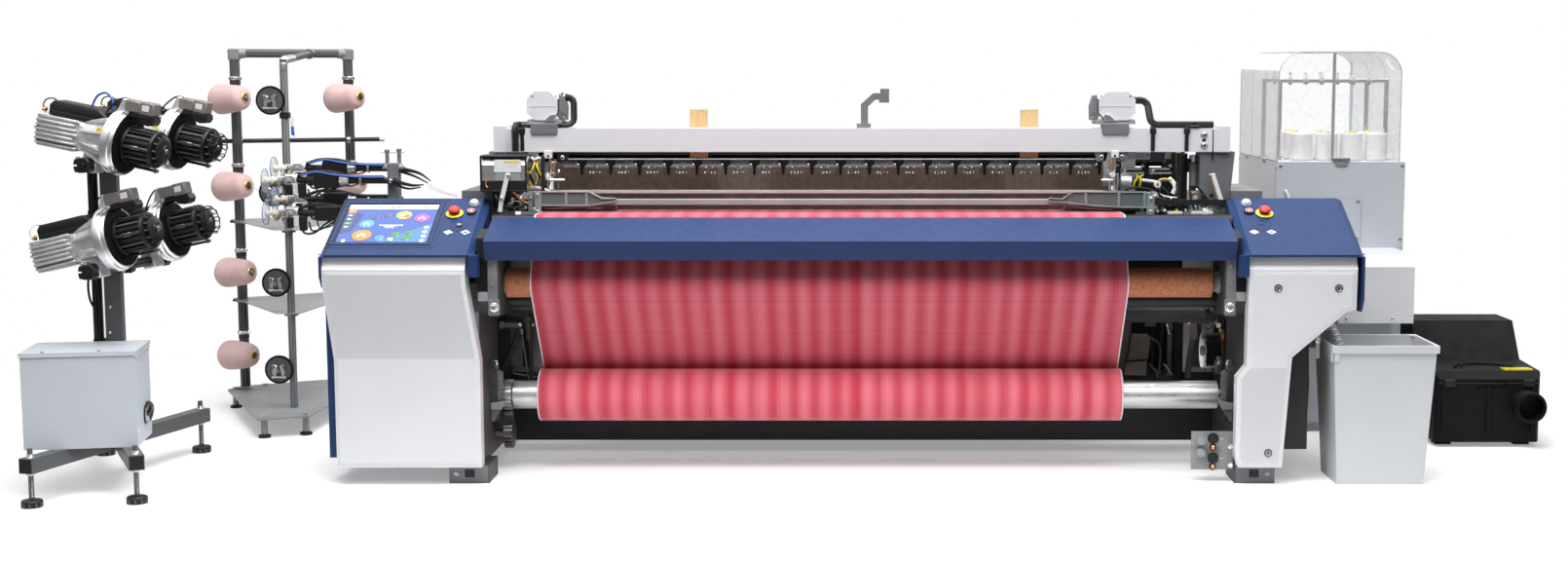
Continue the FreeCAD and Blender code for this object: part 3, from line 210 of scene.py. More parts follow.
STEEL = surface("turned_steel", (0.62, 0.62, 0.62), 0.30, 1.0, vary=0.10, grain=900, stretch=(0.15, 1, 1))
CHROME = surface("bright_steel", (0.80, 0.80, 0.81), 0.14, 1.0, vary=0.05, grain=900, depth=0.00002, wear=0.06)
DULL_STEEL = surface("dull_steel", (0.30, 0.30, 0.30), 0.42, 1.0, vary=0.18, grain=700)
ALU = surface("worn_aluminium_tube", (0.56, 0.565, 0.57), 0.36, 1.0, vary=0.12, scale=14, grain=800,
              stretch=(0.5, 1, 1))
CAST_ALU = surface("die_cast_aluminium", (0.55, 0.56, 0.57), 0.46, 0.85, vary=0.12, scale=20, grain=900,
                   depth=0.00015)
BLACK = surface("black_moulded_plastic", (0.010, 0.010, 0.011), 0.46, vary=0.15, grain=1100, depth=0.0001,
                spec=0.3)
BLACK_ROUGH = surface("grained_black_plastic", (0.0035, 0.0035, 0.0035), 0.62, vary=0.2, scale=4, grain=520,
                      depth=0.0004, spec=0.15)
RUBBER = surface("black_hose_rubber", (0.009, 0.009, 0.010), 0.38, vary=0.2, grain=800, spec=0.3)
RED = gloss_plastic("red_plastic", (0.62, 0.02, 0.015), 0.25, 0.05, 0.4)
YELLOW = gloss_plastic("yellow_plastic", (0.82, 0.62, 0.01), 0.30, 0.04, 0.3)
PURE_WHITE = gloss_plastic("white_plastic", (0.85, 0.85, 0.84), 0.28, 0.02, 0.3)
BIN = surface("bin_plastic", (0.60, 0.615, 0.64), 0.44, vary=0.03, scale=3, grain=900, depth=0.00012,
              Subsurface_Weight=0.05)
BRASS = surface("brass", (0.75, 0.52, 0.20), 0.28, 1.0, vary=0.1)
COPPER = surface("copper_tips", (0.60, 0.26, 0.12), 0.32, 1.0, vary=0.15)
BLUE_PLASTIC = surface("blue_plastic", (0.03, 0.12, 0.50), 0.32, coat=0.2)


def clear(name, tint, rough, alpha):
    """Clear sheet that lets light through, with a gloss and scuffs."""
    m, nt, b = tree(name)
    v = coords(nt)
    link(nt, ramp(nt, noise(nt, v, 5), (0.3, shade(tint, 0.97)), (0.7, tint)), b.inputs["Base Color"])
    scuff = noise(nt, v, 30, 6)
    link(nt, spread(nt, scuff, rough, rough + 0.1, 0.4, 0.7), b.inputs["Roughness"])
    facing = new(nt, "LayerWeight", Blend=0.35).outputs["Facing"]
    edge = spread(nt, facing, alpha, min(1, alpha + 0.5))
    link(nt, calc(nt, "ADD", edge, spread(nt, scuff, 0, 0.06, 0.5, 0.7)), b.inputs["Alpha"])
    put(b, Specular_IOR_Level=0.6, Coat_Weight=0.5)
    return m


ACRYLIC = clear("clear_acrylic", (0.93, 0.95, 0.96), 0.08, 0.05)
SHELF = clear("shelf_acrylic", (0.60, 0.63, 0.65), 0.12, 0.42)


def wood_finish():
    """Beech with long rings and fibres."""
    m, nt, b = tree("bare_beech")
    v = coords(nt, (14, 14, 1.1))
    rings = new(nt, "TexWave", Scale=3.0, Distortion=5.0, Detail=3.0)
    link(nt, v, rings.inputs["Vector"])
    fibre = noise(nt, v, 60, 6)
    tone = ramp(nt, rings.outputs["Fac"], (0.1, (0.56, 0.33, 0.13)), (0.9, (0.75, 0.51, 0.25)))
    fine = ramp(nt, fibre, (0.35, (0.42, 0.24, 0.09)), (0.65, (0.85, 0.62, 0.35)))
    link(nt, mix(nt, 0.35, tone, fine), b.inputs["Base Color"])
    bump(nt, b, fibre, 0.0003)
    put(b, Roughness=0.6)
    return m


def dress(node, *materials):
    """Give a CAD node its finish."""
    mesh = NODE[node].data
    mesh.materials.clear()
    for m in materials:
        mesh.materials.append(m)


for finish, nodes in (
    (WHITE, "cover_left cover_right selvedge_motors top_beam"),
    (LIGHT_GREY, "motor_hood"),
    (BOX_PAINT, "feeder_box"),
    (BLUE, "console_left console_right rail_cover"),
    (CAST, "clamp_bracket temples warp_beam"),
    (CAST_LIGHT, "terminal_plate"),
    (POST, "feeder_stand"),
    (DARK, "cross_beams heald_frame_1 heald_frame_2 heald_frame_3 heald_frame_4"),
    (STEEL, "back_roller reed selvedge_devices"),
    (ALU, "cloth_roll_core"),
    (CAST_ALU, "weft_feeders"),
    (BLACK, "touch_screen weft_arms"),
    (BLACK_ROUGH, "dust_box winding_disc_lower_front winding_disc_lower_rear "
                  "winding_disc_upper_front winding_disc_upper_rear"),
    (RUBBER, "machine_cables press_roller"),
    (RED, "emergency_stop_left emergency_stop_right stop_button_left stop_button_right cloth_roll cloth_web"),
    (PURE_WHITE, "start_button_left start_button_right thread_spools"),
    (BIN, "waste_bin"),
    (COPPER, "yarn_packages wound_warp warp_sheet"),
    (ACRYLIC, "spool_cover"),
    (SHELF, "creel_shelves"),
    (wood_finish(), "beam_blocks"),
):
    for node in nodes.split():
        dress(node, finish)


# ---------------------------------------------------------------- mesh kit
RIGHT, TO_BACK, UP = Vector((1, 0, 0)), Vector((0, 1, 0)), Vector((0, 0, 1))
LEFT, TO_FRONT = -RIGHT, -TO_BACK
SMOOTH_BELOW = 35       # degrees between two faces that still shade as one surface


def axes_of(axis):
    """Unit axis and two unit directions square to it."""
    a = Vector(axis).normalized()
    side = Vector((0, 0, 1)) if abs(a.z) < 0.9 else Vector((1, 0, 0))
    u = side.cross(a).normalized()
    return a, u, a.cross(u)


def smooth_path(points, steps):
    """Points of a smooth curve through the given ones."""
    p = [Vector(q) for q in points]
    p = [p[0] * 2 - p[1]] + p + [p[-1] * 2 - p[-2]]
    out = []
    for a, b, c, d in zip(p, p[1:], p[2:], p[3:]):
        for i in range(steps):
            t = i / steps
            bend, twist = 2 * a - 5 * b + 4 * c - d, 3 * b - a - 3 * c + d
            out.append(0.5 * (2 * b + (c - a) * t + bend * t * t + twist * t ** 3))
    return out + [p[-2]]


def tangents(path):
    """Unit direction at each point of a path."""
    last = len(path) - 1
    return [(path[min(i + 1, last)] - path[max(i - 1, 0)]).normalized() for i in range(len(path))]


def skin(rings, n):
    """Faces round a stack of rings of n points each, with both ends closed."""
    faces = []
    for i in range(rings - 1):
        for j in range(n):
            k = (j + 1) % n
            faces.append((i * n + j, i * n + k, (i + 1) * n + k, (i + 1) * n + j))
    return faces + [tuple(range(n))[::-1], tuple((rings - 1) * n + j for j in range(n))]


class Kit:
    """Collects the shapes of one piece. Millimetres, with y counted from the loom's front plane."""

    def __init__(self, place=None):
        self.verts, self.faces, self.index, self.mats = [], [], [], []
        self.place = place or Matrix()

    def add(self, verts, faces, m):
        """Take a shape of material m; faces count from its own first vertex."""
        if m not in self.mats:
            self.mats.append(m)
        base = len(self.verts)
        self.verts += [self.place @ Vector(v) for v in verts]
        self.faces += [tuple(base + i for i in f) for f in faces]
        self.index += [self.mats.index(m)] * len(faces)
        return self

    def box(self, lo, hi, m, c=1.0):
        """Block with chamfered edges. Corner k has a bit for each axis, and one point on each of its sides."""
        lo, hi = Vector(lo), Vector(hi)
        c = min(c, *((hi - lo) * 0.45))
        verts, faces, at = [], [], {}
        for k in range(8):
            for axis in range(3):
                at[k, axis] = len(verts)
                inset = [0 if i == axis else c for i in range(3)]
                verts.append([hi[i] - inset[i] if (k >> i) & 1 else lo[i] + inset[i] for i in range(3)])
        for axis in range(3):
            i, j = (axis + 1) % 3, (axis + 2) % 3
            for side in (0, 1):
                ks = [(side << axis) | (a << i) | (b << j) for a, b in ((0, 0), (1, 0), (1, 1), (0, 1))]
                face = [at[k, axis] for k in ks]
                faces.append(face if side else face[::-1])
            for a in (0, 1):
                for b in (0, 1):
                    k0 = (a << i) | (b << j)
                    k1 = k0 | (1 << axis)
                    face = [at[k0, i], at[k1, i], at[k1, j], at[k0, j]]
                    faces.append(face if a == b else face[::-1])
        for k in range(8):
            face = [at[k, 0], at[k, 1], at[k, 2]]
            faces.append(face if bin(k).count("1") % 2 else face[::-1])
        return self.add(verts, faces, m)

    def lathe(self, profile, origin, axis, m, n=24, phase=0.0):
        """Turn (along, radius) points about an axis; a radius of 0 closes an end."""
        a, u, w = axes_of(axis)
        o = Vector(origin)
        verts, rings = [], []
        for d, r in profile:
            ring = []
            for i in range(1 if r == 0 else n):
                t = phase + TURN * i / n
                ring.append(len(verts))
                verts.append(o + a * d + (u * math.cos(t) + w * math.sin(t)) * r)
            rings.append(ring)
        faces = []
        for p, q in zip(rings, rings[1:]):
            for i in range(n):
                j = (i + 1) % n
                if len(p) == 1:
                    faces.append((p[0], q[j], q[i]))
                elif len(q) == 1:
                    faces.append((p[i], p[j], q[0]))
                else:
                    faces.append((p[i], p[j], q[j], q[i]))
        return self.add(verts, faces, m)

    def turned(self, profile, origin, axis, m, n=24, phase=0.0):
        """Turn a solid piece: flat ends close the profile."""
        return self.lathe([(profile[0][0], 0), *profile, (profile[-1][0], 0)], origin, axis, m, n, phase)

    def rod(self, p, q, r, m, n=16, c=0.0):
        """Round bar from p to q with chamfered ends."""
        p, q = Vector(p), Vector(q)
        length = (q - p).length
        profile = [(0, r - c), (c, r), (length - c, r), (length, r - c)] if c else [(0, r), (length, r)]
        return self.turned(profile, p, q - p, m, n)

    def ring(self, origin, axis, radius, r, m, n=32, k=8):
        """Ring of round section r, with k sides."""
        turns = [TURN * i / k for i in range(k + 1)]
        return self.lathe([(math.sin(t) * r, radius + math.cos(t) * r) for t in turns], origin, axis, m, n)

    def ball(self, origin, r, m, n=16):
        """Ball with n sides round it."""
        half = n // 2
        turns = [math.pi * i / half for i in range(1, half)]
        profile = [(-math.cos(t) * r, math.sin(t) * r) for t in turns]
        return self.lathe([(-r, 0), *profile, (r, 0)], origin, UP, m, n)

    def tube(self, points, r, m, n=8, steps=6, taper=None):
        """Round hose or wire along a smooth line."""
        path = smooth_path(points, steps) if steps > 1 else [Vector(p) for p in points]
        headings = tangents(path)
        _, u, _ = axes_of(headings[0])
        turns = [TURN * j / n for j in range(n)]
        verts = []
        for i, (p, t) in enumerate(zip(path, headings)):
            u = (u - t * u.dot(t)).normalized()
            w = t.cross(u)
            here = r * (taper(i / (len(path) - 1)) if taper else 1)
            verts += [p + (u * math.cos(a) + w * math.sin(a)) * here for a in turns]
        return self.add(verts, skin(len(path), n), m)

    def prism(self, outline, a, b, m, axis="y", c=0.0):
        """Extrude an outline from a to b. Outline pairs are (x, z) for y, (y, z) for x and (x, y) for z."""
        n = len(outline)
        centre = Vector([sum(values) / n for values in zip(*outline)])
        levels = [(a, c), (a + c, 0), (b - c, 0), (b, c)] if c else [(a, 0), (b, 0)]
        verts = []
        for level, inset in levels:
            for p in outline:
                q = Vector(p) - centre
                q = Vector([d - math.copysign(min(inset, abs(d)), d) for d in q]) + centre
                verts.append({"y": (q.x, level, q.y), "x": (level, q.x, q.y), "z": (q.x, q.y, level)}[axis])
        return self.add(verts, skin(len(levels), n), m)

    def bolt(self, at, axis, r, m, socket=True):
        """Washer and head in sizes of the radius r: a round head with a socket, or a hexagon."""
        washer = ((0, 1.35), (0.22, 1.35), (0.26, 1.28))
        if socket:
            head, sides = ((0.26, 1), (1.1, 1), (1.25, 0.88), (1.25, 0.5), (0.7, 0.45)), 12
        else:
            head, sides = ((0.26, 1), (0.85, 1), (1, 0.85)), 6
        for profile, n in ((washer, 16), (head, sides)):
            self.turned([(d * r, w * r) for d, w in profile], at, axis, m, n)
        return self

    def done(self, name, body="root", slot=None, replaces=(), angle=SMOOTH_BELOW):
        """Make the object in metres in the row frame, put it on its body and hide what it stands for."""
        to_row = Matrix.Translation((0, FRONT, 0)) @ Matrix.Scale(0.001, 4)
        me = bpy.data.meshes.new(name)
        me.from_pydata([to_row @ v for v in self.verts], [], self.faces)
        for m in self.mats:
            me.materials.append(m)
        me.polygons.foreach_set("material_index", self.index)
        bm = bmesh.new()
        bm.from_mesh(me)
        bmesh.ops.recalc_face_normals(bm, faces=bm.faces)
        limit = math.radians(angle)
        for f in bm.faces:
            f.smooth = True
        for e in bm.edges:
            e.smooth = len(e.link_faces) == 2 and e.calc_face_angle(0) < limit
        bm.to_mesh(me)
        bm.free()
        ob = add_object(name, me)
        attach(ob, body)
        if replaces:
            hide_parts(*replaces)
        return ob


def bar_outline(a, b, half):
    """Outline of a flat bar of a half width between two points."""
    (ax, az), (bx, bz) = a, b
    d = Vector((bx - ax, bz - az)).normalized() * half
    return [(ax - d.y, az + d.x), (ax + d.y, az - d.x), (bx + d.y, bz - d.x), (bx - d.y, bz + d.x)]


def soften(node, width=2.0, angle=30, segments=2):
    """Rounded edges on a CAD node."""
    ob = NODE[node]
    for p in ob.data.polygons:
        p.use_smooth = True
    mod = ob.modifiers.new("edges", "BEVEL")
    mod.width = width / 1000
    mod.segments = segments
    mod.limit_method = "ANGLE"
    mod.angle_limit = math.radians(angle)
    mod.harden_normals = True


# ---------------------------------------------------------------- cloth, warp and the rolls they run on
CLOTH_X = (-1150.0, 925.0)
LINE_Z = 925.0                          # height of the cloth line
FELL_Y = 458.0                          # where weaving ends and cloth begins
OFF = 0.9                               # clearance to a roller, and half of the cloth's thickness
TAKEUP = (150.0, 693.0, 52.0)           # y, z and radius of each roller or roll
ROLL = (310.0, 270.0, 93.0)
BEAM = (1380.0, 480.0, 330.0)
BACK = (1645.0, LINE_Z - 60.9, 60.0)
BREAST = (235, 894.1, 30.0)
STRIPE = 0.0744                         # width of one pale and one deep band, in metres
FINE = 420.0                            # yarns show about this often a metre, in noise scale


def line_noise(nt, value, scale, detail=2.0):
    """Noise that changes along one coordinate only."""
    n = new(nt, "TexNoise", Scale=scale, Detail=detail, Roughness=0.6)
    n.noise_dimensions = "1D"
    link(nt, value, n.inputs["W"])
    return n.outputs["Fac"]


def ribs(nt, value, pitch):
    """Round ribs at a pitch."""
    return calc(nt, "ABSOLUTE", calc(nt, "SINE", calc(nt, "MULTIPLY", value, math.pi / pitch)))


def woven(name, dark, pale, weft_pitch=0.0016):
    """Cloth or warp: soft bands across the width, fine warp lines, weft ribs and fibre fuzz."""
    m, nt, b = tree(name)
    place = new(nt, "TexCoord").outputs["Object"]
    at = parts_of(nt, place)
    wave = calc(nt, "SINE", calc(nt, "MULTIPLY", at["X"], TURN / STRIPE))
    drift = line_noise(nt, at["X"], 9.0)
    bands = calc(nt, "MULTIPLY", wave, 0.30)
    tone = calc(nt, "ADD", bands, spread(nt, drift, 0.30, 0.70, 0.3, 0.7))
    fine = line_noise(nt, at["X"], FINE, 4)
    tone = calc(nt, "ADD", tone, spread(nt, fine, -0.34, 0.34, 0.25, 0.75))
    if weft_pitch:
        weft = line_noise(nt, calc(nt, "ADD", at["Z"], at["Y"]), FINE, 3)
        tone = calc(nt, "ADD", tone, spread(nt, weft, -0.10, 0.10, 0.25, 0.75))
    link(nt, ramp(nt, tone, (0.05, dark), (0.95, pale)), b.inputs["Base Color"])
    height = ribs(nt, at["X"], 0.0011)
    if weft_pitch:
        picks = ribs(nt, calc(nt, "ADD", at["Z"], at["Y"]), weft_pitch)
        height = calc(nt, "MULTIPLY", height, picks)
    bump(nt, b, height, 0.00022, 0.7, bump(nt, None, noise(nt, place, 260, 5), 0.0003, 0.5))
    put(b, Roughness=0.82, Sheen_Weight=0.6, Sheen_Roughness=0.4, Specular_IOR_Level=0.25)
    return m


def selvedge_cover(m, x0, x1, width):
    """Paint the outermost width of a cloth white."""
    nt = m.node_tree
    color = nt.nodes["Principled BSDF"].inputs["Base Color"]
    x = parts_of(nt, new(nt, "TexCoord").outputs["Object"])["X"]
    low = calc(nt, "LESS_THAN", x, x0 + width)
    high = calc(nt, "GREATER_THAN", x, x1 - width)
    cloth = color.links[0].from_socket
    link(nt, mix(nt, calc(nt, "MAXIMUM", low, high), cloth, (0.84, 0.80, 0.78)), color)
    return m


ROSE = (0.51, 0.043, 0.072)
PALE = (0.70, 0.185, 0.235)
CLOTH = selvedge_cover(woven("woven_cloth", ROSE, PALE), CLOTH_X[0] / 1000, CLOTH_X[1] / 1000, 0.005)
WARP = woven("warp_yarns", (0.60, 0.075, 0.12), (0.85, 0.38, 0.44), weft_pitch=0)
YARN_RED = surface("warp_thread", (0.70, 0.11, 0.17), 0.75, vary=0.25, scale=40, Sheen_Weight=0.2)


def roll_end_finish():
    """End of a wound roll: edges of the layers as fine rings."""
    m, nt, b = tree("layer_edges")
    at = parts_of(nt, new(nt, "TexCoord").outputs["Object"])
    dy = calc(nt, "SUBTRACT", at["Y"], ROLL[0] / 1000 + FRONT)
    dz = calc(nt, "SUBTRACT", at["Z"], ROLL[1] / 1000)
    r = calc(nt, "SQRT", calc(nt, "ADD", calc(nt, "MULTIPLY", dy, dy), calc(nt, "MULTIPLY", dz, dz)))
    rings = line_noise(nt, r, 900, 3)
    link(nt, ramp(nt, rings, (0.3, (0.62, 0.30, 0.32)), (0.6, (0.85, 0.81, 0.79))), b.inputs["Base Color"])
    bump(nt, b, rings, 0.0008)
    put(b, Roughness=0.85)
    return m


def grip_finish():
    """Terracotta grip covering with pale pimples."""
    m, nt, b = tree("grip_covering")
    v = coords(nt)
    cells = new(nt, "TexVoronoi", Scale=300.0)
    link(nt, v, cells.inputs["Vector"])
    speck = spread(nt, cells.outputs["Distance"], 1, 0, 0.15, 0.5)
    base = ramp(nt, noise(nt, v, 90, 5), (0.3, (0.36, 0.105, 0.045)), (0.7, (0.60, 0.22, 0.11)))
    link(nt, mix(nt, calc(nt, "MULTIPLY", speck, 0.45), base, (0.80, 0.42, 0.27)), b.inputs["Base Color"])
    bump(nt, b, speck, 0.0007)
    put(b, Roughness=0.75)
    return m


def belt_path(rolls, arc_step=5):
    """Middle line of a web over rolls of (y, z, radius, side)."""
    legs = []
    for (ya, za, ra, sa), (yb, zb, rb, sb) in zip(rolls, rolls[1:]):
        ra, rb = sa * ra, sb * rb
        lean = math.asin((ra - rb) / math.hypot(yb - ya, zb - za))
        heading = math.atan2(zb - za, yb - ya) - lean
        ny, nz = -math.sin(heading), math.cos(heading)
        legs.append(((ya + ny * ra, za + nz * ra), (yb + ny * rb, zb + nz * rb)))
    path = [legs[0][0]]
    for i, (a, b) in enumerate(legs):
        n = max(2, int(math.dist(a, b) / 25))
        path += [(a[0] + (b[0] - a[0]) * k / n, a[1] + (b[1] - a[1]) * k / n) for k in range(1, n + 1)]
        if i + 1 < len(legs):
            y, z, r, _ = rolls[i + 1]
            c = legs[i + 1][0]
            start, end = math.atan2(b[1] - z, b[0] - y), math.atan2(c[1] - z, c[0] - y)
            turn = (end - start + math.pi) % TURN - math.pi
            n = max(2, int(abs(math.degrees(turn)) / arc_step))
            angles = [start + turn * k / n for k in range(1, n + 1)]
            path += [(y + math.cos(t) * r, z + math.sin(t) * r) for t in angles]
    return path


def web(name, node, rolls, m, slot, rest, bow, cols=200):
    """Sheet over rolls, faintly uneven across its width by bow(z) where nothing carries it."""
    path = belt_path(rolls)
    rng = random.Random(3)
    waves = [(rng.uniform(4, 16), rng.uniform(0, 6.28), rng.uniform(0.15, 0.45)) for _ in range(7)]
    x0, x1 = CLOTH_X
    verts = []
    for i, (y, z) in enumerate(path):
        a, b = path[max(0, i - 1)], path[min(len(path) - 1, i + 1)]
        d = math.dist(a, b)
        for j in range(cols + 1):
            x = x0 + (x1 - x0) * j / cols
            lift = bow(z) * sum(k * math.sin(x / 1000 * f + p) for f, p, k in waves)
            verts.append((x, y - (b[1] - a[1]) / d * lift, z + (b[0] - a[0]) / d * lift))
    n = cols + 1
    faces = [(i * n + j, i * n + j + 1, (i + 1) * n + j + 1, (i + 1) * n + j)
             for i in range(len(path) - 1) for j in range(cols)]
    ob = Kit().add(verts, faces, m).done(name, slot=slot, replaces=(node,), angle=180)


web("cloth", "cloth_web",
    [(FELL_Y, LINE_Z, 0, 1), (*BREAST[:2], BREAST[2] + OFF, -1), (*TAKEUP[:2], TAKEUP[2] + OFF, -1),
     (*ROLL[:2], ROLL[2] + OFF, 1)],
    CLOTH, "cloth", "take_up_roller", lambda z: 0.8 if 380 < z < 600 else 0.0)
web("warp", "warp_sheet",
    [(*BEAM[:2], BEAM[2] + OFF, -1), (*BACK[:2], BACK[2] + OFF, -1), (740, LINE_Z, 0, 1)],
    WARP, "warp_yarn", "back_roller", lambda z: 0.0)


def wound(name, node, body, roll, core, m, end, slot):
    """Wound cloth or warp with soft shoulders and layered ends."""
    y, z, r = roll
    x0, x1 = (v.x * 1000 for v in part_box(node))
    at, wall = (0, y, z), r - core
    kit = Kit()
    kit.lathe([(x0, core), (x0 + 1.5, core + wall * 0.3), (x0, core + wall * 0.6), (x0 + 1, r - 6),
               (x0, r - 1.5), (x0 + 1.5, r)], at, RIGHT, end, 96)
    waves = [(x0 + 40 + (x1 - x0 - 80) * k / 24, r - 0.15 + 0.15 * math.sin(k * 2.1)) for k in range(1, 24)]
    kit.lathe([(x0 + 1.5, r), (x0 + 40, r - 0.15), *waves, (x1 - 40, r - 0.15), (x1 - 1.5, r)],
              at, RIGHT, m, 96)
    kit.lathe([(x1 - 1.5, r), (x1, r - 1.5), (x1 - 1, r - 6), (x1, core + wall * 0.6),
               (x1 - 1.5, core + wall * 0.3), (x1, core)], at, RIGHT, end, 96)
    kit.done(name, body, slot, (node,), angle=60)


lo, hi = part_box("cloth_roll")
# The wound cloth takes the cloth's colours a quarter lighter: painted light, for the top light the roll catches
# and the hanging cloth does not.
wound("wound_cloth", "cloth_roll", "roll", ROLL, 50.5,
      selvedge_cover(woven("wound_cloth", shade(ROSE, 1.25), shade(PALE, 1.25)), lo.x, hi.x, 0.006),
      roll_end_finish(), "cloth")
wound("wound_yarn", "wound_warp", "beam", BEAM, 96, WARP, WARP, "warp_yarn")
dress("take_up_roller", grip_finish())


# ---------------------------------------------------------------- reed and heald frames
PITCH = 2.5                             # between heddles, and between reed dents
THREADS = int((CLOTH_X[1] - CLOTH_X[0]) / PITCH)
HEDDLE_REAR = surface("heddle_steel_rear", (0.620, 0.455, 0.375), 0.55, 0.0, vary=0.45, scale=30,
                      stretch=(8, 1, 0.3), spec=0.2)
HEDDLE = surface("heddle_steel", (0.440, 0.325, 0.265), 0.45, 0.4, vary=0.3, scale=60)
# Reed dents: steel coloured dark brown as painted shade, for the shade the reed stands in.
SHADED_DENT = surface("reed_dents", (0.085, 0.068, 0.058), 0.42, 0.4, vary=0.2, scale=50)
REED_CAP = surface("reed_cap", (0.74, 0.71, 0.66), 0.40, 0.3, vary=0.06, scale=12)
HEALD_BLACK = surface("heald_rail_black", (0.020, 0.020, 0.021), 0.40, 0.3, vary=0.2, scale=10)


def blade(kit, x, y, z0, z1, wx, wy, m):
    """Upright strip of half widths wx and wy."""
    v = [(x + sx * wx, y + sy * wy, z) for z in (z0, z1) for sx, sy in ((-1, -1), (1, -1), (1, 1), (-1, 1))]
    kit.add(v, [(0, 1, 5, 4), (1, 2, 6, 5), (2, 3, 7, 6), (3, 0, 4, 7), (4, 5, 6, 7), (3, 2, 1, 0)], m)


def reed():
    """Reed with its two caps and a row of flat dents, the dents and end posts dark as painted shade."""
    x0, x1 = (v.x * 1000 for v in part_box("reed"))
    y0, y1 = 462.0, 470.0
    kit = Kit()
    kit.box((x0, y0, 983), (x1, y1, 996), REED_CAP, 1.5)
    kit.box((x0, y0 + 0.5, 868), (x1, y1 - 0.5, 881), REED_CAP, 1.5)
    for x in (x0 + 4, x1 - 4):
        kit.box((x - 4, y0 + 1, 880), (x + 4, y1 - 1, 984), SHADED_DENT, 1)
    first = CLOTH_X[0] - PITCH * round((CLOTH_X[0] - x0 - 8) / PITCH)
    for i in range(int((x1 - x0 - 16) / PITCH)):
        x = first + PITCH * (i + 0.5)
        if x0 + 8 < x < x1 - 8:
            blade(kit, x, 466, 880.5, 983.5, 0.62, 3.0, SHADED_DENT)
    kit.done("reed_dents", "sley_swing_arm", "reed_steel", ("reed",))


def heald(i):
    """Frame, heddle rods and flat steel heddles with an eye for each thread."""
    y = 606.0 + 34 * i
    x0, x1 = -1190.0, 968.0
    rear = i == 3                       # closes the view through all four frames
    heddle, half, top = (HEDDLE_REAR, PITCH * 0.96, 1092) if rear else (HEDDLE, 1.2, 1074)
    kit = Kit()
    for a, b in ((1093, 1129), (700, 736)):
        kit.box((x0, y - 6, a), (x1, y + 6, b), HEALD_BLACK, 1.2)
        kit.box((x0 + 30, y - 6, a + 12), (x1 - 30, y + 6, b - 12), HEALD_BLACK, 0.5)
    for x in (x0, x1 - 16):
        kit.box((x, y - 6, 736), (x + 16, y + 6, 1093), HEALD_BLACK, 1.2)
    for z in (1078, 748):
        kit.box((x0 + 16, y - 1.2, z - 4), (x1 - 16, y + 1.2, z + 4), CHROME, 0.4)
    for k, thread in enumerate(range(i % 2, THREADS, 2)):
        x = CLOTH_X[0] + PITCH * (thread + 1 + (i // 2) * 0.5)
        blade(kit, x, y, 752, 912, half, 0.5, heddle)
        blade(kit, x, y, 938, top, half, 0.5, heddle)
        for dx in (-1.5, 1.5):
            blade(kit, x + dx, y, 911, 939, 0.35, 0.8, HEDDLE)
        blade(kit, x, y - 1.5, 1070, 1084 - (k % 3), 1.5, 0.4, CHROME)
    n = i + 1
    kit.done(f"heald_detail_{n}", f"heald_{n}", "dark_steel", (f"heald_frame_{n}",))


reed()
for i in range(4):
    heald(i)


# ---------------------------------------------------------------- consoles, covers, rail
SLOPE = math.atan2(164, 330)            # the consoles' tops rise 164 over 330
CONSOLES = {"left": 796, "right": 797}  # height of a console's front edge
STOP_UP, BUTTONS_UP = 258, (270, 330)   # emergency stop, and stop and start buttons, up the slope


def glow(name, color, strength=0.35, rough=0.12):
    """Display colour seen through its glossy front."""
    return surface(name, color, rough, vary=0.03, scale=9, grain=60, depth=0.0, coat=0.6, wear=0.03,
                   Emission_Color=(*color, 1), Emission_Strength=strength)


SCREEN_FIELD = glow("display_field", (0.022, 0.075, 0.36))
SCREEN_BRIGHT = glow("display_corner", (0.035, 0.17, 0.52))
SCREEN_DEEP = glow("display_shade", (0.010, 0.028, 0.16))
SCREEN_WHITE = glow("display_white", (0.86, 0.88, 0.92))
SCREEN_ORANGE = glow("display_orange", (0.90, 0.22, 0.015))
SCREEN_SKY = glow("display_pale_blue", (0.06, 0.30, 0.72))
SCREEN_LIME = glow("display_lime", (0.52, 0.70, 0.05))
SCREEN_PLUM = glow("display_plum", (0.33, 0.07, 0.38))
SCREEN_GREEN = glow("display_green", (0.012, 0.24, 0.06))
SCREEN_GREY = glow("display_grey_blue", (0.05, 0.09, 0.22))
SCREEN_PINK = glow("display_pink", (0.72, 0.10, 0.18))
GASKET = surface("dark_gasket", (0.012, 0.016, 0.03), 0.5, vary=0.1)
NAVY = surface("dark_navy_print", (0.006, 0.010, 0.035), 0.5, vary=0.1)


def slope_kit(side):
    """Kit whose XY plane is a console's sloping top."""
    return Kit(Matrix.Translation((0, 0, CONSOLES[side] + 14)) @ Matrix.Rotation(SLOPE, 4, "X"))


def disc(kit, x, y, z, r, h, m):
    """Low round key or sign."""
    kit.turned([(0, r), (h * 0.7, r), (h, r * 0.97)], (x, y, z), UP, m, 32)


def frame_of(kit, x0, x1, y0, y1, w, z0, z1, m, c=1.0):
    """Flat frame of four bars of width w."""
    kit.box((x0, y0, z0), (x1, y0 + w, z1), m, c)
    kit.box((x0, y1 - w, z0), (x1, y1, z1), m, c)
    kit.box((x0, y0 + w, z0), (x0 + w, y1 - w, z1), m, c)
    kit.box((x1 - w, y0 + w, z0), (x1, y1 - w, z1), m, c)


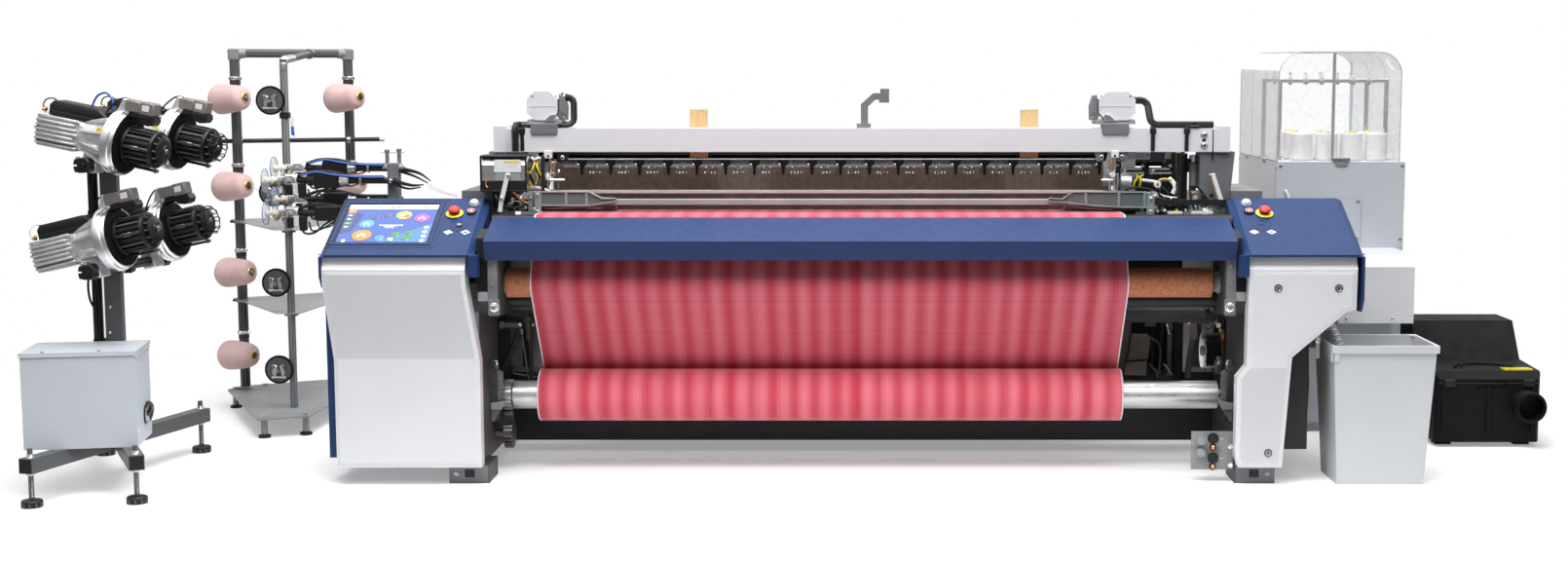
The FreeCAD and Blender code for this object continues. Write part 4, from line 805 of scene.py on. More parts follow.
def display():
    """Plain discs and bars on the screen, and the frames round it."""
    k = slope_kit("left")
    x0, x1, y0, y1 = -1812.0, -1498.0, 70.0, 331.0
    k.box((x0, y0, -3), (x1, y1, -2.2), SCREEN_FIELD, 0.2)
    z = -2.2
    k.prism([(x1 - 190, y0), (x1 - 1, y0), (x1 - 1, y0 + 130)], z, z + 0.2, SCREEN_BRIGHT, "z")
    k.prism([(x0 + 1, y0 + 60), (x0 + 40, y0 + 78), (x0 + 60, y1 - 70), (x0 + 1, y1 - 34)], z, z + 0.2,
            SCREEN_DEEP, "z")
    k.box((x0, y1 - 34, z), (x1, y1 - 3, z + 0.3), SCREEN_WHITE, 0.1)
    for i, (dx, m, w) in enumerate(((98, SCREEN_SKY, 11), (150, SCREEN_PINK, 14), (168, SCREEN_ORANGE, 9),
                                    (176, SCREEN_FIELD, 5), (262, SCREEN_SKY, 9), (276, SCREEN_GREY, 6),
                                    (300, SCREEN_ORANGE, 7))):
        k.box((x0 + dx, y1 - 22 - (i % 2) * 7, z), (x0 + dx + w, y1 - 12 - (i % 2) * 7, z + 0.5), m, 0.1)
    for i, (m, h) in enumerate(((SCREEN_ORANGE, 24), (SCREEN_GREY, 20), (SCREEN_GREY, 20), (SCREEN_GREEN, 16),
                                (SCREEN_GREY, 20))):
        y = y1 - 60 - 26 * i
        k.box((x0 + 2, y, z), (x0 + 30, y + h, z + 0.5), m, 0.3)
        k.box((x0 + 9, y + 6, z + 0.5), (x0 + 20, y + h - 6, z + 0.7), SCREEN_SKY if i == 0 else SCREEN_WHITE,
              0.1)
    k.box((x0 + 4, y0 + 4, z), (x0 + 33, y0 + 24, z + 0.5), SCREEN_GREY, 0.3)
    k.box((x0 + 20, y0 + 6, z + 0.5), (x0 + 32, y0 + 22, z + 0.7), SCREEN_WHITE, 0.1)
    for x, y, r, m in ((-1730, 121, 34, SCREEN_ORANGE), (-1728, 196, 27, SCREEN_SKY),
                       (-1609, 256, 27, SCREEN_LIME), (-1543, 237, 28, SCREEN_PLUM),
                       (-1613, 128, 16, SCREEN_GREEN), (-1567, 138, 16, SCREEN_GREEN),
                       (-1626, 94, 16, SCREEN_GREEN), (-1574, 102, 16, SCREEN_GREEN),
                       (-1704, 245, 15, SCREEN_GREY), (-1664, 261, 16, SCREEN_GREY),
                       (-1665, 103, 17, SCREEN_SKY)):
        disc(k, x, y, z, r * 1.06, 0.4, SCREEN_DEEP)
        disc(k, x, y, z, r, 0.9, m)
        if r > 20:
            for j in range(3):
                k.box((x - r * 0.42 + j * r * 0.3, y - r * 0.35 + (j % 2) * r * 0.3, z + 0.9),
                      (x - r * 0.18 + j * r * 0.3, y + r * 0.10 + (j % 2) * r * 0.3, z + 1.1),
                      SCREEN_WHITE, 0.1)
        elif m is not SCREEN_GREEN:
            k.box((x - r * 0.5, y - 2, z + 0.9), (x + r * 0.5, y + 2, z + 1.1), SCREEN_FIELD, 0.1)
    disc(k, -1598, 248, z + 0.9, 11, 0.3, SCREEN_PINK)
    k.box((-1634, 86, z + 0.9), (-1618, 102, z + 1.2), SCREEN_WHITE, 0.2)
    for i in range(9):                       # rays of a plain star
        a = math.pi * (0.06 + i * 0.11)
        c, s = math.cos(a), math.sin(a)
        far = 34 if i % 2 else 22
        p, q = (-1641 + c * 7, 186 - s * 5), (-1641 + c * far, 186 - s * far * 0.8)
        k.prism([(p[0] - s * 1.2, p[1] - c * 1.2), (q[0], q[1]), (p[0] + s * 1.2, p[1] + c * 1.2)], z, z + 0.4,
                SCREEN_WHITE, "z")
    k.box((-1682, 184, z), (-1600, 190, z + 0.5), SCREEN_WHITE, 0.1)
    k.box((-1664, 174, z), (-1630, 179, z + 0.5), SCREEN_WHITE, 0.1)
    for y, m in ((173, SCREEN_GREY), (143, SCREEN_PINK), (114, SCREEN_GREY), (84, SCREEN_ORANGE)):
        disc(k, -1516, y, z, 11.5, 0.5, SCREEN_GREY)
        disc(k, -1516, y, z + 0.4, 9, 0.5, SCREEN_WHITE)
        k.box((-1519, y - 4, z + 0.8), (-1512, y + 3, z + 1.0), m, 0.1)
    frame_of(k, x0 - 5, x1 + 5, y0 - 5, y1 + 5, 5, -3, 0.6, GASKET)
    k.done("display_picture", slot="screen")
    k = slope_kit("left")
    frame_of(k, -1830, -1478, 52, 348, 13, -2, 2.6, BLUE, 1.2)
    frame_of(k, -1840, -1464, 34, 362, 4, -2, 1.2, GASKET, 0.5)
    k.done("display_bezel", slot="blue_paint")


def console_controls(side, stop_x, button_x):
    """Collars, keys and marks of a console, and the moving heads of its stop and buttons."""
    stop = (stop_x, STOP_UP, 0)
    k = slope_kit(side)
    k.lathe([(4, 12), (4.0, 31), (5.0, 31), (5.4, 30), (5.4, 12)], stop, UP, YELLOW, 48)
    k.lathe([(4, 12.4), (4, 16), (6.6, 15), (6.6, 12.4)], stop, UP, BLACK, 32)
    for up, m in zip(BUTTONS_UP, (BLACK, PURE_WHITE)):
        k.lathe([(-0.5, 9.3), (-0.5, 17.7), (5.4, 17.5), (6, 16.9), (6, 16.3), (3.2, 15.9), (3.2, 9.3)],
                (button_x, up, 0), UP, m, 36)
    mid = (stop_x + button_x) / 2
    for x in (mid - 30, mid + 30):
        for w, z, m in ((17, 0.9, NAVY), (15.4, 1.5, PURE_WHITE)):
            k.prism([(x - w * 1.15, 135 + w * 0.1), (x - w * 0.1, 135 - w), (x + w * 1.15, 135 - w * 0.1),
                     (x + w * 0.1, 135 + w)], -0.4, z, m, "z", c=0.3)
    for a, b in (((mid - 30, 178), (mid, 143)), ((mid, 143), (mid + 30, 176))):
        k.prism(bar_outline(a, b, 1.9), -0.4, 0.8, NAVY, "z")
    if side == "left":
        disc(k, mid, 183, -0.4, 13, 3.4, NAVY)
        disc(k, mid, 183, 2.8, 8, 2.0, DULL_STEEL)
        k.box((mid + 24, 130, 1.5), (mid + 36, 140, 1.8), NAVY, 0.2)
    else:
        arc = [(mid + math.cos(math.radians(a)) * r, 178 + math.sin(math.radians(a)) * r)
               for r, span in ((14, range(20, 161, 14)), (9, range(160, 19, -14))) for a in span]
        k.prism(arc, -0.4, 0.9, NAVY, "z")
        k.box((mid + 23, 131, 1.5), (mid + 37, 139, 1.8), GASKET, 0.2)
    k.done("console_controls_" + side, slot="black_plastic")
    k = slope_kit(side)
    k.turned([(7.8, 11), (14, 11)], stop, UP, BLACK, 24)
    k.lathe([(13.6, 0), (13.6, 19), (15.5, 20.6), (21, 20.4), (25, 17), (27.6, 10), (28.2, 0)],
            stop, UP, RED, 40)
    k.done("stop_head_" + side, "emergency_" + side, "red_plastic")
    for label, up, slot in zip(("stop", "start"), BUTTONS_UP, ("red_plastic", "white_plastic")):
        k = slope_kit(side)
        if label == "stop":
            k.lathe([(-6, 0), (-6, 8.4), (6.4, 8.4), (6.6, 12.6), (8.6, 12.8), (9.2, 11.4), (9.4, 0)],
                    (button_x, up, 0), UP, RED, 32)
            k.ring((button_x, up, 9.2), UP, 12.4, 1.1, PURE_WHITE, 32, 6)
            k.box((button_x - 3.5, up - 3.5, 9.0), (button_x + 3.5, up + 3.5, 9.9), PURE_WHITE, 0.4)
        else:
            k.lathe([(-6, 0), (-6, 8.4), (6.4, 8.4), (6.6, 15), (9, 15.4), (13, 13.5), (16, 9), (17.2, 0)],
                    (button_x, up, 0), UP, PURE_WHITE, 32)
        k.done(f"{label}_cap_{side}", f"{label}_key_{side}", slot)


display()
console_controls("left", -1432.0, -1375.0)
console_controls("right", 1415.0, 1363.0)


def inset_outline(points, d):
    """Outline moved inwards by d."""
    n = len(points)
    area = sum(points[i][0] * points[(i + 1) % n][1] - points[(i + 1) % n][0] * points[i][1] for i in range(n))
    s = 1 if area > 0 else -1
    out = []
    for i in range(n):
        a, b, c = (Vector(points[(i + j) % n]) for j in (-1, 0, 1))
        u, w = (b - a).normalized(), (c - b).normalized()
        nu, nw = Vector((-u.y, u.x)) * s, Vector((-w.y, w.x)) * s
        bis = nu + nw
        out.append(tuple(b + bis * (d / max(0.3, bis.dot(nu)))))
    return out


def split_at(points, z):
    """Outline with points added where it crosses the height z."""
    out = []
    for a, b in zip(points, points[1:] + points[:1]):
        out.append(a)
        if (a[1] - z) * (b[1] - z) < 0:
            t = (z - a[1]) / (b[1] - a[1])
            out.append((a[0] + (b[0] - a[0]) * t, z))
    return out


def cover_panel(outline, crease, front, height, edge, lower, upper):
    """Pressed front of a cover: raised field with sloping margins, folded along its crease."""
    k = Kit()
    outer = split_at(inset_outline(outline, 1.0), crease)
    inner = split_at(inset_outline(outline, 1.0 + edge), crease)
    n = len(outer)
    verts = [(x, front(z) + 0.5, z) for x, z in outer] + [(x, front(z) - height, z) for x, z in inner]
    faces = [(i, (i + 1) % n, n + (i + 1) % n, n + i) for i in range(n)]
    low = [n + i for i, (x, z) in enumerate(inner) if z <= crease + 0.01]
    high = [n + i for i, (x, z) in enumerate(inner) if z >= crease - 0.01]
    k.add(verts, faces, WHITE)
    # The field below the crease takes lower and the one above takes upper; one of them is the white with
    # painted shade.
    for group, m in ((low, lower), (high, upper)):
        start = next((i for i in range(len(group)) if group[i] - group[i - 1] != 1 and i), 0)
        ring = group[start:] + group[:start]
        k.add([verts[i] for i in ring], [tuple(range(len(ring)))], m)
    return k


def cover_front(crease, top_z, top_y):
    """Front plane of a cover by height: upright below its crease, leaning above it."""
    return lambda z: 12.0 + (top_y - 12.0) * max(0, z - crease) / (top_z - 42 - crease)


def cover_panels():
    """Pressed faces of the two covers, and the cam locks of the right one."""
    fi = 1320.0                         # inner face of the side frames
    top = 795 - 44
    left = [(-520, top), (-520, 700), (-492, 440), (-492, 67), (8, 67), (8, 440), (-32, 700), (-32, top)]
    # The left cover's upper field is white with painted shade.
    k = cover_panel([(x - fi, z) for x, z in left], 445, cover_front(445, 795, -12), 3.0, 13,
                    WHITE, WHITE_SHADE)
    k.done("cover_face_left", slot="white_paint", angle=2)
    top = 796 - 44
    right = [(0, top), (0, 420), (-32, 380), (-32, 100), (-20, 67), (130, 67), (156, 450), (336, 606),
             (370, 616), (370, top)]
    face = cover_front(412, 796, -4)
    # The right cover's lower field is white with painted shade.
    k = cover_panel([(fi + x, z) for x, z in right], 412, face, 3.0, 15, WHITE_SHADE, WHITE)
    for x, z in ((1420, 690), (1627, 690), (1401, 117)):
        y = face(z) - 3
        k.turned([(0, 14), (1.2, 14), (1.6, 13)], (x, y, z), TO_FRONT, BLACK, 32)
        k.lathe([(1.2, 0), (1.2, 11), (2.6, 10.6), (3.0, 9.4), (1.9, 8.2), (1.8, 0)], (x, y, z), TO_FRONT,
                DULL_STEEL, 32)
        k.box((x - 1.6, y - 2.8, z - 6), (x + 1.6, y - 2.0, z + 6), DARK, 0.3)
    k.done("cover_face_right", slot="white_paint", angle=2)


cover_panels()


def rail_trim():
    """Seam and end plates along the front rail."""
    k = Kit()
    k.box((-1286, 34, 785.5), (1276, 38, 800), GASKET, 0.5)
    for x in (-1288, 1279):
        k.prism([(20, 787), (2, 850), (190, 916), (196, 905), (120, 850), (60, 800)], x - 1.5,
                x + 1.5, BLUE, "x")
    k.done("rail_trim", slot="blue_paint")


rail_trim()
for node, width in (("console_left", 4.0), ("console_right", 4.0), ("rail_cover", 3.0), ("top_beam", 4.0),
                    ("motor_hood", 8.0), ("control_cabinet", 3.0), ("feeder_box", 5.0), ("roll_brackets", 3.0),
                    ("selvedge_motors", 3.0)):
    soften(node, width)


# ---------------------------------------------------------------- top beam and the works over the cloth
SPRING = surface("bright_clip", (0.72, 0.72, 0.70), 0.22, 1.0, vary=0.05)
LABEL = surface("bare_label_plate", (0.78, 0.78, 0.77), 0.4, vary=0.03, grain=300, depth=0.0)
BRONZE = surface("bronze_levers", (0.34, 0.25, 0.17), 0.4, 0.6, vary=0.15)
BROWN_POST = surface("dusty_post", (0.13, 0.105, 0.085), 0.5, 0.3, vary=0.15)
BEAM_FACE = 390         # y of the top beam's front face


def tee_guides():
    """Guide row hung under the first heald frame's top rail, with its clips."""
    k = Kit()
    clips = ((34, 1069, 5), (44, 1069, 5), (58, 1069, 4), (30, 1050, 6), (42, 1050, 8), (54, 1050, 6),
             (66, 1050, 4))
    for i in range(19):
        x = -1034 + 106.2 * i
        k.prism([(x - 20, 1100), (x + 20, 1100), (x + 18, 1084), (x + 6, 1074), (x + 4, 1044), (x - 4, 1044),
                 (x - 6, 1074), (x - 18, 1084)], 590, 599.4, BLACK, c=1.0)
        k.rod((x - 13, 581, 1080), (x - 13, 599.4, 1080), 5.0, SPRING, 12, 1.0)
        k.rod((x + 44, 586, 1078), (x + 44, 599.4, 1078), 3.4, DULL_STEEL, 10, 0.6)
        for j, (dx, z, w) in enumerate(clips):
            if x + dx < 940:            # the last heddle
                k.box((x + dx - w / 2, 592, z - 4), (x + dx + w / 2, 599, z + 4),
                      SPRING if (i * 7 + j * 3) % 5 else DULL_STEEL, 1.0)
    k.box((-1110, 592, 1096), (930, 599.4, 1103), DULL_STEEL, 1.0)
    k.done("heald_guides", "heald_1", "dark_steel")


def beam_fittings():
    """Screws, ribbed end guard and straps of the top beam."""
    k = Kit()
    for x in (-1241, 1226):
        for z in (1197, 1160):
            k.turned([(0, 13), (1.4, 13), (1.8, 12), (1.8, 8.8), (7, 8.6), (8, 7.4)], (x, BEAM_FACE, z),
                     TO_FRONT, CHROME, 24)
            k.turned([(8, 4.2), (8.3, 4.2)], (x, BEAM_FACE, z), TO_FRONT, BLACK, 6)
    k.turned([(0, 7), (1, 7)], (1226, BEAM_FACE, 1179), TO_FRONT, BLACK, 20)
    for i in range(5):                       # ribbed guard on the left end
        k.box((-1311 + i * 8.2, 402 - (i % 2) * 4, 1118), (-1306 + i * 8.2, 470, 1214 - (i == 0) * 6),
              CAST_LIGHT if i % 2 else DULL_STEEL, 1.5)
    k.box((-1308, 410, 1122), (-1275.5, 466, 1210), CAST, 2)
    k.box((1256, 388, 1107), (1260, 500, 1216), DARK, 1)
    for x, y0 in ((-1217, 384), (1042, 380), (1163, 380)):      # straps round the beam
        k.box((x - 7, y0 + 3, 1140), (x + 7, y0 + 9.6, 1228), BLACK, 2)
        k.box((x - 11, y0 - 1, 1202), (x + 11, y0 + 9, 1224), BLACK, 3)
        k.box((x - 5, y0, 1222), (x + 5, 430, 1229), BLACK, 1.5)
    k.box((1170, 384, 1222.5), (1212, 430, 1233), BLACK, 3)
    k.prism([(1172, 1233), (1214, 1224), (1190, 1246)], 396, 408, BLACK, c=1.5)
    k.done("beam_fittings", slot="white_paint")


def motor_parts():
    """Foot, bracket, clip and cable glands of the two selvedge motors."""
    k = Kit()
    for x0, x1, way in ((-1192, -1084, 1), (843, 973, -1)):
        mid = (x0 + x1) / 2
        k.prism([(mid - 44, 1200), (mid + 44, 1200), (mid + 48, 1206), (mid + 48, 1236), (mid + 52, 1240),
                 (mid - 52, 1240), (mid - 48, 1236), (mid - 48, 1206)], 382, 436, CAST, c=2)
        k.prism([(x0 - 8, 1236), (x1 + 8, 1236), (x1 + 8, 1252), (x0 - 8, 1252)], 404, 500, CAST_LIGHT, c=2)
        side = x1 if way > 0 else x0
        k.prism([(side - way * 2, 1250), (side + way * 22, 1250), (side + way * 24, 1300),
                 (side + way * 12, 1338), (side - way * 2, 1340)], 412, 470, CAST, c=2)
        k.bolt((side + way * 14, 412, 1256), TO_FRONT, 7, CHROME)
        k.turned([(0, 15), (3, 15.4), (6, 14)], (side + way * 8, 410, 1266), TO_FRONT, DULL_STEEL, 24)
        k.prism([(mid - way * 4, 1244), (mid + way * 34, 1244), (mid + way * 44, 1262), (mid + way * 40, 1272),
                 (mid + way * 20, 1268)], 392, 402, CHROME, c=1.2)
        k.box((x0 + 6, 398.4, 1299), (x1 - 6, 399.6, 1300.2), LIGHT_GREY, 0.3)
        for x in (x0 + 12, x1 - 12):
            k.turned([(0, 3.6), (1.2, 3.4)], (x, 400, 1336), TO_FRONT, DULL_STEEL, 12)
    k.turned([(0, 17), (4, 18), (9, 18), (10, 15), (20, 14), (22, 12.4)], (-1083, 452, 1330), RIGHT, BLACK, 28)
    k.ring((-1072, 452, 1330), RIGHT, 16.5, 2.4, CHROME, 28, 8)
    k.turned([(0, 14), (8, 14), (9, 12.5), (16, 12)], (974, 452, 1320), RIGHT, BLACK, 24)
    k.done("motor_parts", slot="grey_casting")


def hanger(k, x, wide, foot, z, r, m):
    """Plate hung from the beam, with a hexagon nut and the end of its screw."""
    k.prism([(x - wide, 1137), (x - 17, foot), (x + 17, foot), (x + wide, 1137)], 398, 408, m, c=1.5)
    k.turned([(0, r), (5, r), (6, r - 1.5)], (x, 398, z), TO_FRONT, SPRING, 6)
    k.turned([(6, 3.6), (6.3, 3.6)], (x, 398, z), TO_FRONT, BLACK, 12)


def catcher(k, x, eye, levers, toes, nut):
    """Small sensor block with its eye, two bronze levers below it and the nut at their toes."""
    k.box((x, 384, eye[2] - 8 + (eye[2] > 1122)), (x + 30 - 3 * (x > 0), 397, 1142), LABEL, 1.5)
    k.turned([(0, 4.6), (0.4, 4.6)], eye, TO_FRONT, BLACK, 20)
    right, left, z = toes
    for ax, az, w in levers:
        k.prism([(ax - w, az), (ax + w, az), (right + w, z), (left - w + 2, z)], 386, 391, BRONZE, c=0.8)
    at, m = nut
    k.turned([(0, 10), (5, 10), (6, 8.5), (6, 4.5), (4, 4.5)], (at, 386, 1055), TO_FRONT, m, 6)


def left_works():
    """Leno and catch gear between the left end of the beam and the cloth."""
    k = Kit()
    k.box((-1351, 291, 1124), (-1186, 380, 1129), BLACK, 1.5)
    for x0, z0, x1, z1 in ((-1351, 1000, -1186, 1006), (-1351, 1122, -1186, 1128), (-1351, 1006, -1345, 1122),
                           (-1192, 1006, -1186, 1122)):
        k.box((x0, 284, z0), (x1, 289.5, z1), BLACK)
    k.box((-1345, 286.5, 1003), (-1192, 289.6, 1040), BLACK, 1)
    k.box((-1301, 284.6, 1070), (-1206, 288.2, 1114), LABEL, 0.4)
    k.box((-1266, 284.0, 1103), (-1212, 284.7, 1109), YELLOW, 0.1)
    for z in (1096, 1088, 1080):
        k.box((-1250, 284.2, z), (-1216, 284.7, z + 1.6), LIGHT_GREY, 0.1)
    k.prism([(-1302, 1040), (-1206, 1040), (-1210, 1066), (-1294, 1066)], 285.6, 289.6, CAST_LIGHT)
    k.tube([(-1330, 286, 1040), (-1330, 283, 1024), (-1324, 282, 1016)], 2.2, COPPER, 8, 4)
    for a, b, y in (((-1249, 1066), (-1275, 970), 268), ((-1275, 970), (-1281, 930), 270)):
        k.prism(bar_outline(a, b, 7.5), y, y + 9, LABEL, c=1.2)
    k.bolt((-1249, 268, 1058), TO_FRONT, 4, DULL_STEEL)
    k.bolt((-1273, 268, 978), TO_FRONT, 4.5, CHROME)
    for pts in (
        ((-1186, 372, 1108), (-1172, 350, 1100), (-1178, 340, 1080), (-1188, 344, 1062), (-1178, 350, 1040),
         (-1170, 352, 1022)),
        ((-1150, 372, 1106), (-1164, 352, 1098), (-1158, 342, 1076), (-1150, 346, 1056), (-1160, 352, 1034)),
    ):
        k.tube(pts, 5.0, BLACK, 10, 5)
        k.tube([(x + 5, y - 6, z) for x, y, z in pts[:4]], 2.6, YELLOW, 8, 5)
        k.tube([(x - 6, y - 5, z - 10) for x, y, z in pts[2:]], 2.2, YELLOW, 8, 5)
    k.tube([(-1180, 366, 1118), (-1168, 346, 1112), (-1150, 350, 1118), (-1148, 372, 1104)], 4.2, LABEL, 8, 5)
    k.box((-1196, 352, 1006), (-1188, 380, 1130), BLACK, 2)
    k.box((-1146, 356, 1000), (-1136, 380, 1126), DARK, 2)
    for x in (-1143, -1075):
        hanger(k, x, 21, 1100, 1116, 8, DARK)
    catcher(k, -1140, (-1125, 384, 1122), ((-1119, 1112, 3.4), (-1100, 1110, 3.0)), (-1108, -1112, 1054),
            (-1108, BRONZE))
    k.rod((-1136, 384, 1037), (-1066, 384, 1037), 4.2, CHROME, 14, 1.0)
    k.rod((-1128, 384, 1064), (-1128, 384, 1000), 5.2, CHROME, 14, 1.0)
    k.turned([(0, 8.5), (4, 9.5), (18, 9.5), (22, 8)], (-1128, 384, 1038), UP, LABEL, 20)
    k.rod((-1090, 388, 1062), (-1090, 388, 1006), 3.4, DULL_STEEL, 10, 0.6)
    k.ball((-1087, 384, 1069), 6, CHROME, 14)
    k.tube([(-1206, 372, 1000), (-1180, 366, 1010), (-1150, 366, 1008), (-1118, 374, 996)], 8.5, LABEL, 14, 6,
           taper=lambda t: 1 - 0.55 * t)
    k.turned([(0, 7), (8, 7), (9, 5.5)], (-1226, 330, 984), (0, -1, 0.3), CHROME, 16)
    k.tube([(-1240, 300, 1000), (-1232, 312, 990), (-1214, 330, 968), (-1190, 346, 955)], 4, BRASS, 8, 5)
    k.tube([(-1300, 300, 1000), (-1292, 282, 975), (-1270, 290, 950), (-1240, 312, 944), (-1205, 330, 946)],
           4.5, RUBBER, 8, 6)
    for x, z1, w, m in ((-1219, 968, 11, CAST), (-1186, 986, 9, CAST_LIGHT), (-1158, 996, 11, CAST_LIGHT),
                        (-1262, 962, 6, DARK)):
        k.box((x - w, 352, 926), (x + w, 381, z1), m, 2)
        k.bolt((x, 352, z1 - 12), TO_FRONT, 4.5, CHROME)
    k.box((-1262, 356, 926), (-1140, 380, 950), DARK, 2)
    for x, z in ((-1250, 958), (-1240, 940), (-1203, 940), (-1172, 934), (-1248, 972)):
        k.turned([(0, 6.5), (9, 6), (10, 5)], (x, 350, z), TO_FRONT, CHROME, 14)
    k.rod((-1262, 346, 966), (-1212, 346, 960), 3.4, CHROME, 10, 0.6)
    k.done("left_works", slot="steel")


def right_works():
    """Leno, catch and stretch gear between the cloth and the right end of the beam."""
    k = Kit()
    for x in (860, 933):
        hanger(k, x, 24, 1102, 1118, 8.5, CAST)
    catcher(k, 894, (907, 384, 1123), ((888, 1112, 3.2), (907, 1112, 3.6)), (902, 896, 1056), (900, LABEL))
    k.rod((858, 384, 1036), (900, 384, 1036), 4.2, CHROME, 14, 1.0)
    for x, z1, r in ((889, 1060, 5.0), (905, 1070, 4.0), (918, 1060, 3.4)):
        k.rod((x, 388, z1), (x, 388, 1002), r, CHROME, 14, 1.0)
    k.box((956, 512, 1104), (1052, 520, 1132), LABEL, 0.8)
    k.box((1000, 511, 1112), (1030, 512.4, 1128), LIGHT_GREY, 0.2)
    k.turned([(0, 3.5), (0.6, 3.5)], (1043, 512, 1122), TO_FRONT, BLACK, 12)
    k.box((1108, 512, 1106), (1128, 520, 1134), LABEL, 0.8)
    for x0, x1 in ((941, 1026), (1045, 1127)):                 # heald end levers
        for z in (1072, 1057):
            k.box((x0 + (z > 1060) * 6, 470, z - 4), (x1 - (z > 1060) * 8, 482, z + 4), SPRING, 2)
        k.box((x0 - 2, 474, 1060), (x0 + 10, 486, 1072), DULL_STEEL, 2)
        k.box((x0 + 20, 476, 1061), (x1 - 20, 484, 1068), BLACK, 1)
        k.bolt((x0 + 12, 470, 1064), TO_FRONT, 4, CHROME)
        k.rod((x1 - 6, 470, 1082), (x1 - 6, 492, 1082), 5, SPRING, 12, 0.8)
    k.lathe([(0, 0), (0, 22), (4, 25), (26, 26), (40, 24), (42, 0)], (932, 432, 1030), (1, 0, -0.04),
            CAST_ALU, 36)
    k.rod((972, 432, 1028), (1050, 432, 1022), 15, BLACK, 24, 2)
    for x, tilt in ((987, 6), (1008, -6)):
        k.tube([(x - 8, 420, 1006), (x - 4, 412, 1028), (x + tilt, 412, 1046), (x + 6, 424, 1052)], 3.4,
               YELLOW, 8, 5)
    k.rod((1000, 420, 1036), (1060, 420, 1028), 6, LABEL, 14, 1)
    for profile, m, n in (([(0, 13), (6, 14), (12, 12)], LABEL, 24), ([(12, 5), (14, 5)], BRASS, 16)):
        k.turned(profile, (1064, 412, 1020), TO_FRONT, m, n)
    for i in range(6):
        k.box((1082 + i * 7, 424, 1000), (1087 + i * 7, 450, 1030), DARK, 1)
    k.box((1078, 450, 996), (1128, 470, 1034), CAST, 2)
    k.tube([(1108, 420, 1040), (1122, 408, 1024), (1128, 404, 1006), (1120, 404, 986)], 9, LABEL, 14, 6)
    k.tube([(1070, 410, 1036), (1092, 404, 1040), (1120, 406, 1034)], 3, YELLOW, 8, 5)
    for x0, x1, z0, z1, y, m in ((1150, 1168, 956, 1130, 520, BROWN_POST), (1191, 1214, 990, 1122, 470, CAST),
                                 (1172, 1184, 930, 1128, 480, DARK), (1234, 1262, 930, 1110, 464, CAST),
                                 (1180, 1200, 1060, 1110, 455, BLACK), (1218, 1230, 1000, 1134, 490, DARK)):
        k.box((x0, y, z0), (x1, y + 26, z1), m, 3)
    k.rod((1203, 462, 1124), (1203, 462, 1096), 13, CHROME, 24, 2)
    k.rod((1202, 458, 1096), (1202, 458, 1010), 16, CAST, 24, 3)
    k.rod((1190, 452, 986), (1244, 452, 982), 10, BRONZE, 18, 2)
    for x in (1194, 1210, 1222):
        k.rod((x, 446, 980), (x - 6, 440, 926), 4, LABEL if x == 1210 else DULL_STEEL, 10, 0.6)
    for a, b, w, m in (((1254, 1060), (1289, 962), 8, LABEL), ((1245, 1058), (1278, 962), 3, BRONZE),
                       ((1288, 962), (1300, 925), 8, CAST)):
        k.prism(bar_outline(a, b, w), 366, 374, m, c=1.0)
    k.bolt((1252, 366, 982), TO_FRONT, 6, BLACK)
    for pts, r, m in ((((940, 380, 996), (962, 376, 1008), (1000, 374, 1010), (1042, 376, 1000),
                        (1076, 374, 978), (1092, 370, 964)), 4.2, RUBBER),
                      (((1000, 372, 955), (1040, 362, 972), (1090, 360, 966), (1140, 364, 942),
                        (1158, 370, 930)), 5.0, RUBBER),
                      (((1132, 398, 1024), (1134, 388, 996), (1126, 384, 964), (1132, 384, 940)), 4.6, RUBBER),
                      (((1080, 400, 1010), (1100, 392, 990), (1092, 388, 965)), 4.0, RUBBER),
                      (((1180, 400, 1000), (1184, 392, 965), (1196, 388, 930)), 4.0, RUBBER),
                      (((1060, 384, 990), (1090, 376, 978), (1130, 376, 974)), 3.0, LABEL)):
        k.tube(pts, r, m, 10, 6)
    for x, z, r, m in ((1104, 952, 8, LABEL), (1118, 962, 6, CHROME), (1132, 958, 6, YELLOW),
                       (1146, 940, 5, BLUE_PLASTIC), (1130, 928, 7, YELLOW), (1086, 928, 8, CHROME),
                       (1060, 926, 7, LABEL), (1160, 930, 8, LABEL), (1238, 940, 8, CHROME),
                       (1252, 932, 6, LABEL), (1108, 972, 7, CHROME)):
        k.ball((x, 372, z), r, m, 14)
    for x0, x1 in ((1096, 1150), (1180, 1260), (980, 1040)):
        k.box((x0, 362, 915), (x1, 396, 925), LABEL if x0 > 1000 else DULL_STEEL, 2)
    for x0, x1, z1, m in ((1000, 1012, 962, LABEL), (1014, 1030, 966, BLACK), (1032, 1042, 962, DULL_STEEL),
                          (1052, 1064, 950, DARK), (1072, 1084, 962, CAST), (1144, 1172, 966, DARK)):
        k.box((x0, 366, 924), (x1, 381, z1), m, 2)
    k.done("right_works", slot="steel")


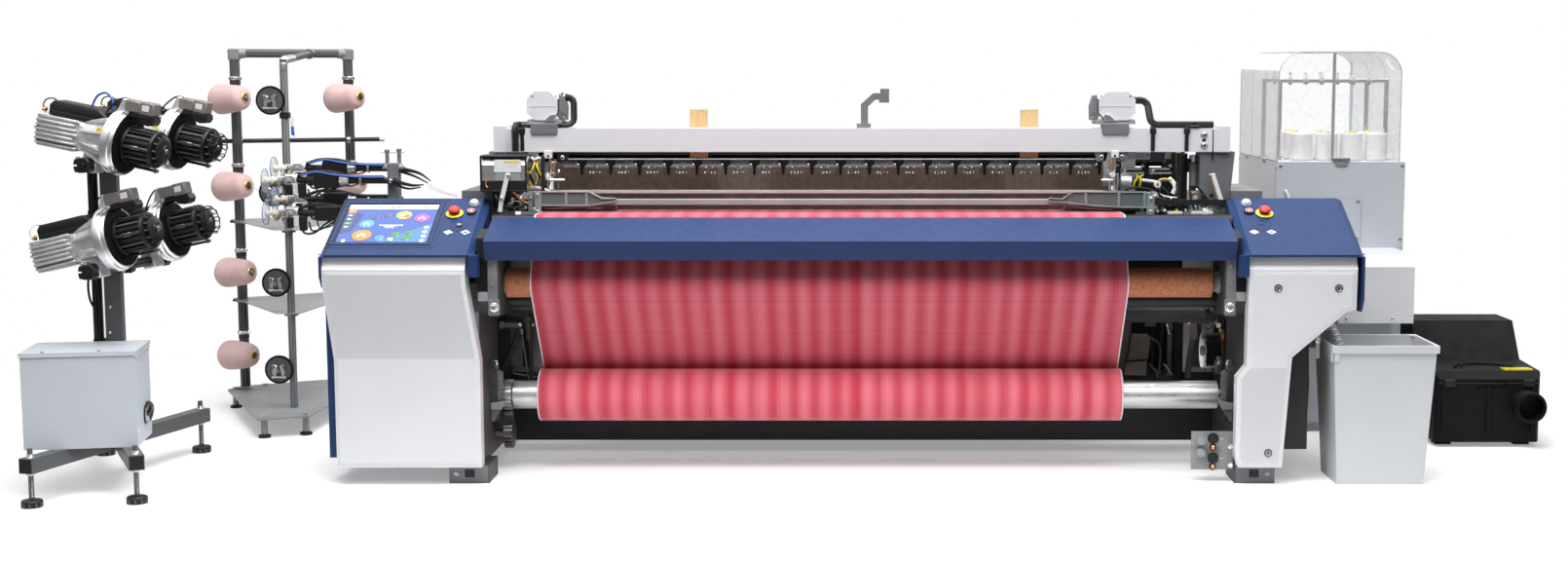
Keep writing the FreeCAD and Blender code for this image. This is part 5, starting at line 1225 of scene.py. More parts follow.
def temple_ribs():
    """Stiffening ribs, rims and screws of the two temple bars, in front of their castings."""
    k = Kit()
    for x in (-1130, -1064, -992, 807, 924):
        k.box((x - 6, 371, 950), (x + 6, 383, 990), CAST_LIGHT, 2)
    for rim in (
        [(-1176, 985), (-1170, 998), (-978, 998), (-932, 974), (-884, 972), (-884, 964), (-934, 966),
         (-982, 988)],
        [(-1174, 946), (-1120, 938), (-930, 950), (-890, 962), (-890, 957), (-930, 944), (-1120, 930),
         (-1174, 934)],
        [(720, 975), (787, 998), (1036, 994), (1036, 986), (790, 988), (726, 968)],
        [(700, 960), (800, 942), (900, 934), (900, 926), (796, 933), (700, 951)],
    ):
        k.prism(rim, 368, 383, CAST_LIGHT, c=1.2)
    k.box((-1180, 360, 926), (-1158, 384, 996), CAST_LIGHT, 3)
    k.prism([(1036, 998), (1056, 994), (1064, 978), (1064, 926), (1040, 926)], 364, 384, CAST_LIGHT, c=3)
    for x, z in ((-1168, 984), (-1168, 944), (1050, 980), (1050, 944)):
        k.bolt((x, 360 if x < 0 else 364, z), TO_FRONT, 5, CHROME)
    k.box((-990, 372, 934), (-930, 379, 938), LABEL, 1)
    k.box((-1150, 353, 949), (780, 358, 969.5), CAST_LIGHT, 1.5)
    k.box((-1150, 355, 967), (780, 381, 970), CAST_LIGHT, 1)
    k.ball((-962, 374, 941), 5.5, RED, 14)
    k.done("temple_ribs", slot="grey_casting")


tee_guides()
beam_fittings()
motor_parts()
left_works()
right_works()
temple_ribs()


# ---------------------------------------------------------------- works behind the cloth, at both ends
CAST_DARK = surface("shaded_casting", (0.050, 0.050, 0.052), 0.5, vary=0.16, scale=9, grain=420,
                    depth=0.0003, spec=0.35)
# Near-black finish standing in for the deep shade inside the loom: painted shade.
SHADE_BLACK = surface("painted_shade_black", (0.008, 0.0075, 0.0075), 0.55, vary=0.3, scale=12, grain=500,
                depth=0.0002, spec=0.15)
TAN_PLATE = surface("oiled_plate", (0.150, 0.125, 0.105), 0.5, vary=0.16, scale=16, grain=500,
                    depth=0.0002, spec=0.3)
TAUPE = surface("oiled_lever", (0.075, 0.068, 0.062), 0.45, vary=0.2, scale=16, grain=500, spec=0.35)
GEAR = surface("oiled_gear", (0.17, 0.155, 0.145), 0.38, 0.9, vary=0.25, scale=20, grain=700)
WIRE = surface("brown_wire", (0.10, 0.048, 0.024), 0.5, vary=0.3, spec=0.3)
ORANGE = surface("orange_connector", (0.70, 0.22, 0.03), 0.4, vary=0.1)


def frame_finish():
    """Grey casting paint with oily dirt, and painted shade that darkens it below the cloth."""
    m, nt, b = tree("frame_casting")
    height = parts_of(nt, new(nt, "TexCoord").outputs["Object"])["Z"]
    v = coords(nt)
    # Painted shade: darker below the cloth's height.
    up = spread(nt, height, 0, 1, 0.80, 1.00)
    tone = ramp(nt, up, (0.0, (0.050, 0.050, 0.052)), (1.0, (0.165, 0.17, 0.18)))
    dirt = ramp(nt, noise(nt, v, 9, 6), (0.35, (0.04, 0.04, 0.04)), (0.65, (0.14, 0.14, 0.145)))
    link(nt, mix(nt, 0.2, tone, dirt), b.inputs["Base Color"])
    bump(nt, b, noise(nt, v, 420, 3), 0.0003)
    put(b, Roughness=0.5, Specular_IOR_Level=0.35)
    return m


for finish, nodes in ((CAST_DARK, "roll_brackets sley"), (frame_finish(), "side_frame_left side_frame_right"),
                      (GEAR, "roll_drive_gear roll_idler_gear let_off_pinion")):
    for node in nodes.split():
        dress(node, finish)


def shields():
    """Thread shields behind the heald frames, at the two ends, near black as painted shade."""
    for name, x0, x1 in (("shield_right", 900, 1213), ("shield_left", -1213, -1142)):
        k = Kit()
        k.box((x0, 725, 196), (x1, 733, 905), SHADE_BLACK, 3)
        n = max(1, int((x1 - x0) / 78))
        for i in range(n):
            x = x0 + (i + 0.5) * (x1 - x0) / n
            k.box((x - 7, 719, 210), (x + 7, 727, 640), CAST_DARK if i % 2 else SHADE_BLACK, 2)
        k.box((x0 + 4, 720, 560), (x1 - 4, 727, 588), SHADE_BLACK, 2)
        k.done(name, slot="dark_steel")


def inner_right():
    """Levers, springs, hoses, disc and small motor seen at the right of the cloth."""
    k = Kit()
    k.box((990, 578, 554), (1051, 604, 590), TAUPE, 3)
    # The near-black blocks here are painted shade.
    k.box((1001, 572, 497), (1095, 584, 549), SHADE_BLACK, 3)
    k.box((1052, 580, 480), (1094, 600, 560), TAUPE, 3)
    k.lathe([(0, 8), (0, 13.5), (14, 13.5), (14, 8)], (1037, 560, 511), TO_BACK, CHROME, 28)
    k.lathe([(4, 0), (4, 8.5), (5, 0)], (1037, 560, 511), TO_BACK, BLACK, 20)
    k.prism([(981, 531), (1007, 500), (1000, 440), (978, 301), (949, 301)], 590, 602, TAUPE, c=2)
    k.prism([(1003, 454), (1060, 454), (1070, 442), (1071, 430), (1064, 362), (987, 356)], 560, 574,
            TAN_PLATE, c=2)
    k.prism([(985, 349), (1062, 355), (1058, 298), (975, 300)], 563, 577, TAN_PLATE, c=2)
    k.tube([(1066, 566, 444), (1104, 566, 417), (1109, 566, 370), (1104, 566, 300)], 4, TAUPE, 10, 5)
    k.tube([(1069, 570, 342), (1096, 572, 314), (1101, 572, 292)], 4, TAUPE, 10, 4)
    k.tube([(1090, 640, 590), (1096, 632, 520), (1084, 626, 450), (1092, 630, 360), (1088, 632, 280)], 6,
           RUBBER, 10, 6)
    k.tube([(1120, 642, 600), (1112, 630, 540), (1126, 628, 470), (1118, 630, 380), (1124, 632, 290)], 7,
           RUBBER, 10, 6)
    for i in range(7):
        k.ring((1139 + i * 1.4, 600, 486 - i * 6), (0.3, 0, 1), 8, 1.6, DULL_STEEL, 16, 6)
        k.ring((1136 + i * 3.4, 600, 332 - i * 5.4), (0.5, 0, 1), 11, 1.7, DULL_STEEL, 16, 6)
    k.box((1140, 604, 290), (1158, 612, 560), TAUPE, 2)
    # Near-black blocks as painted shade.
    k.box((1166, 606, 240), (1200, 620, 600), SHADE_BLACK, 2)
    k.box((960, 606, 240), (1100, 640, 296), SHADE_BLACK, 4)
    # lever and its pin
    k.prism([(1222, 520), (1246, 516), (1250, 436), (1238, 428), (1226, 436), (1218, 500)], 578, 592,
            TAN_PLATE, c=2)
    k.prism([(1226, 440), (1240, 440), (1230, 330), (1228, 288), (1206, 288), (1208, 330)], 580,
            594, TAUPE, c=2)
    k.rod((1206, 585, 497), (1262, 585, 497), 6, DULL_STEEL, 16, 1)
    k.turned([(0, 10), (8, 10)], (1212, 585, 497), RIGHT, STEEL, 6)
    k.turned([(0, 10), (30, 9), (34, 5)], (1258, 585, 497), RIGHT, CAST, 18)
    k.rod((1236, 572, 508), (1236, 580, 508), 7, BLACK, 16, 1)
    # disc and motor
    hub = (1257, 520, 398)
    k.turned([(0, 70), (1.5, 72), (4, 72), (5, 70)], hub, RIGHT, CHROME, 56)
    # The disc's near-black face is painted shade.
    k.turned([(5, 60), (9, 66), (58, 66), (60, 60)], hub, RIGHT, SHADE_BLACK, 40)
    k.turned([(-6, 16), (0, 20)], hub, RIGHT, DULL_STEEL, 20)
    k.rod((1258, 440, 350), (1300, 440, 350), 5.5, CHROME, 16, 1)
    k.box((1290, 424, 325), (1319, 456, 376), CAST, 4)
    k.bolt((1304, 424, 366), TO_FRONT, 6, CHROME)
    k.turned([(0, 10), (12, 9)], (1304, 440, 376), UP, CAST_LIGHT, 16)
    k.done("drive_works_right", slot="dark_steel")


def wire_harness():
    """Thin wires and their connectors in front of the disc."""
    k = Kit()
    for path, r, m in (
        ([(1236, 424, 605), (1245, 422, 566), (1236, 420, 538), (1262, 420, 521), (1296, 420, 509),
          (1306, 420, 476), (1313, 422, 431), (1316, 424, 402)], 2.6, WIRE),
        ([(1256, 424, 590), (1262, 422, 560), (1280, 422, 548), (1298, 420, 520), (1303, 420, 490)], 2.2, WIRE),
        ([(1228, 426, 596), (1240, 424, 580), (1252, 424, 552), (1286, 422, 540), (1310, 424, 500)],
         3.2, RUBBER),
        ([(1270, 424, 604), (1282, 424, 580), (1290, 424, 556), (1312, 424, 540), (1317, 424, 500)],
         4.5, RUBBER),
        ([(1244, 430, 500), (1262, 430, 490), (1276, 430, 502), (1284, 428, 516), (1270, 428, 524)], 2.0, WIRE),
    ):
        k.tube(path, r, m, 8, 5)
    for at, size, m in (((1240, 420, 548), (10, 6, 14), TAUPE), ((1296, 415, 506), (8, 5, 8), PURE_WHITE),
                        ((1303, 414, 488), (5, 4, 6), YELLOW), ((1310, 414, 478), (7, 5, 12), TAN_PLATE),
                        ((1312, 412, 468), (4, 4, 9), ORANGE), ((1286, 416, 516), (6, 5, 6), DULL_STEEL),
                        ((1256, 418, 560), (7, 5, 8), BLACK)):
        k.box([a - s for a, s in zip(at, size)], [a + s for a, s in zip(at, size)], m, 1.5)
    k.tube([(1302, 416, 486), (1308, 414, 470), (1316, 416, 450)], 1.6, ORANGE, 6, 4)
    k.done("wire_harness", slot="hose_rubber")


def inner_left():
    """Linkage seen at the left of the cloth."""
    k = Kit()
    k.rod((-1318, 425, 506), (-1250, 425, 506), 9, CAST, 20, 1)
    k.turned([(0, 13), (10, 14), (14, 12)], (-1318, 425, 506), RIGHT, CAST, 20)
    k.rod((-1254, 425, 506), (-1237, 425, 506), 7.5, CHROME, 18, 1)
    k.prism([(-1222, 532), (-1206, 534), (-1204, 454), (-1214, 448), (-1222, 456)], 420, 430, TAN_PLATE, c=2)
    k.prism([(-1218, 460), (-1206, 460), (-1200, 400), (-1200, 305), (-1212, 305), (-1212, 400)], 424,
            434, TAUPE, c=2)
    k.prism([(-1232, 520), (-1216, 560), (-1212, 552), (-1222, 500)], 430, 438, TAUPE, c=1)
    k.rod((-1243, 430, 492), (-1310, 430, 344), 11, CAST_DARK, 18, 2)
    k.lathe([(0, 11), (0, 13), (4, 13), (4, 11)], (-1272, 430, 428), (-0.41, 0, -0.91), BLACK, 18)
    k.rod((-1238, 418, 490), (-1216, 420, 305), 3.5, DULL_STEEL, 12, 0.5)
    k.turned([(0, 6), (18, 6)], (-1238, 418, 492), (0.12, 0, -0.99), STEEL, 12)
    k.ring((-1210, 418, 530), TO_BACK, 6, 2.4, CAST, 18, 8)
    k.rod((-1200, 425, 506), (-1192, 425, 506), 5, STEEL, 12, 1)
    k.tube([(-1262, 426, 606), (-1250, 424, 592), (-1266, 422, 580), (-1248, 422, 574), (-1236, 424, 588)], 2.6,
           RUBBER, 8, 5)
    k.tube([(-1240, 426, 600), (-1222, 424, 590), (-1206, 424, 572)], 2.2, WIRE, 8, 5)
    k.tube([(-1300, 440, 640), (-1288, 436, 600), (-1296, 434, 560), (-1290, 436, 520)], 6, RUBBER, 10, 5)
    k.done("linkage_left", slot="dark_steel")


def bracket_faces():
    """Lighter machined faces, bearing hubs and bolts of the roller and roll brackets."""
    k = Kit()
    for s in (-1, 1):
        def bx(x0, x1, y0, y1, z0, z1, m, c=2):
            """Box given for the right side, mirrored for the left."""
            a, b = sorted((s * x0, s * x1))
            k.box((a, y0, z0), (b, y1, z1), m, c)
        # bearing hub of the take-up roller
        k.lathe([(0, 24), (0, 30), (3, 33), (14, 33), (18, 38), (23, 39), (23, 24)], (s * 1221.5, 150, 693),
                (s, 0, 0), CAST_LIGHT, 36)
        k.lathe([(0, 24), (0, 27), (3, 27), (3, 24)], (s * 1219, 150, 693), (s, 0, 0), BLACK, 36)
        bx(1250, 1284, 35, 41, 604, 794, CAST, 3)
        bx(1244, 1284, 33, 41, 590, 648, CAST, 5)
        bx(1284, 1319, 33, 41, 640, 672, CAST_LIGHT, 4)
        # Near-black plate in the recess: painted shade.
        bx(1286, 1319, 38.5, 40.6, 676, 790, SHADE_BLACK, 1)
        k.bolt((s * 1262, 33, 620), TO_FRONT, 10, CHROME, socket=False)
        k.ring((s * 1262, 32, 620), TO_BACK, 15, 2.2, CHROME, 24, 8)
        k.rod((s * 1262, 24, 620), (s * 1262, 36, 620), 5, STEEL, 14, 1)
        for z in (700, 760):
            k.bolt((s * 1267, 35, z), TO_FRONT, 5, DULL_STEEL)
        # roll bracket: rest, latch and foot
        k.prism([(s * 1276, 300), (s * 1303, 300), (s * 1303, 362), (s * 1290, 372), (s * 1276, 360)], 238,
                250, CAST, c=2)
        k.prism([(s * 1265, 262), (s * 1319, 254), (s * 1319, 229), (s * 1282, 229)], 222, 250, CAST_LIGHT, c=3)
        k.prism([(s * 1284, 229), (s * 1319, 229), (s * 1319, 186), (s * 1312, 184)], 230, 250, CAST, c=2)
        bx(1280, 1300, 236, 250, 262, 300, CAST, 2)
        bx(1294, 1319, 240, 262, 370, 404, CAST, 4)
        k.bolt((s * 1302, 240, 396), TO_FRONT, 6.5, CHROME)
        k.bolt((s * 1290, 238, 340), TO_FRONT, 4.5, DULL_STEEL)
        # side frame front flange, its bolts and the foot pocket
        bx(1322, 1340, 58, 62, 84, 600, CAST, 2)
        for z in (140, 210, 300, 392, 470, 560):
            k.bolt((s * 1331, 58, z), TO_FRONT, 5, DULL_STEEL, socket=z % 3 == 0)
        bx(1346, 1382, 58.4, 60.8, 20, 50, BLACK, 1)
        bx(1300, 1436, 58.6, 61, 4, 60, CAST, 2)
        k.bolt((s * 1410, 58.6, 34), TO_FRONT, 7, DULL_STEEL, socket=False)
    k.done("bracket_faces", slot="grey_casting")


def terminal_caps():
    """Caps, screws and marks of the terminal plate, and clips along the girder's cable."""
    k = Kit()
    r = 19
    for z in (157, 88):
        k.turned([(0, r), (5, r + 1), (8, r - 1), (9, r - 4)], (1221, 70, z), TO_FRONT, BLACK, 32)
        k.ring((1221, 62, z), TO_BACK, r - 6, 0.9, DARK, 28, 6)
    for z in (125, 57):
        k.turned([(0, 12.5), (4, 12.5), (5, 10)], (1221, 70, z), TO_FRONT, BLACK, 24)
        k.turned([(4, 8), (9, 7.4), (12, 3.5)], (1221, 70, z), TO_FRONT, COPPER, 20)
    for z in (128, 63):
        k.bolt((1284, 70, z), TO_FRONT, 7, CHROME, socket=False)
    for z in (157, 88):
        k.box((1246, 69.4, z - 3), (1258, 70.2, z - 1), LABEL, 0.2)
    k.done("terminal_caps", slot="black_plastic")

    k = Kit()
    for x, z, m in ((-900, 226, BLACK), (-420, 216, BLACK), (0, 206, BLACK), (430, 213, BLACK),
                    (800, 222, BLACK), (1150, 243, BLUE_PLASTIC), (1180, 245, BLUE_PLASTIC)):
        k.lathe([(-6, 9), (-6, 11.5), (6, 11.5), (6, 9)], (x, 632, z), (1, 0, 0.03), m, 20)
    k.done("cable_clips", slot="black_plastic")


shields()
inner_right()
wire_harness()
inner_left()
bracket_faces()
terminal_caps()


# ---------------------------------------------------------------- weft feeders and their stand
SENSOR = surface("sensor_housing", (0.20, 0.175, 0.165), 0.45, vary=0.08, grain=800)
POLISHED = surface("polished_ring", (0.80, 0.80, 0.81), 0.24, 1.0, vary=0.06, grain=700, stretch=(1, 1, 1))
FEED_CAST = surface("feeder_casting", (0.66, 0.66, 0.67), 0.40, 0.55, vary=0.10, scale=24, grain=800,
                    depth=0.0002)
FEED_BLACK = surface("feeder_black", (0.010, 0.010, 0.011), 0.40, vary=0.2, grain=900, depth=0.0002, spec=0.3)
DRUM_BAR = surface("drum_bars", (0.05, 0.045, 0.042), 0.30, vary=0.25, scale=30, grain=900)

STAND = Matrix.Translation((-2610, 150, 0)) @ Matrix.Rotation(math.radians(10), 4, "Z")
CROSS = Matrix.Rotation(math.radians(-20), 4, "Z")      # the cross bars stand askew on the post
BARS = {753: -13, 1113: 10.5}                           # height of each cross bar and tilt of its feeders


def feeder_place(row, bar_z):
    """Matrix whose X axis is a feeder's axis, from its motor to its nose."""
    tilt = BARS[bar_z]
    seat = Matrix.Translation(Vector((44, 0, bar_z)) + CROSS @ Vector((0, row, 0)))
    return STAND @ seat @ CROSS @ Matrix.Rotation(math.radians(tilt), 4, "Y") @ Matrix.Translation((35, 0, 92))


def merge(k, b):
    """Put all of kit b into kit k."""
    for m in b.mats:
        if m not in k.mats:
            k.mats.append(m)
    base = len(k.verts)
    k.verts += b.verts
    k.faces += [tuple(base + j for j in f) for f in b.faces]
    k.index += [k.mats.index(b.mats[j]) for j in b.index]


def spokes(n, start=0.0):
    """n pairs of directions away from and around the X axis."""
    for i in range(n):
        t = math.radians(start) + TURN * i / n
        yield Vector((0, math.cos(t), math.sin(t))), Vector((0, -math.sin(t), math.cos(t)))


def feeder(row, bar_z):
    """One weft feeder; the rear ones have a wire basket on the nose."""
    k = Kit(feeder_place(row, bar_z))
    axis = (0, 0, 0)
    # finned motor
    k.prism([(-50, -34), (-34, -48), (34, -48), (50, -34), (50, 34), (34, 50), (-34, 50), (-50, 34)], -226, -60,
            FEED_CAST, "x", c=2)
    for side in (-1, 1):
        for i in range(7):
            z = -46 + i * 15.3
            reach = 62 if abs(z) < 40 else 56
            y0, y1 = sorted((side * 44, side * reach))
            k.box((-228, y0, z - 3.6), (-76 - 6 * (i % 3), y1, z + 3.6), FEED_CAST, 1.6)
    for i in range(6):
        y = -40 + i * 16
        k.box((-228, y - 3.4, -58), (-90, y + 3.4, -44), FEED_CAST, 1.6)
    k.prism([(-52, -40), (-40, -52), (40, -52), (52, -40), (52, 40), (40, 50), (-40, 50), (-52, 40)], -230,
            -222, FEED_CAST, "x", c=2)
    # cone with webs up to the ring
    k.turned([(-96, 50), (-70, 57), (-40, 62), (0, 69), (24, 82), (40, 101), (46, 105)], axis, RIGHT,
             FEED_CAST, 40)
    for d, w in spokes(10, 18):
        web = [RIGHT * x + d * r for x, r in ((-78, 52), (-20, 60), (30, 88), (36, 101), (4, 90), (-60, 64))]
        n = len(web)
        sides = [(j, (j + 1) % n, n + (j + 1) % n, n + j) for j in range(n)]
        k.add([p - w * 3 for p in web] + [p + w * 3 for p in web],
              [tuple(range(n))[::-1], tuple(range(n, 2 * n))] + sides, FEED_CAST)
    k.box((-64, -62, -26), (-30, -40, 20), FEED_CAST, 5)
    k.box((-22, -74, -44), (16, -48, -16), FEED_CAST, 4)
    # ring
    k.lathe([(36, 96), (36, 106), (39, 110.5), (44, 112), (62, 112), (66, 110), (68, 107), (78, 106.5),
             (81, 104), (81, 99.5), (66, 98.4), (36, 96)], axis, RIGHT, POLISHED, 72)
    k.lathe([(46, 104), (52, 97), (66.5, 97), (66.5, 20), (52, 14)], axis, RIGHT, FEED_BLACK, 40)
    # clamp block and its screw
    k.box((-60, -34, -118), (-10, 34, -56), FEED_CAST, 5)
    k.box((-48, -30, -60), (-12, 30, -46), FEED_CAST, 3)
    k.bolt((-35, -34, -66), TO_FRONT, 5, CHROME)
    # electronics box on top
    k.prism([(-200, 52), (-200, 84), (-186, 100), (-24, 100), (4, 84), (16, 68), (16, 52)], -38, 38,
            FEED_BLACK, c=4)
    k.prism([(-196, 52), (-196, 66), (10, 66), (10, 52)], -40, 40, DARK, c=1.5)
    k.prism([(2, 60), (20, 86), (44, 96), (48, 104), (40, 108), (12, 98), (-14, 82), (-14, 60)], -22, 22,
            FEED_BLACK, c=3)
    k.prism([(-30, 60), (34, 60), (44, 78), (36, 92), (24, 84), (12, 72), (-24, 66)], -44, -36,
            FEED_BLACK, c=1.5)
    # arm over the ring and the sensor head
    k.prism([(30, 102), (78, 102), (84, 118), (76, 140), (60, 152), (50, 150), (40, 122)], -19, 19,
            FEED_CAST, c=3)
    k.box((62, -24, 112), (120, 24, 150), SENSOR, 4)
    k.box((116, -24, 108), (168, 24, 152), SENSOR, 4)
    k.box((78, -22.5, 92), (122, 22.5, 114), FEED_BLACK, 3)
    k.prism([(116, 108), (172, 108), (176, 92), (168, 78), (150, 74), (128, 80), (118, 92)], -24, 24,
            FEED_BLACK, c=3)
    k.box((126, -25.2, 122), (152, -23.6, 142), PURE_WHITE, 1)
    # storage drum of twenty bars, every fifth one higher
    r = 62
    k.lathe([(88, 20), (88, 54), (190, 54), (192, 20)], axis, RIGHT, BLACK, 24)
    k.lathe([(84, 30), (84, 64), (90, 66), (97, 64), (97, 40)], axis, RIGHT, FEED_BLACK, 40)
    k.lathe([(180, 40), (180, 61), (188, 63.5), (194, 61), (196, 44)], axis, RIGHT, FEED_BLACK, 40)
    for i in range(20):
        b = Kit(k.place @ Matrix.Rotation(TURN * i / 20, 4, "X"))
        b.box((92, -4.2, 50), (188, 4.2, r + (1.4 if i % 5 == 0 else 0)),
              DRUM_BAR if i % 2 else FEED_BLACK, 1.4)
        if i % 5 == 0:
            b.box((112, -6, 50), (150, 6, r - 1), DULL_STEEL, 1.2)
        merge(k, b)
    k.turned([(192, 40), (200, 46), (212, 46), (216, 40), (217, 22), (221, 20)], axis, RIGHT,
             FEED_BLACK, 32)
    k.lathe([(217, 0), (217, 11), (224, 9), (226, 0)], axis, RIGHT, DULL_STEEL, 20)
    for c, _ in spokes(12):
        k.rod(RIGHT * 196 + c * 50, RIGHT * 208 + c * 47, 3.4, DRUM_BAR, 8, 0.6)
    if row > 0:
        for c, u in spokes(9):
            k.tube([RIGHT * x + c * r + u * w for x, r, w in ((206, 44, 0), (218, 50, 9), (231, 47, 0),
                    (228, 40, -9), (206, 44, 0))], 2.1, FEED_BLACK, 6, 4)
        k.ring((230, 0, 0), RIGHT, 44, 1.9, FEED_BLACK, 36, 6)
    # lever with a hole, under the nose
    k.prism([(96, -64), (176, -66), (196, -64), (203, -70), (196, -77), (176, -75), (96, -74)], -6, 6,
            FEED_BLACK, c=1.5)
    k.lathe([(0, 3), (0, 8), (3, 8), (3, 3)], (194, -6.5, -70), TO_FRONT, DULL_STEEL, 16)
    # cable over the ring, gland at the rear
    k.tube([(-16, 6, 92), (6, 6, 122), (34, 4, 146), (62, 2, 150), (78, 0, 142)], 3.0, RUBBER, 8, 6)
    k.turned([(0, 9), (6, 9), (7, 7), (13, 7)], (-217, -24, 62), (-1, 0, 0.1), BRASS, 12)
    k.rod((-225, -30, 30), (-226.5, -48, 34), 5, BRASS, 12, 1)
    if bar_z > 900:
        k.tube([(-213, -24, 66), (-228, -26, 74), (-222, -24, 96), (-200, -18, 104), (-190, -12, 98)], 2.4,
               RUBBER, 8, 6)
        k.box((8, -83, 30), (26, -79, 46), YELLOW, 1)
    else:
        k.tube([(-213, -24, 66), (-228, -28, 60), (-226, -34, 88), (-212, -20, 104), (-196, -6, 101)], 2.2,
               PURE_WHITE, 8, 6)
    k.rod((-226, -44, 6), (-229, -60, 2), 3.4, DULL_STEEL, 10, 0.5)
    return k


def feeders():
    """The four feeders, a hose on the upper front one, and rounded winding discs."""
    whole = Kit()
    for bar_z in BARS:
        for row in (-175, 175):
            merge(whole, feeder(row, bar_z))
    whole.done("feeder_bodies", slot="aluminium", replaces=("weft_feeders",), angle=38)
    k = Kit(feeder_place(-175, 1113))
    k.tube([(-80, 20, 98), (-66, 22, 136), (-36, 22, 152), (-8, 20, 132), (-4, 18, 100)], 3.6,
           BLUE_PLASTIC, 10, 8)
    k.done("feeder_hose", slot="blue_paint")
    for node in ("lower_front", "lower_rear", "upper_front", "upper_rear"):
        soften("winding_disc_" + node, 2.0)


def stand_parts():
    """Clamps, black bars, cables and screws of the stand."""
    k = Kit(STAND)
    for z in BARS:
        c = Kit(STAND @ Matrix.Translation((44, 0, z)) @ CROSS)
        for y in (-252, 214):
            c.prism([(-26, -22), (-6, -26), (22, -24), (30, -12), (26, 0), (30, 12), (22, 24), (-6, 26),
                     (-26, 20), (-30, 6), (-16, 5), (-16, -5), (-30, -6)], y, y + 38, FEED_BLACK, c=3)
            c.bolt((-22, y + 18, 22), UP, 6, CHROME)
            c.bolt((8, y, 0), TO_FRONT, 7, BLACK)
        c.rod((0, -250.5, 0), (0, 250.5, 0), 16.8, FEED_BLACK, 28, 2)
        c.done("bar_clamps_%d" % z, slot="black_plastic")
        k.box((-37, -37, z - 25), (69, 37, z + 25), FEED_BLACK, 4)
        for dz in (-14, 14):
            k.bolt((40, -37, z + dz), TO_FRONT, 5.5, CHROME)
        k.bolt((-20, -37, z), TO_FRONT, 5.5, CHROME)
    k.box((-71, -13, 300), (-41, 15, 1181), FEED_BLACK, 2)
    for z in (480, 930, 1160):
        k.box((-73, -17, z - 1), (-27, 19, z + 17), FEED_BLACK, 1.5)
    k.tube([(-56, -22, 1176), (-60, -26, 1080), (-54, -24, 960), (-62, -26, 820), (-56, -24, 690),
            (-60, -26, 560), (-54, -24, 497)], 6, RUBBER, 10, 6)
    k.tube([(-44, -24, 1110), (-50, -28, 1000), (-42, -26, 870), (-50, -28, 740), (-46, -26, 620),
            (-50, -24, 497)], 4, RUBBER, 8, 6)
    k.tube([(-70, 10, 740), (-82, -10, 700), (-78, -18, 640), (-60, -20, 600)], 4, RUBBER, 8, 6)
    k.box((-30, -30, 1299), (30, 30, 1304), BLACK, 2)
    for i, z in enumerate((520, 610, 905, 1190)):
        k.bolt((-14 + 4 * i, -28, z), TO_FRONT, 3.4, CHROME)
    k.done("stand_bars", slot="black_plastic")


def stand_feet():
    """Threaded feet of the stand, and the fittings of its power box."""
    k = Kit(STAND)
    for x, y in ((-200, -430), (130, -430), (205, 430), (-140, 440)):
        d = Vector((x, y, 0)).normalized()
        end = Vector((x, y, 140)) + d * 25
        k.turned([(0, 31), (1.2, 31)], end, d, BLACK, 4, phase=math.pi / 4)
        k.turned([(0, 32), (4, 34), (20, 34), (24, 31), (27, 14)], (x, y, 0), UP, BLACK, 36)
        k.rod((x, y, 24), (x, y, 168), 7.2, STEEL, 16)
        for i in range(12):
            k.lathe([(0, 7), (2.2, 8.6), (4.4, 7)], (x, y, 34 + i * 6.6), UP, STEEL, 14)
        k.turned([(0, 13), (8, 13), (9, 11)], (x, y, 106), UP, STEEL, 6)
        k.turned([(0, 14), (2, 14), (3, 12), (3, 12), (12, 12), (13, 10)], (x, y, 165), UP, CHROME, 16)
        k.box((x - 3, y - 3, 176), (x + 3, y + 3, 186), DULL_STEEL, 1)
    # box: grommet, hose, screws and lid lip
    k.turned([(0, 33), (3, 34), (5, 30), (5, 26), (-1, 24)], (115.2, -150, 250), RIGHT, RUBBER, 36)
    k.tube([(112, -150, 252), (119, -146, 262), (120, -120, 276), (118, -86, 262), (112, -70, 236),
            (100, -60, 212)], 15, RUBBER, 14, 6)
    for y, z in ((-285, 448), (-285, 216), (-60, 448), (-60, 216)):
        k.bolt((115.2, y, z), RIGHT, 4, CHROME, socket=False)
    for x in (-180, 0):
        k.bolt((x, -292, 492), UP, 4.5, DULL_STEEL, socket=False)
    k.box((-254.6, -304.8, 478.5), (119.6, -301, 481), LIGHT_GREY, 0.5)
    k.box((112, -303, 470), (120, -44, 476), LIGHT_GREY, 1)
    k.done("stand_feet", slot="hose_rubber")
    soften("feeder_stand", 2.0, segments=2)


feeders()
stand_parts()
stand_feet()


# ---------------------------------------------------------------- creel, yarn cones and guide arms
def yarn_finish():
    """Fine crossing windings in pale pink."""
    m, nt, b = tree("pink_cone_yarn")
    v = coords(nt)
    slow = noise(nt, v, 14, 4)
    fine = noise(nt, v, 900, 4, 0.7)
    tone = ramp(nt, slow, (0.3, (0.70, 0.46, 0.45)), (0.7, (0.80, 0.57, 0.55)))
    turns = ramp(nt, fine, (0.35, (0.50, 0.29, 0.28)), (0.65, (0.90, 0.71, 0.69)))
    link(nt, mix(nt, 0.22, tone, turns), b.inputs["Base Color"])
    bump(nt, b, fine, 0.0006)
    put(b, Roughness=0.85, Sheen_Weight=0.25, Sheen_Roughness=0.5, Specular_IOR_Level=0.15)
    return m


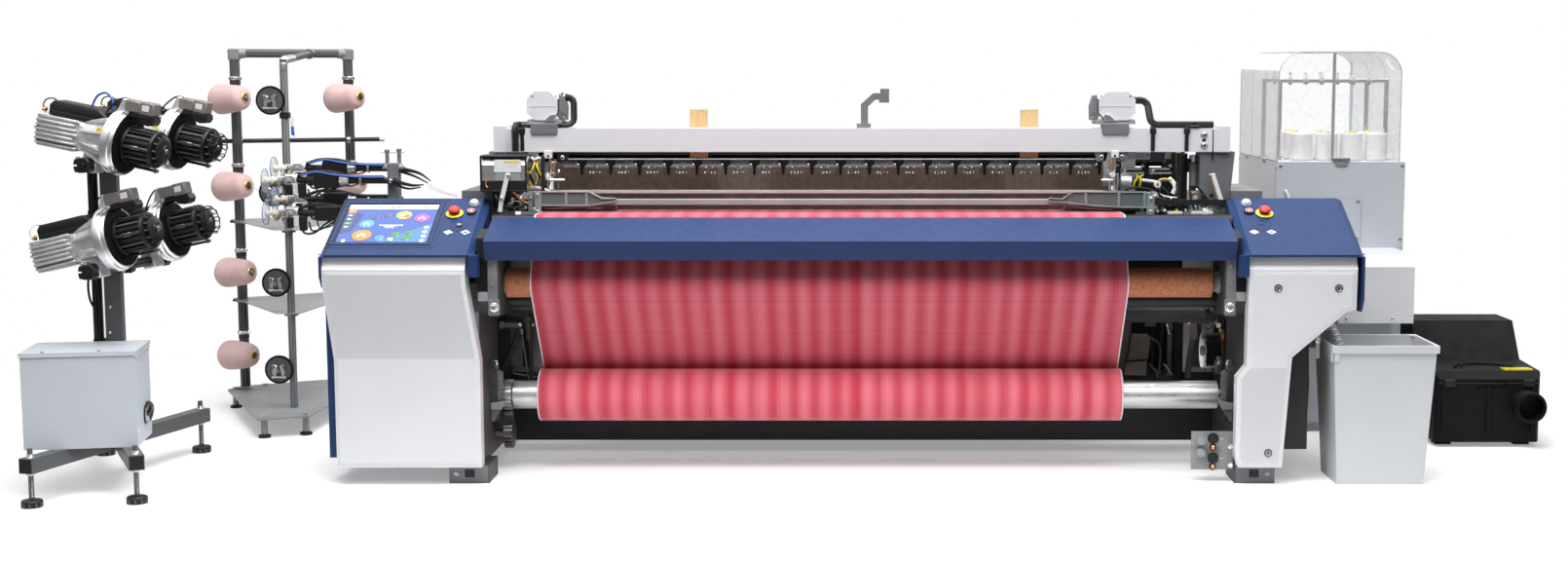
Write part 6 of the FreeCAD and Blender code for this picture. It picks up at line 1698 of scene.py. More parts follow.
YARN = yarn_finish()
GOLD = surface("gold_ring", (0.62, 0.42, 0.14), 0.34, 0.7, vary=0.1)
POST_LIGHT = surface("grey_tube_paint", (0.25, 0.26, 0.27), 0.40, vary=0.08, grain=1300)
SLEEVE = surface("dark_pole_sleeve", (0.040, 0.034, 0.031), 0.42, vary=0.3, scale=20, grain=800)
CAP_CREAM = surface("cream_cap", (0.70, 0.66, 0.60), 0.5, vary=0.05)
LEFT_POLE, RIGHT_POLE, FRONT_POLE = (-2620, 1580), (-2210, 1820), (-2280, 1120)
LEVELS = (239, 588, 947, 1309)          # heights of the cones on the left pole
CONES = [(*LEFT_POLE, z) for z in LEVELS] + [(*RIGHT_POLE, z) for z in LEVELS[2:]]
CONE_AIM = Vector((0.88, -0.47, 0.06)).normalized()
ARMS = ((1050, 925), (1010, 805), (930, 925), (885, 805))      # height and depth of each guide arm


def cone_point(cone, along):
    """Point on a cone's axis."""
    return Vector(cone) + Vector((14, -104, 0)) + CONE_AIM * along


def cones():
    """Yarn cones with grooved sides, their nose rings, cores and spindle ends."""
    k, w = Kit(), Kit()
    for i, cone in enumerate(CONES):
        at = cone_point(cone, -80)
        prof = [(0, 18), (0.5, 46), (4, 54), (12, 60), (22, 62), (44, 61.6), (80, 58), (112, 54), (134, 50),
                (146, 45.5), (154, 38), (158.5, 28), (159.5, 20)]
        fine = []
        for (a, ra), (b, rb) in zip(prof, prof[1:]):
            n = max(1, int((b - a) / 5))
            fine += [(a + (b - a) * j / n, ra + (rb - ra) * j / n - (0.5 if (len(fine) + j) % 2 else 0))
                     for j in range(n)]
        k.lathe(fine + [prof[-1], (159.5, 0)], at, CONE_AIM, YARN, 44, phase=i)
        w.lathe([(158, 20), (161, 21), (164, 18), (164, 13.5), (159, 12.5)], at, CONE_AIM, GOLD, 28)
        w.lathe([(159.4, 0), (159.4, 13.5), (162, 13), (162, 9)], at, CONE_AIM, BLACK, 20)
        w.lathe([(160, 0), (160, 9), (166, 9.5), (171, 7.5), (173, 0)], at, CONE_AIM,
                DULL_STEEL if i in (1, 3) else SLEEVE, 18)
        w.turned([(-32, 12), (-30, 14), (-18, 14), (-16, 11), (-2, 17), (1, 17)], at, CONE_AIM, BLACK, 18)
    k.done("cone_yarn", slot="pink_yarn", replaces=("yarn_packages",), angle=50)
    w.done("cone_cores", slot="black_plastic")


def creel_parts():
    """Clamps, sleeves, caps, feet and bars of the creel, and the hook plates on its front pole."""
    k = Kit()
    top = 1496
    for (x, y), zs, sleeves in ((LEFT_POLE, LEVELS, ((90, 165), (308, 450), (652, 664), (1014, 1118))),
                                (RIGHT_POLE, LEVELS[2:], ((90, 780), (1014, 1118)))):
        k.box((x - 22, y - 22, top - 28), (x + 22, y + 22, top + 18), POST_LIGHT, 4)
        way = 1 if (x, y) == LEFT_POLE else -1
        d = Vector((410, 240, 0)).normalized() * way
        k.rod(Vector((x, y, top)) + d * 10, Vector((x, y, top)) + d * 44, 21, POST_LIGHT, 24, 2)
        for z in zs:
            k.lathe([(0, 19), (0, 25), (2, 26), (12, 26), (14, 24), (14, 19)], (x, y, z + 76), UP, CHROME, 28)
            k.box((x + 14, y - 34, z + 79), (x + 24, y - 18, z + 87), CHROME, 1.5)
            k.rod((x, y, z + 58), (x, y, z + 76), 22, SLEEVE, 24, 1)
            k.bolt((x + 6, y - 25, z + 83), TO_FRONT, 3.6, STEEL)
        for z0, z1 in sleeves:
            k.rod((x, y, z0), (x, y, z1), 19.6, SLEEVE, 24, 0.5)
        k.lathe([(0, 19), (0, 30), (3, 31), (10, 25), (12, 19)], (x, y, 80), UP, POST_LIGHT, 28)
    x, y = FRONT_POLE
    k.rod((x, y, 80), (x, y, 1440), 14.6, POST_LIGHT, 24, 0.5)
    middle = Vector(((-2620 - 2 * 2210) / 3, (1580 + 2 * 1820) / 3, top))      # of the bar between the poles
    d = middle - Vector((x, y, 1464))
    k.tube([(x, y, 1425), (x, y, 1452), Vector((x, y, 1466)) + d * 0.02, Vector((x, y, 1467)) + d * 0.08,
            Vector((x, y, 1466)) + d * 0.2, Vector((x, y, 1464)) + d * 0.32], 15.5, ALU, 20, 5)
    k.lathe([(0, 12), (0, 20), (3, 22), (34, 22), (38, 19), (38, 12)],
            middle - d.normalized() * 44, d, DULL_STEEL, 24)
    k.box((x - 18, y - 18, 1237), (x + 18, y + 18, 1262), DARK, 3)
    k.box((x + 22, y - 3, 1204), (x + 33, y + 1, 1240), PURE_WHITE, 1)
    k.prism([(x + 23, 1172), (x + 36, 1168), (x + 33, 1206), (x + 22, 1206)], y - 3, y + 1, BLUE_PLASTIC, c=0.6)
    # cross bar with its end caps
    a, b = Vector((-2750, 1554, 1130)), Vector((-2060, 1794, 1130))
    d = (b - a).normalized()
    k.rod(a, b, 9.2, BLACK, 20, 1)
    k.rod(b - d * 16, b + d * 5, 10, CAP_CREAM, 20, 1)
    for t in (0.19, 0.79):
        k.lathe([(0, 9), (0, 15), (16, 15), (16, 9)], a + (b - a) * t, d, DULL_STEEL, 16)
    # hook plates on the front pole
    for z in LEVELS:
        c = Vector((x - 46, y - 40, z))
        k.turned([(-1, 55.6), (2, 57), (10, 57), (12.6, 55.6), (12.6, 50), (8, 48)], (c.x, y - 27, z), TO_FRONT,
                 BLACK_ROUGH, 56)
        for side in (-1, 1):
            k.prism([(c.x + side * 6, z + 14), (c.x + side * 14, z + 20), (c.x + side * 26, z - 8),
                     (c.x + side * 22, z - 22), (c.x + side * 12, z - 26), (c.x + side * 8, z - 6)],
                    y - 45, y - 40, ALU, c=1.2)
            k.box((c.x + side * 20 - 5, y - 52, z + 4), (c.x + side * 20 + 5, y - 40, z + 22), DULL_STEEL, 2)
        k.rod((c.x, y - 54, z - 6), (c.x, y - 38, z - 6), 6, DULL_STEEL, 14, 1)
        k.box((c.x - 28, y - 46, z - 34), (c.x + 28, y - 40, z - 27), ALU, 1.5)
        for dx in (-24, 24):
            k.bolt((c.x + dx, y - 46, z - 30), TO_FRONT, 3.4, CHROME)
    for x, y in ((-2660, 1570), (-2335, 900), (-2190, 960), (-2150, 1800), (-2560, 1660)):
        k.turned([(0, 24), (10, 24), (14, 12)], (x, y, 0), UP, BLACK, 20)
        k.turned([(0, 14), (8, 14)], (x, y, 80), UP, STEEL, 6)
    for z in (461, 795):
        for x, y in (LEFT_POLE, RIGHT_POLE, FRONT_POLE):
            k.lathe([(0, 14), (0, 27), (8, 27), (8, 14)], (x, y, z - 9), UP, DULL_STEEL, 22)
        k.box((-2667, 1592, z - 10), (-2650, 1612, z), DARK, 2)
    for v in k.verts:                    # clamps are flat where they meet the top of the stand
        v.z = min(v.z, 1514.8)
    k.done("creel_fittings", slot="dark_steel")
    soften("creel_shelves", 1.0)


def arm_works():
    """Guide arms: clear discs, fittings, tubes, motors and hanging cables."""
    k = Kit()
    foot_x, foot_y = -1790, 850
    k.box((foot_x - 22, foot_y - 22, 796), (foot_x + 22, foot_y + 22, 1075), CAST, 3)
    for n, (z, y) in enumerate(ARMS):
        y0, y1 = sorted((foot_y, y))
        k.box((foot_x - 14, y0, z - 12), (foot_x + 14, y1, z + 12), DULL_STEEL, 2)
        x = foot_x
        # disc with a blue rim
        k.turned([(0, 44), (3, 46), (8, 46)], (x - 486, y, z), RIGHT, ACRYLIC, 44)
        k.ring((x - 482, y, z), RIGHT, 45, 1.7, BLUE_PLASTIC, 44, 6)
        k.turned([(-4, 9), (0, 16), (8, 16), (12, 8), (30, 7)], (x - 480, y, z), RIGHT, CAP_CREAM, 20)
        # fittings
        k.lathe([(0, 6), (0, 15), (3, 17), (10, 17), (13, 13), (18, 13), (21, 16), (28, 16), (30, 8)],
                (x - 456, y, z), RIGHT, CAP_CREAM, 20)
        k.rod((x - 476, y, z), (x - 380, y, z), 6, STEEL, 14)
        k.box((x - 428, y - 20, z - 14), (x - 404, y + 16, z + 16), ALU, 3)
        k.box((x - 424, y - 24, z - 46), (x - 412, y - 8, z - 10), CAP_CREAM, 2)
        k.box((x - 404, y - 18, z - 10), (x - 366, y + 18, z + 24), CAST_ALU, 5)
        k.lathe([(0, 12), (0, 19), (4, 20), (16, 20), (18, 15), (18, 10)], (x - 372, y, z + 8),
                (1, 0, -0.1), ALU, 20)
        k.box((x - 396, y - 26, z - 54), (x - 372, y + 4, z - 14), BLACK, 2)
        k.box((x - 370, y - 26, z - 50), (x - 352, y + 4, z - 8), CAP_CREAM, 2)
        k.box((x - 350, y - 22, z - 66), (x - 326, y + 10, z - 8), BLACK, 3)
        for dx in (-418, -386, -360):
            k.bolt((x + dx, y - 22, z + 4), TO_FRONT, 3.6, CHROME)
        for j in range(5):
            k.lathe([(0, 3), (0, 6 + (j + n) % 3), (5, 6 + j % 2), (5, 3)],
                    (x - 446 + j * 9, y - 20, z - 24 + (j * 7 + n * 5) % 20), (0, -1, 0.2),
                    (BRASS, CHROME, BLACK)[(j + n) % 3], 12)
        # motor block and tubes to the foot
        k.box((x - 290, y - 26, z - 28), (x - 200, y + 26, z + 30), BLACK, 6)
        k.box((x - 292, y - 20, z - 20), (x - 286, y + 20, z + 22), DULL_STEEL, 2)
        k.rod((x - 356, y, z + 2), (x - 288, y, z), 13.5, BLACK, 18, 2)
        k.rod((x - 202, y, z), (x + 14, y, z), 12, BLACK, 18, 2)
        k.lathe([(0, 12), (0, 17), (30, 17), (34, 13)], (x - 196, y, z), RIGHT,
                ALU if n % 2 == 0 else CAP_CREAM, 20)
        k.lathe([(0, 12), (0, 16), (8, 16), (8, 12)], (x - 120, y, z), RIGHT, DULL_STEEL, 18)
        k.tube([(x - 352, y - 10, z + 18), (x - 300, y - 14, z + 34), (x - 230, y - 12, z + 33),
                (x - 150, y - 8, z + 16), (x - 30, y - 6, z + 14)], 6.5, BLACK, 10, 6)
        if n < 2:
            k.tube([(x - 340, y - 20, z + 20), (x - 280, y - 24, z + 34), (x - 200, y - 26, z + 22),
                    (x - 110, y - 20, z + 15), (x - 20, y - 16, z + 14)], 3.6, BLUE_PLASTIC, 10, 6)
        # cables hanging under the arm
        rng = random.Random(20 + n)
        for j in range(3):
            a, b = x - 345 + 30 * j, x - 220 + 34 * j
            drop = 52 - 8 * j + rng.uniform(-5, 6)
            k.tube([(a, y - 12, z - 40 + 8 * j), (a + 12, y - 16, z - drop - 16),
                    (a + 50, y - 14, z - drop - 8 - rng.uniform(0, 8)),
                    ((a + b) / 2 + 22, y - 10, z - drop + 12), (b, y - 8, z - 20), (b + 26, y - 4, z - 12)],
                   4.2 - 0.6 * j, RUBBER, 8, 5)
        k.bolt((x, y - 13, z), TO_FRONT, 6, CHROME)
    for px, hi in ((-1815, 1128), (-1769, 1131)):
        k.rod((px, 850, 1060), (px, 850, hi), 7.5, STEEL, 18, 1)
        k.lathe([(0, 7), (0, 10), (7, 10), (7, 7)], (px, 850, hi - 12), UP, DULL_STEEL, 14)
        k.lathe([(0, 8), (0, 12), (10, 12), (10, 8)], (px, 850, 1062), UP, CAP_CREAM, 14)
    k.box((-1838, 846, 1113), (-1748, 852, 1117), STEEL, 1)
    k.box((-1830, 830, 1050), (-1752, 872, 1062), CAST, 3)
    for j, (z, y) in enumerate(ARMS[:2]):
        k.tube([(-1780, y, z - 2), (-1700, y - 60, z - 14), (-1640, y - 130, 1010 - 8 * j)], 9, BLACK, 12, 5,
               taper=lambda t: 1 - 0.75 * t)
        k.tube([(-1780, y - 6, z - 12), (-1720, y - 40, z - 28), (-1660, y - 90, 1000 - 10 * j)], 6, BLACK, 10,
               5, taper=lambda t: 1 - 0.6 * t)
    k.done("guide_arms", slot="black_plastic", replaces=("weft_arms",))


def weft_yarns():
    """Yarn from the cones to the hooks, and from the arms to the feeders."""
    k = Kit()
    for j, (z, y) in enumerate(((1000, 790), (996, 760), (990, 720))):
        k.tube([(-1650 + 8 * j, y, z), (-1540, 520 - 30 * j, 990), (-1440, 330, 985 - 3 * j)], 0.9, YARN, 5, 4)
    for cone in CONES[:4]:
        tip, hook = cone_point(cone, 92), Vector((-2326, 1074, cone[2]))
        k.tube([tip, (tip + hook) / 2 + Vector((0, 0, -14)), hook], 0.7, YARN, 5, 4)
    k.done("weft_yarns", slot="pink_yarn")


cones()
creel_parts()
arm_works()
weft_yarns()


# ---------------------------------------------------------------- cabinet, spools, hood, bin and dust box
def spool_finish():
    """White thread in fine level turns."""
    m, nt, b = tree("white_spool_thread")
    rings = line_noise(nt, parts_of(nt, new(nt, "TexCoord").outputs["Object"])["Z"], 620, 3)
    link(nt, ramp(nt, rings, (0.3, (0.80, 0.80, 0.80)), (0.65, (0.95, 0.95, 0.94))), b.inputs["Base Color"])
    bump(nt, b, rings, 0.0006)
    put(b, Roughness=0.8, Specular_IOR_Level=0.2)
    return m


SPOOL_THREAD = spool_finish()
EDGE = surface("sheet_edge", (0.50, 0.55, 0.60), 0.25, vary=0.05, coat=0.3)
PLATE_WHITE = surface("white_sheet", (0.86, 0.88, 0.90), 0.35, vary=0.02, grain=900, depth=0.0)
CX0, CX1, CY0, CY1, CTOP = 1620, 2120, 1000, 1770, 1070     # sides, front, back and top of the cabinet
COVER_TOP, COVER_BEND = 1500, 90                            # clear cover: its top and the radius of its edges
SPOOL_UP = 111                                              # height of a spool's thread


def spools():
    """Ten spools on the cabinet: grooved thread, foot and coloured tip."""
    k, w = Kit(), Kit()
    thread = [(5, 38), (7, 42)] + [(9 + j * 4, 43.6 - 0.5 * (j % 2) - 0.9 * (j / 24)) for j in range(25)]
    thread += [(109, 41.5), (SPOOL_UP, 37)]
    spots = [(CX0 + 110 + 98 * n, CY0 + y, CTOP) for y, count in ((75, 4), (215, 4),
            (340, 2)) for n in range(count)]
    for i, at in enumerate(spots):
        k.turned(thread, at, UP, SPOOL_THREAD, 36, phase=i)
        w.turned([(0, 36), (2, 38), (4.5, 38), (5.5, 34)], at, UP, BLACK, 28)
        w.turned([(SPOOL_UP, 14), (115, 13), (117, 11), (117, 5), (113, 4)], at, UP,
                 YELLOW if i % 3 else PURE_WHITE, 24)
    k.done("spool_thread", slot="white_yarn", replaces=("thread_spools",), angle=50)
    w.done("spool_cores", slot="white_plastic")


def cabinet_fittings():
    """Screws, hinges, latch and thread posts of the cabinet."""
    k = Kit()
    # corner screws, panel outline and screws on the front
    for x, z in ((CX0 + 14, CTOP - 14), (CX1 - 12, CTOP - 14), (CX1 - 12, 770), (CX0 + 14, 770),
                 (CX0 + 14, 470), (CX1 - 12, 470)):
        k.turned([(0, 7), (2, 6.6), (3.2, 4)], (x, CY0, z), TO_FRONT, DULL_STEEL, 16)
        k.box((x - 4, CY0 - 3.5, z - 0.8), (x + 4, CY0 - 2.8, z + 0.8), BLACK, 0.2)
    px0, px1 = CX0 + 190, CX0 + 330
    for a, b, c, d in ((px0 - 1.4, px1 + 1.4, 758.6, 760), (px0 - 1.4, px1 + 1.4, 930, 931.4),
                       (px0 - 1.4, px0, 758.6, 931.4), (px1, px1 + 1.4, 758.6, 931.4)):
        k.box((a, CY0 - 1.2, c), (b, CY0 + 0.5, d), DULL_STEEL, 0.2)
    for x in (px0 + 12, px1 - 12):
        for z in (772, 918):
            k.turned([(0, 6.5), (2, 6), (3, 3.6)], (x, CY0 - 4, z), TO_FRONT, DULL_STEEL, 16)
    # door line and hinges on the left side
    k.box((CX0 - 0.8, CY0 + 30, 60), (CX0 + 0.4, CY0 + 31.5, CTOP - 12), CAST, 0.2)
    for z in (CTOP - 20, 760, 400):
        k.bolt((CX0, CY0 + 12, z), LEFT, 4.5, DULL_STEEL, socket=False)
        k.bolt((CX0, CY1 - 20, z), LEFT, 4.5, DULL_STEEL, socket=False)
    # latch at the front of the cover and hinge plates
    k.box((CX0 + 214, CY0 - 6, CTOP + 4), (CX0 + 284, CY0 + 6, CTOP + 18), DULL_STEEL, 2)
    k.prism([(CX0 + 222, CTOP + 4), (CX0 + 276, CTOP + 4), (CX0 + 270, CTOP - 16), (CX0 + 230, CTOP - 16)],
            CY0 - 5, CY0 - 1, CAST, c=1)
    for y in (CY0 + 210, CY0 + 560):
        k.box((CX0 - 3, y, CTOP - 12), (CX0 + 14, y + 60, CTOP + 4), CAST_LIGHT, 2)
    # chrome posts and hooks
    for x in (CX0 + 30, CX1 - 50):
        for y in (CY0 + 120, CY0 + 420):
            k.rod((x, y, CTOP), (x, y, 1391), 8.7, CHROME, 18, 1)
            k.turned([(0, 16), (6, 16), (8, 10)], (x, y, CTOP), UP, DULL_STEEL, 20)
    for y in (CY0 + 120, CY0 + 420):
        k.box((CX0 + 23, y - 7.6, 1377.4), (CX1 - 43, y + 7.6, 1392.6), CHROME, 1.5)
        for n in range(6):
            x = CX0 + 70 + n * 62
            k.turned([(0, 6), (3, 7), (9, 7), (12, 4.5), (22, 3.4), (26, 5), (30, 3)], (x, y, 1391), UP,
                     CAP_CREAM, 14)
            k.rod((x, y - 32, 1385), (x, y - 6, 1385), 3.2, CHROME, 12, 0.6)
            k.ring((x, y - 33, 1382), TO_BACK, 5, 1.3, CHROME, 18, 6)
            k.box((x - 5, y - 9, 1370), (x + 5, y + 2, 1379), DULL_STEEL, 1)
    k.rod((CX0 + 217, CY0 + 14, CTOP + 2), (CX0 + 217, CY0 + 14, 1494), 6.5, CHROME, 18, 1)
    k.box((CX0 + 211, CY0 + 10, 1492), (CX0 + 223, CY0 + 40, 1496), CHROME, 1)
    k.done("cabinet_fittings", slot="steel")


def quarter(middle, y, r, start, steps=8):
    """Points inside a quarter turn round middle (x, z), clockwise from the angle start."""
    angles = [start - math.pi / 2 * i / steps for i in range(1, steps)]
    return [(middle[0] + r * math.cos(t), y, middle[1] + r * math.sin(t)) for t in angles]


def cover_edges():
    """White sheet under the clear cover, and the cover's bent edges."""
    k = Kit()
    k.box((CX0 + 3, CY0 + 4, CTOP + 0.2), (CX1 - 4, CY1 - 4, CTOP + 3.4), PLATE_WHITE, 1)
    left, right, top, c = CX0 + 2, CX1 - 22, COVER_TOP - 2, COVER_BEND
    for y, r in ((CY0 + 8, 2.2), (CY1 - 3, 1.8), (CY0 + 250, 1.1), (CY0 + 520, 1.1)):
        pts = [(left, y, CTOP + 6), (left, y, COVER_TOP - c)]
        pts += quarter((left + c, top - c), y, c, math.pi)
        pts += [(CX0 + c, y, top), (CX1 - 20 - c, y, top)]
        pts += quarter((right - c, top - c), y, c, math.pi / 2)
        pts += [(right, y, COVER_TOP - c), (right, y, CTOP + 6)]
        k.tube(pts, r, EDGE, 6, 1)
    for x in (left, right):
        k.tube([(x, CY0 + 8, CTOP + 5), (x, CY1 - 4, CTOP + 5)], 2, EDGE, 6, 1)
    k.box((CX1 - 34, CY1 - 10, CTOP + 4), (CX1 - 24, CY1 - 5, COVER_TOP - 40), EDGE, 1)
    k.done("cover_edges", slot="clear_plastic")


def hood_fittings():
    """Plain plate and handle of the cabinet, screws and seam of the motor's hood."""
    k = Kit()
    k.prism([(1905, 690), (1938, 690), (1938, 694), (1905, 694)], 1002, 1003, LIGHT_GREY)
    k.rod((1668, 990, 930), (1652, 990, 962), 6, PURE_WHITE, 12, 1)
    k.turned([(0, 9), (10, 9)], (1668, 990, 930), TO_BACK, DULL_STEEL, 16)
    for x in (1833, 2007):
        k.bolt((x, 700, 494), TO_FRONT, 5.5, CHROME, socket=False)
    k.box((1799.6, 699.5, 686.8), (2085.4, 702, 688.2), LIGHT_GREY, 0.3)
    k.bolt((1815, 800, 735), UP, 6, CHROME, socket=False)
    k.done("hood_fittings", slot="white_paint")


def bin_rim():
    """Rolled rim of the waste bin, and its clip."""
    soften("waste_bin", 7.0, 30, 3)
    k = Kit()
    x0, x1 = 1612, 1980
    pts = []
    for cx, cy, a0 in ((x0 + 30, 30, 180), (x1 - 30, 30, 270), (x1 - 30, 270, 0), (x0 + 30, 270, 90)):
        for i in range(7):
            t = math.radians(a0 + i * 15)
            pts.append((cx + 24 * math.cos(t), cy + 24 * math.sin(t), 485))
    pts.append(pts[0])
    k.tube(pts, 5.5, BIN, 10, 1)
    k.box((x0 + 2, 20, 430), (x0 + 10, 60, 470), BIN, 3)
    k.box((x0 + 8, 1, 434), (x0 + 26, 10, 464), BIN, 3)
    k.done("bin_rim", slot="bin_plastic")


def waste_hose():
    """Ribbed hose into the bin, with its bracket."""
    k = Kit()
    line = smooth_path([(1540, 420, 560), (1590, 380, 566), (1640, 330, 548), (1672, 280, 505),
                        (1690, 250, 455), (1696, 236, 410)], 7)
    for i, (p, t) in enumerate(zip(line, tangents(line))):
        k.lathe([(-5.2, 19), (-2, 23), (1.5, 23), (4.2, 19), (5.4, 19)], p, t,
                LIGHT_GREY if i % 2 else CAST_ALU, 20)
    k.tube([(1560, 430, 545), (1610, 400, 540), (1650, 370, 512), (1668, 350, 470), (1668, 340, 420)], 6,
           YARN_RED, 8, 6)
    k.box((1566, 52, 440), (1580, 60, 520), CAST_LIGHT, 2)
    k.bolt((1573, 52, 502), TO_FRONT, 6, CHROME)
    k.box((1570, 60, 492), (1580, 330, 512), CAST_LIGHT, 2)
    k.box((1552, 292, 440), (1640, 300, 486), CAST_LIGHT, 3)
    k.done("waste_hose", slot="grey_casting")


def lower_cover():
    """Black cover beside the loom's right foot."""
    k = Kit()
    k.prism([(1470, 432), (1606, 432), (1610, 300), (1604, 130), (1586, 108), (1482, 108), (1466, 160),
             (1472, 300)], 318, 470, BLACK_ROUGH, c=8)
    k.box((1478, 312, 150), (1590, 319, 410), BLACK_ROUGH, 6)
    k.done("lower_cover", slot="black_plastic")


def dust_box_trim():
    """Lid seam, two moulded arcs, duct lip, ribs and latches of the dust box."""
    k = Kit()
    k.box((2188, 697.4, 244), (2572, 700.6, 248), BLACK, 0.8)
    x, y, turn = 2385, 780, [math.pi * i / 16 for i in range(17)]
    k.tube([(x - 110 * math.cos(t), y + 84 * math.sin(t), 296.5 + 4.62 * math.sin(t)) for t in turn],
           5, BLACK_ROUGH, 8, 1)
    k.tube([(x - 90.2 * math.cos(t), y + 67.2 * math.sin(t), 297.5 + 4.62 * math.sin(t)) for t in turn],
           3.5, BLACK_ROUGH, 8, 1)
    k.prism([(2450, 735), (2556, 735), (2550, 775), (2444, 775)], 290.2, 296.8, YELLOW, "z", c=0.5)
    k.lathe([(-6, 49), (-6, 57.5), (-2, 59), (8, 59), (12, 56.5), (12, 49)], (2518, 627, 165), TO_BACK,
            BLACK_ROUGH, 44)
    for j in range(3):
        k.lathe([(0, 55.5), (1, 57.5), (6, 57.5), (7, 55.5)], (2518, 652 + j * 16, 165), TO_BACK,
                BLACK_ROUGH, 44)
    for x in (2210, 2380, 2550):
        k.prism([(690, 60), (697, 60), (700, 240), (697, 240)], x - 8, x + 8, BLACK_ROUGH, "x", c=2)
    for x in (2230, 2530):
        k.box((x - 22, 692, 232), (x + 22, 700, 262), BLACK, 3)
    k.box((2224, 965, 300), (2270, 975, 340), BLACK, 3)
    k.done("dust_box_trim", slot="black_plastic")
    soften("dust_box", 12.0, 25, 3)


spools()
cabinet_fittings()
cover_edges()
hood_fittings()
bin_rim()
waste_hose()
lower_cover()
dust_box_trim()


def dress_faces(node, materials, pick):
    """Give each face of a CAD node the finish that pick chooses from the face's middle."""
    dress(node, *materials)
    ob = NODE[node]
    for p in ob.data.polygons:
        p.material_index = pick(ob.matrix_world @ p.center)


RACK = surface("rack_wire", (0.50, 0.51, 0.52), 0.4, 0.4, vary=0.1)
# above the cabinet's top it is wire, and its left side takes the lighter white paint as painted light
dress_faces("control_cabinet", (CABINET_GREY, WHITE, RACK), lambda c: 2 if c.z > 1.08 else int(c.x < 1.622))
dress_faces("end_housings", (BLUE, DARK), lambda c: int(c.x > 0))
dress_faces("creel_frame", (POST, CAST_LIGHT), lambda c: int(c.z < 0.09))


# ---------------------------------------------------------------- temple castings and the end of the harness
TEMPLE = surface("temple_casting", (0.105, 0.135, 0.138), 0.55, vary=0.12, scale=9, grain=420,
                 depth=0.0003, spec=0.35)
TEMPLE_RIM = surface("temple_rims", (0.235, 0.28, 0.28), 0.5, vary=0.10, scale=9, grain=420,
                     depth=0.0003, spec=0.4)


def temple_fronts():
    """Webbed fronts of the two temple castings, ahead of the bar that carries them."""
    k = Kit()
    left = [(-1166, 996), (-976, 996), (-929, 972), (-878, 973), (-878, 964), (-971, 948), (-1143, 948),
            (-1166, 948)]
    right = [(1015, 995), (1043, 970), (1043, 940), (926, 942), (817, 948), (739, 958), (668, 963), (668, 974),
             (716, 970), (751, 996)]
    for outline in (left, right):
        k.prism(outline, 348, 352.6, TEMPLE)
        for a, b in zip(outline, outline[1:] + outline[:1]):
            k.prism(bar_outline(a, b, 2.5)[::-1], 343, 352.8, TEMPLE_RIM, c=0.8)
    for x, lo, hi in ((-1057, 948, 996), (-984, 948, 996), (918, 942, 996), (800, 950, 996), (1010, 942, 994)):
        k.box((x - 5, 343, lo), (x + 5, 352.8, hi), TEMPLE_RIM, 1.5)
    k.box((-1172, 342, 912), (-1146, 352.8, 999), TEMPLE_RIM, 3)
    k.box((1018, 342, 914), (1046, 352.8, 984), TEMPLE_RIM, 3)
    for x, z in ((-1159, 986), (-1159, 926), (1032, 972), (1032, 926)):
        k.bolt((x, 342, z), TO_FRONT, 5, CHROME)
    k.done("temple_fronts", slot="grey_casting")


def harness_end():
    """Shaded wall, posts and last heddles between the heald frames and the right side frame."""
    k = Kit()
    # The wall and posts are near black as painted shade.
    k.box((973, 716, 905), (1213, 723, 1134), SHADE_BLACK, 3)
    k.box((973, 690, 1084), (1140, 712, 1134), DARK, 3)
    for x in (1056, 1132):
        k.box((x - 8, 684, 990), (x + 8, 712, 1090), SHADE_BLACK, 3)
    for i in range(44):
        x = 977 + i * 3.6
        k.rod((x, 702 - (i % 4) * 4, 925), (x, 702 - (i % 4) * 4, 1062), 0.8, TAUPE if i % 3 else DULL_STEEL, 5)
    for x0, x1 in ((976, 1046), (1068, 1122)):
        for z in (1067, 1043):
            k.box((x0 + 4, 672, z - 3), (x1 - 4, 684, z + 3), SPRING, 1.5)
    k.done("harness_end", slot="dark_steel")


temple_fronts()
harness_end()


# ---------------------------------------------------------------- stage, light and camera
def floor_finish():
    """White floor that fades out towards its edges and keeps the loom's shadow."""
    m, nt, b = tree("pale_floor")
    path = new(nt, "LightPath").outputs
    seen = calc(nt, "MAXIMUM", path["Is Camera Ray"],
                calc(nt, "MAXIMUM", path["Is Glossy Ray"], path["Is Transmission Ray"]))
    put(b, Base_Color=(0.86, 0.86, 0.86, 1), Roughness=0.9, Emission_Color=(1, 1, 1, 1))
    link(nt, calc(nt, "MULTIPLY", seen, 0.30), b.inputs["Emission Strength"])
    place = new(nt, "TexCoord").outputs["Object"]
    stretch = new(nt, "Mapping", Scale=(1 / 3.4, 1 / 1.9, 1))
    link(nt, place, stretch.inputs["Vector"])
    far = new(nt, "VectorMath")
    far.operation = "LENGTH"
    link(nt, stretch.outputs["Vector"], far.inputs[0])
    link(nt, spread(nt, far.outputs["Value"], 1.0, 0.0, 0.8, 1.5), b.inputs["Alpha"])
    return m


def floor():
    """Floor under the whole group, far wider than the part of it that shows."""
    r = 30.0
    me = bpy.data.meshes.new("studio_floor")
    me.from_pydata([(-r, -r, 0), (r, -r, 0), (r, r, 0), (-r, r, 0)], [], [(0, 1, 2, 3)])
    me.materials.append(floor_finish())
    add_object("studio_floor", me)


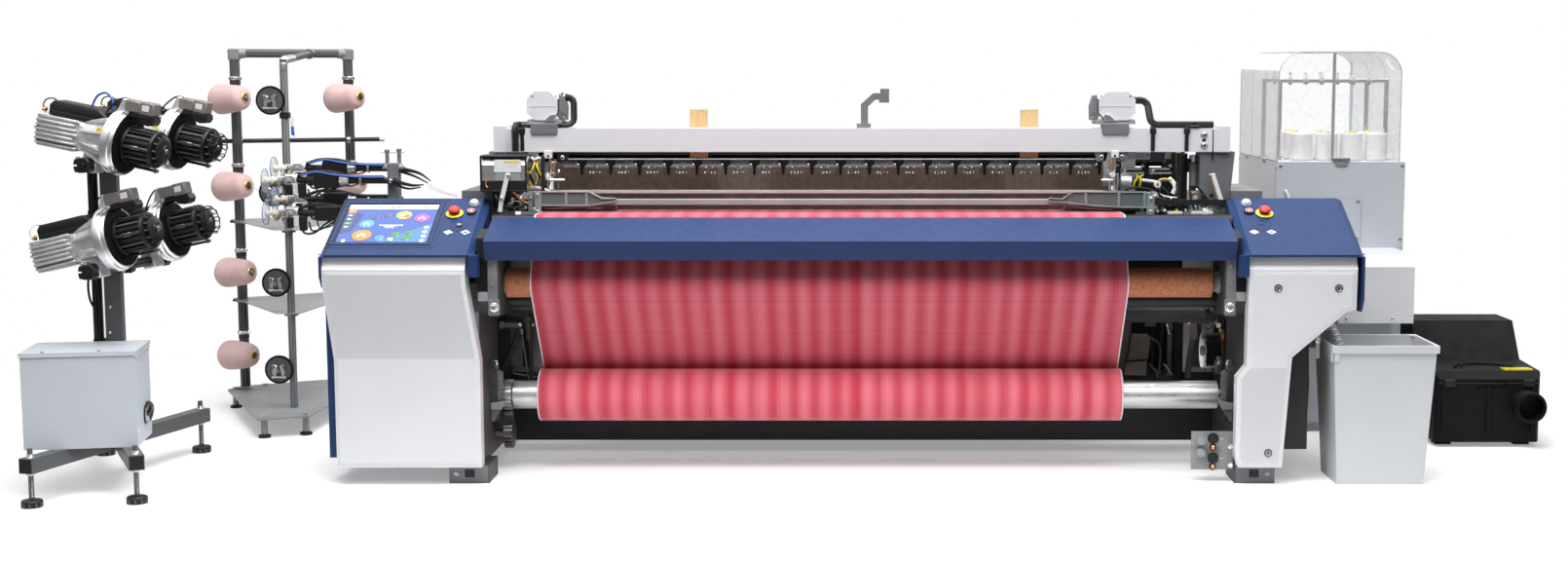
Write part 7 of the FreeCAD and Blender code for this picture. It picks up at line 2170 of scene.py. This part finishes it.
def studio_world():
    """White behind the object, a dim room on it, and for reflections a room that brightens upwards."""
    room = 0.18             # brightness of the dim room
    world = bpy.data.worlds.new("studio")
    bpy.context.scene.world = world
    world.use_nodes = True
    nt = world.node_tree
    bg = nt.nodes["Background"]
    put(bg, Color=(1, 1, 1, 1))
    path = new(nt, "LightPath").outputs
    sep = new(nt, "SeparateXYZ")
    link(nt, new(nt, "TexCoord").outputs["Generated"], sep.inputs[0])
    up = calc(nt, "POWER", calc(nt, "MAXIMUM", sep.outputs["Z"], 0.0), 1.4)
    sky = calc(nt, "MULTIPLY_ADD", up, 1.9, 0.24)
    mirrored = calc(nt, "MULTIPLY", path["Is Glossy Ray"], calc(nt, "SUBTRACT", sky, room))
    level = calc(nt, "ADD", room, mirrored)
    seen = calc(nt, "MAXIMUM", path["Is Camera Ray"], path["Is Transmission Ray"])
    link(nt, calc(nt, "MAXIMUM", seen, level), bg.inputs["Strength"])


def lamps():
    """Four square lamps: name, place, aim, size in metres and power in watts."""
    for name, at, aim, size, power in (
        ("key", (-2.0, -4.2, 6.2), (0, -0.4, 0.6), 4.0, 170),
        ("fill", (3.2, -4.6, 5.2), (0, -0.4, 0.6), 4.0, 90),
        ("top", (0.0, -1.9, 6.2), (0, -0.6, 0.5), 5.0, 520),
        ("back", (0.5, 6.5, 3.8), (0, 0, 0.7), 4.0, 110),
    ):
        data = bpy.data.lights.new(name, "AREA")
        data.energy = power
        data.size = size
        lamp = add_object(name, data)
        lamp.location = at
        lamp.rotation_euler = (Vector(aim) - Vector(at)).to_track_quat("-Z", "Y").to_euler()


def camera():
    """The photograph's view, fitted to the edges of the loom and its stands."""
    cam = bpy.data.cameras.new("camera")
    cam.lens = 44.7
    cam.sensor_width = 36
    cam.sensor_fit = "HORIZONTAL"
    cam.shift_x = -0.0497
    eye = add_object("camera", cam)
    eye.location = (0, -7.45, 1.445)
    eye.rotation_euler = (math.radians(90 - 6.3), 0, 0)
    bpy.context.scene.camera = eye


floor()
studio_world()
lamps()
camera()
bpy.context.scene.view_settings.view_transform = "Standard"
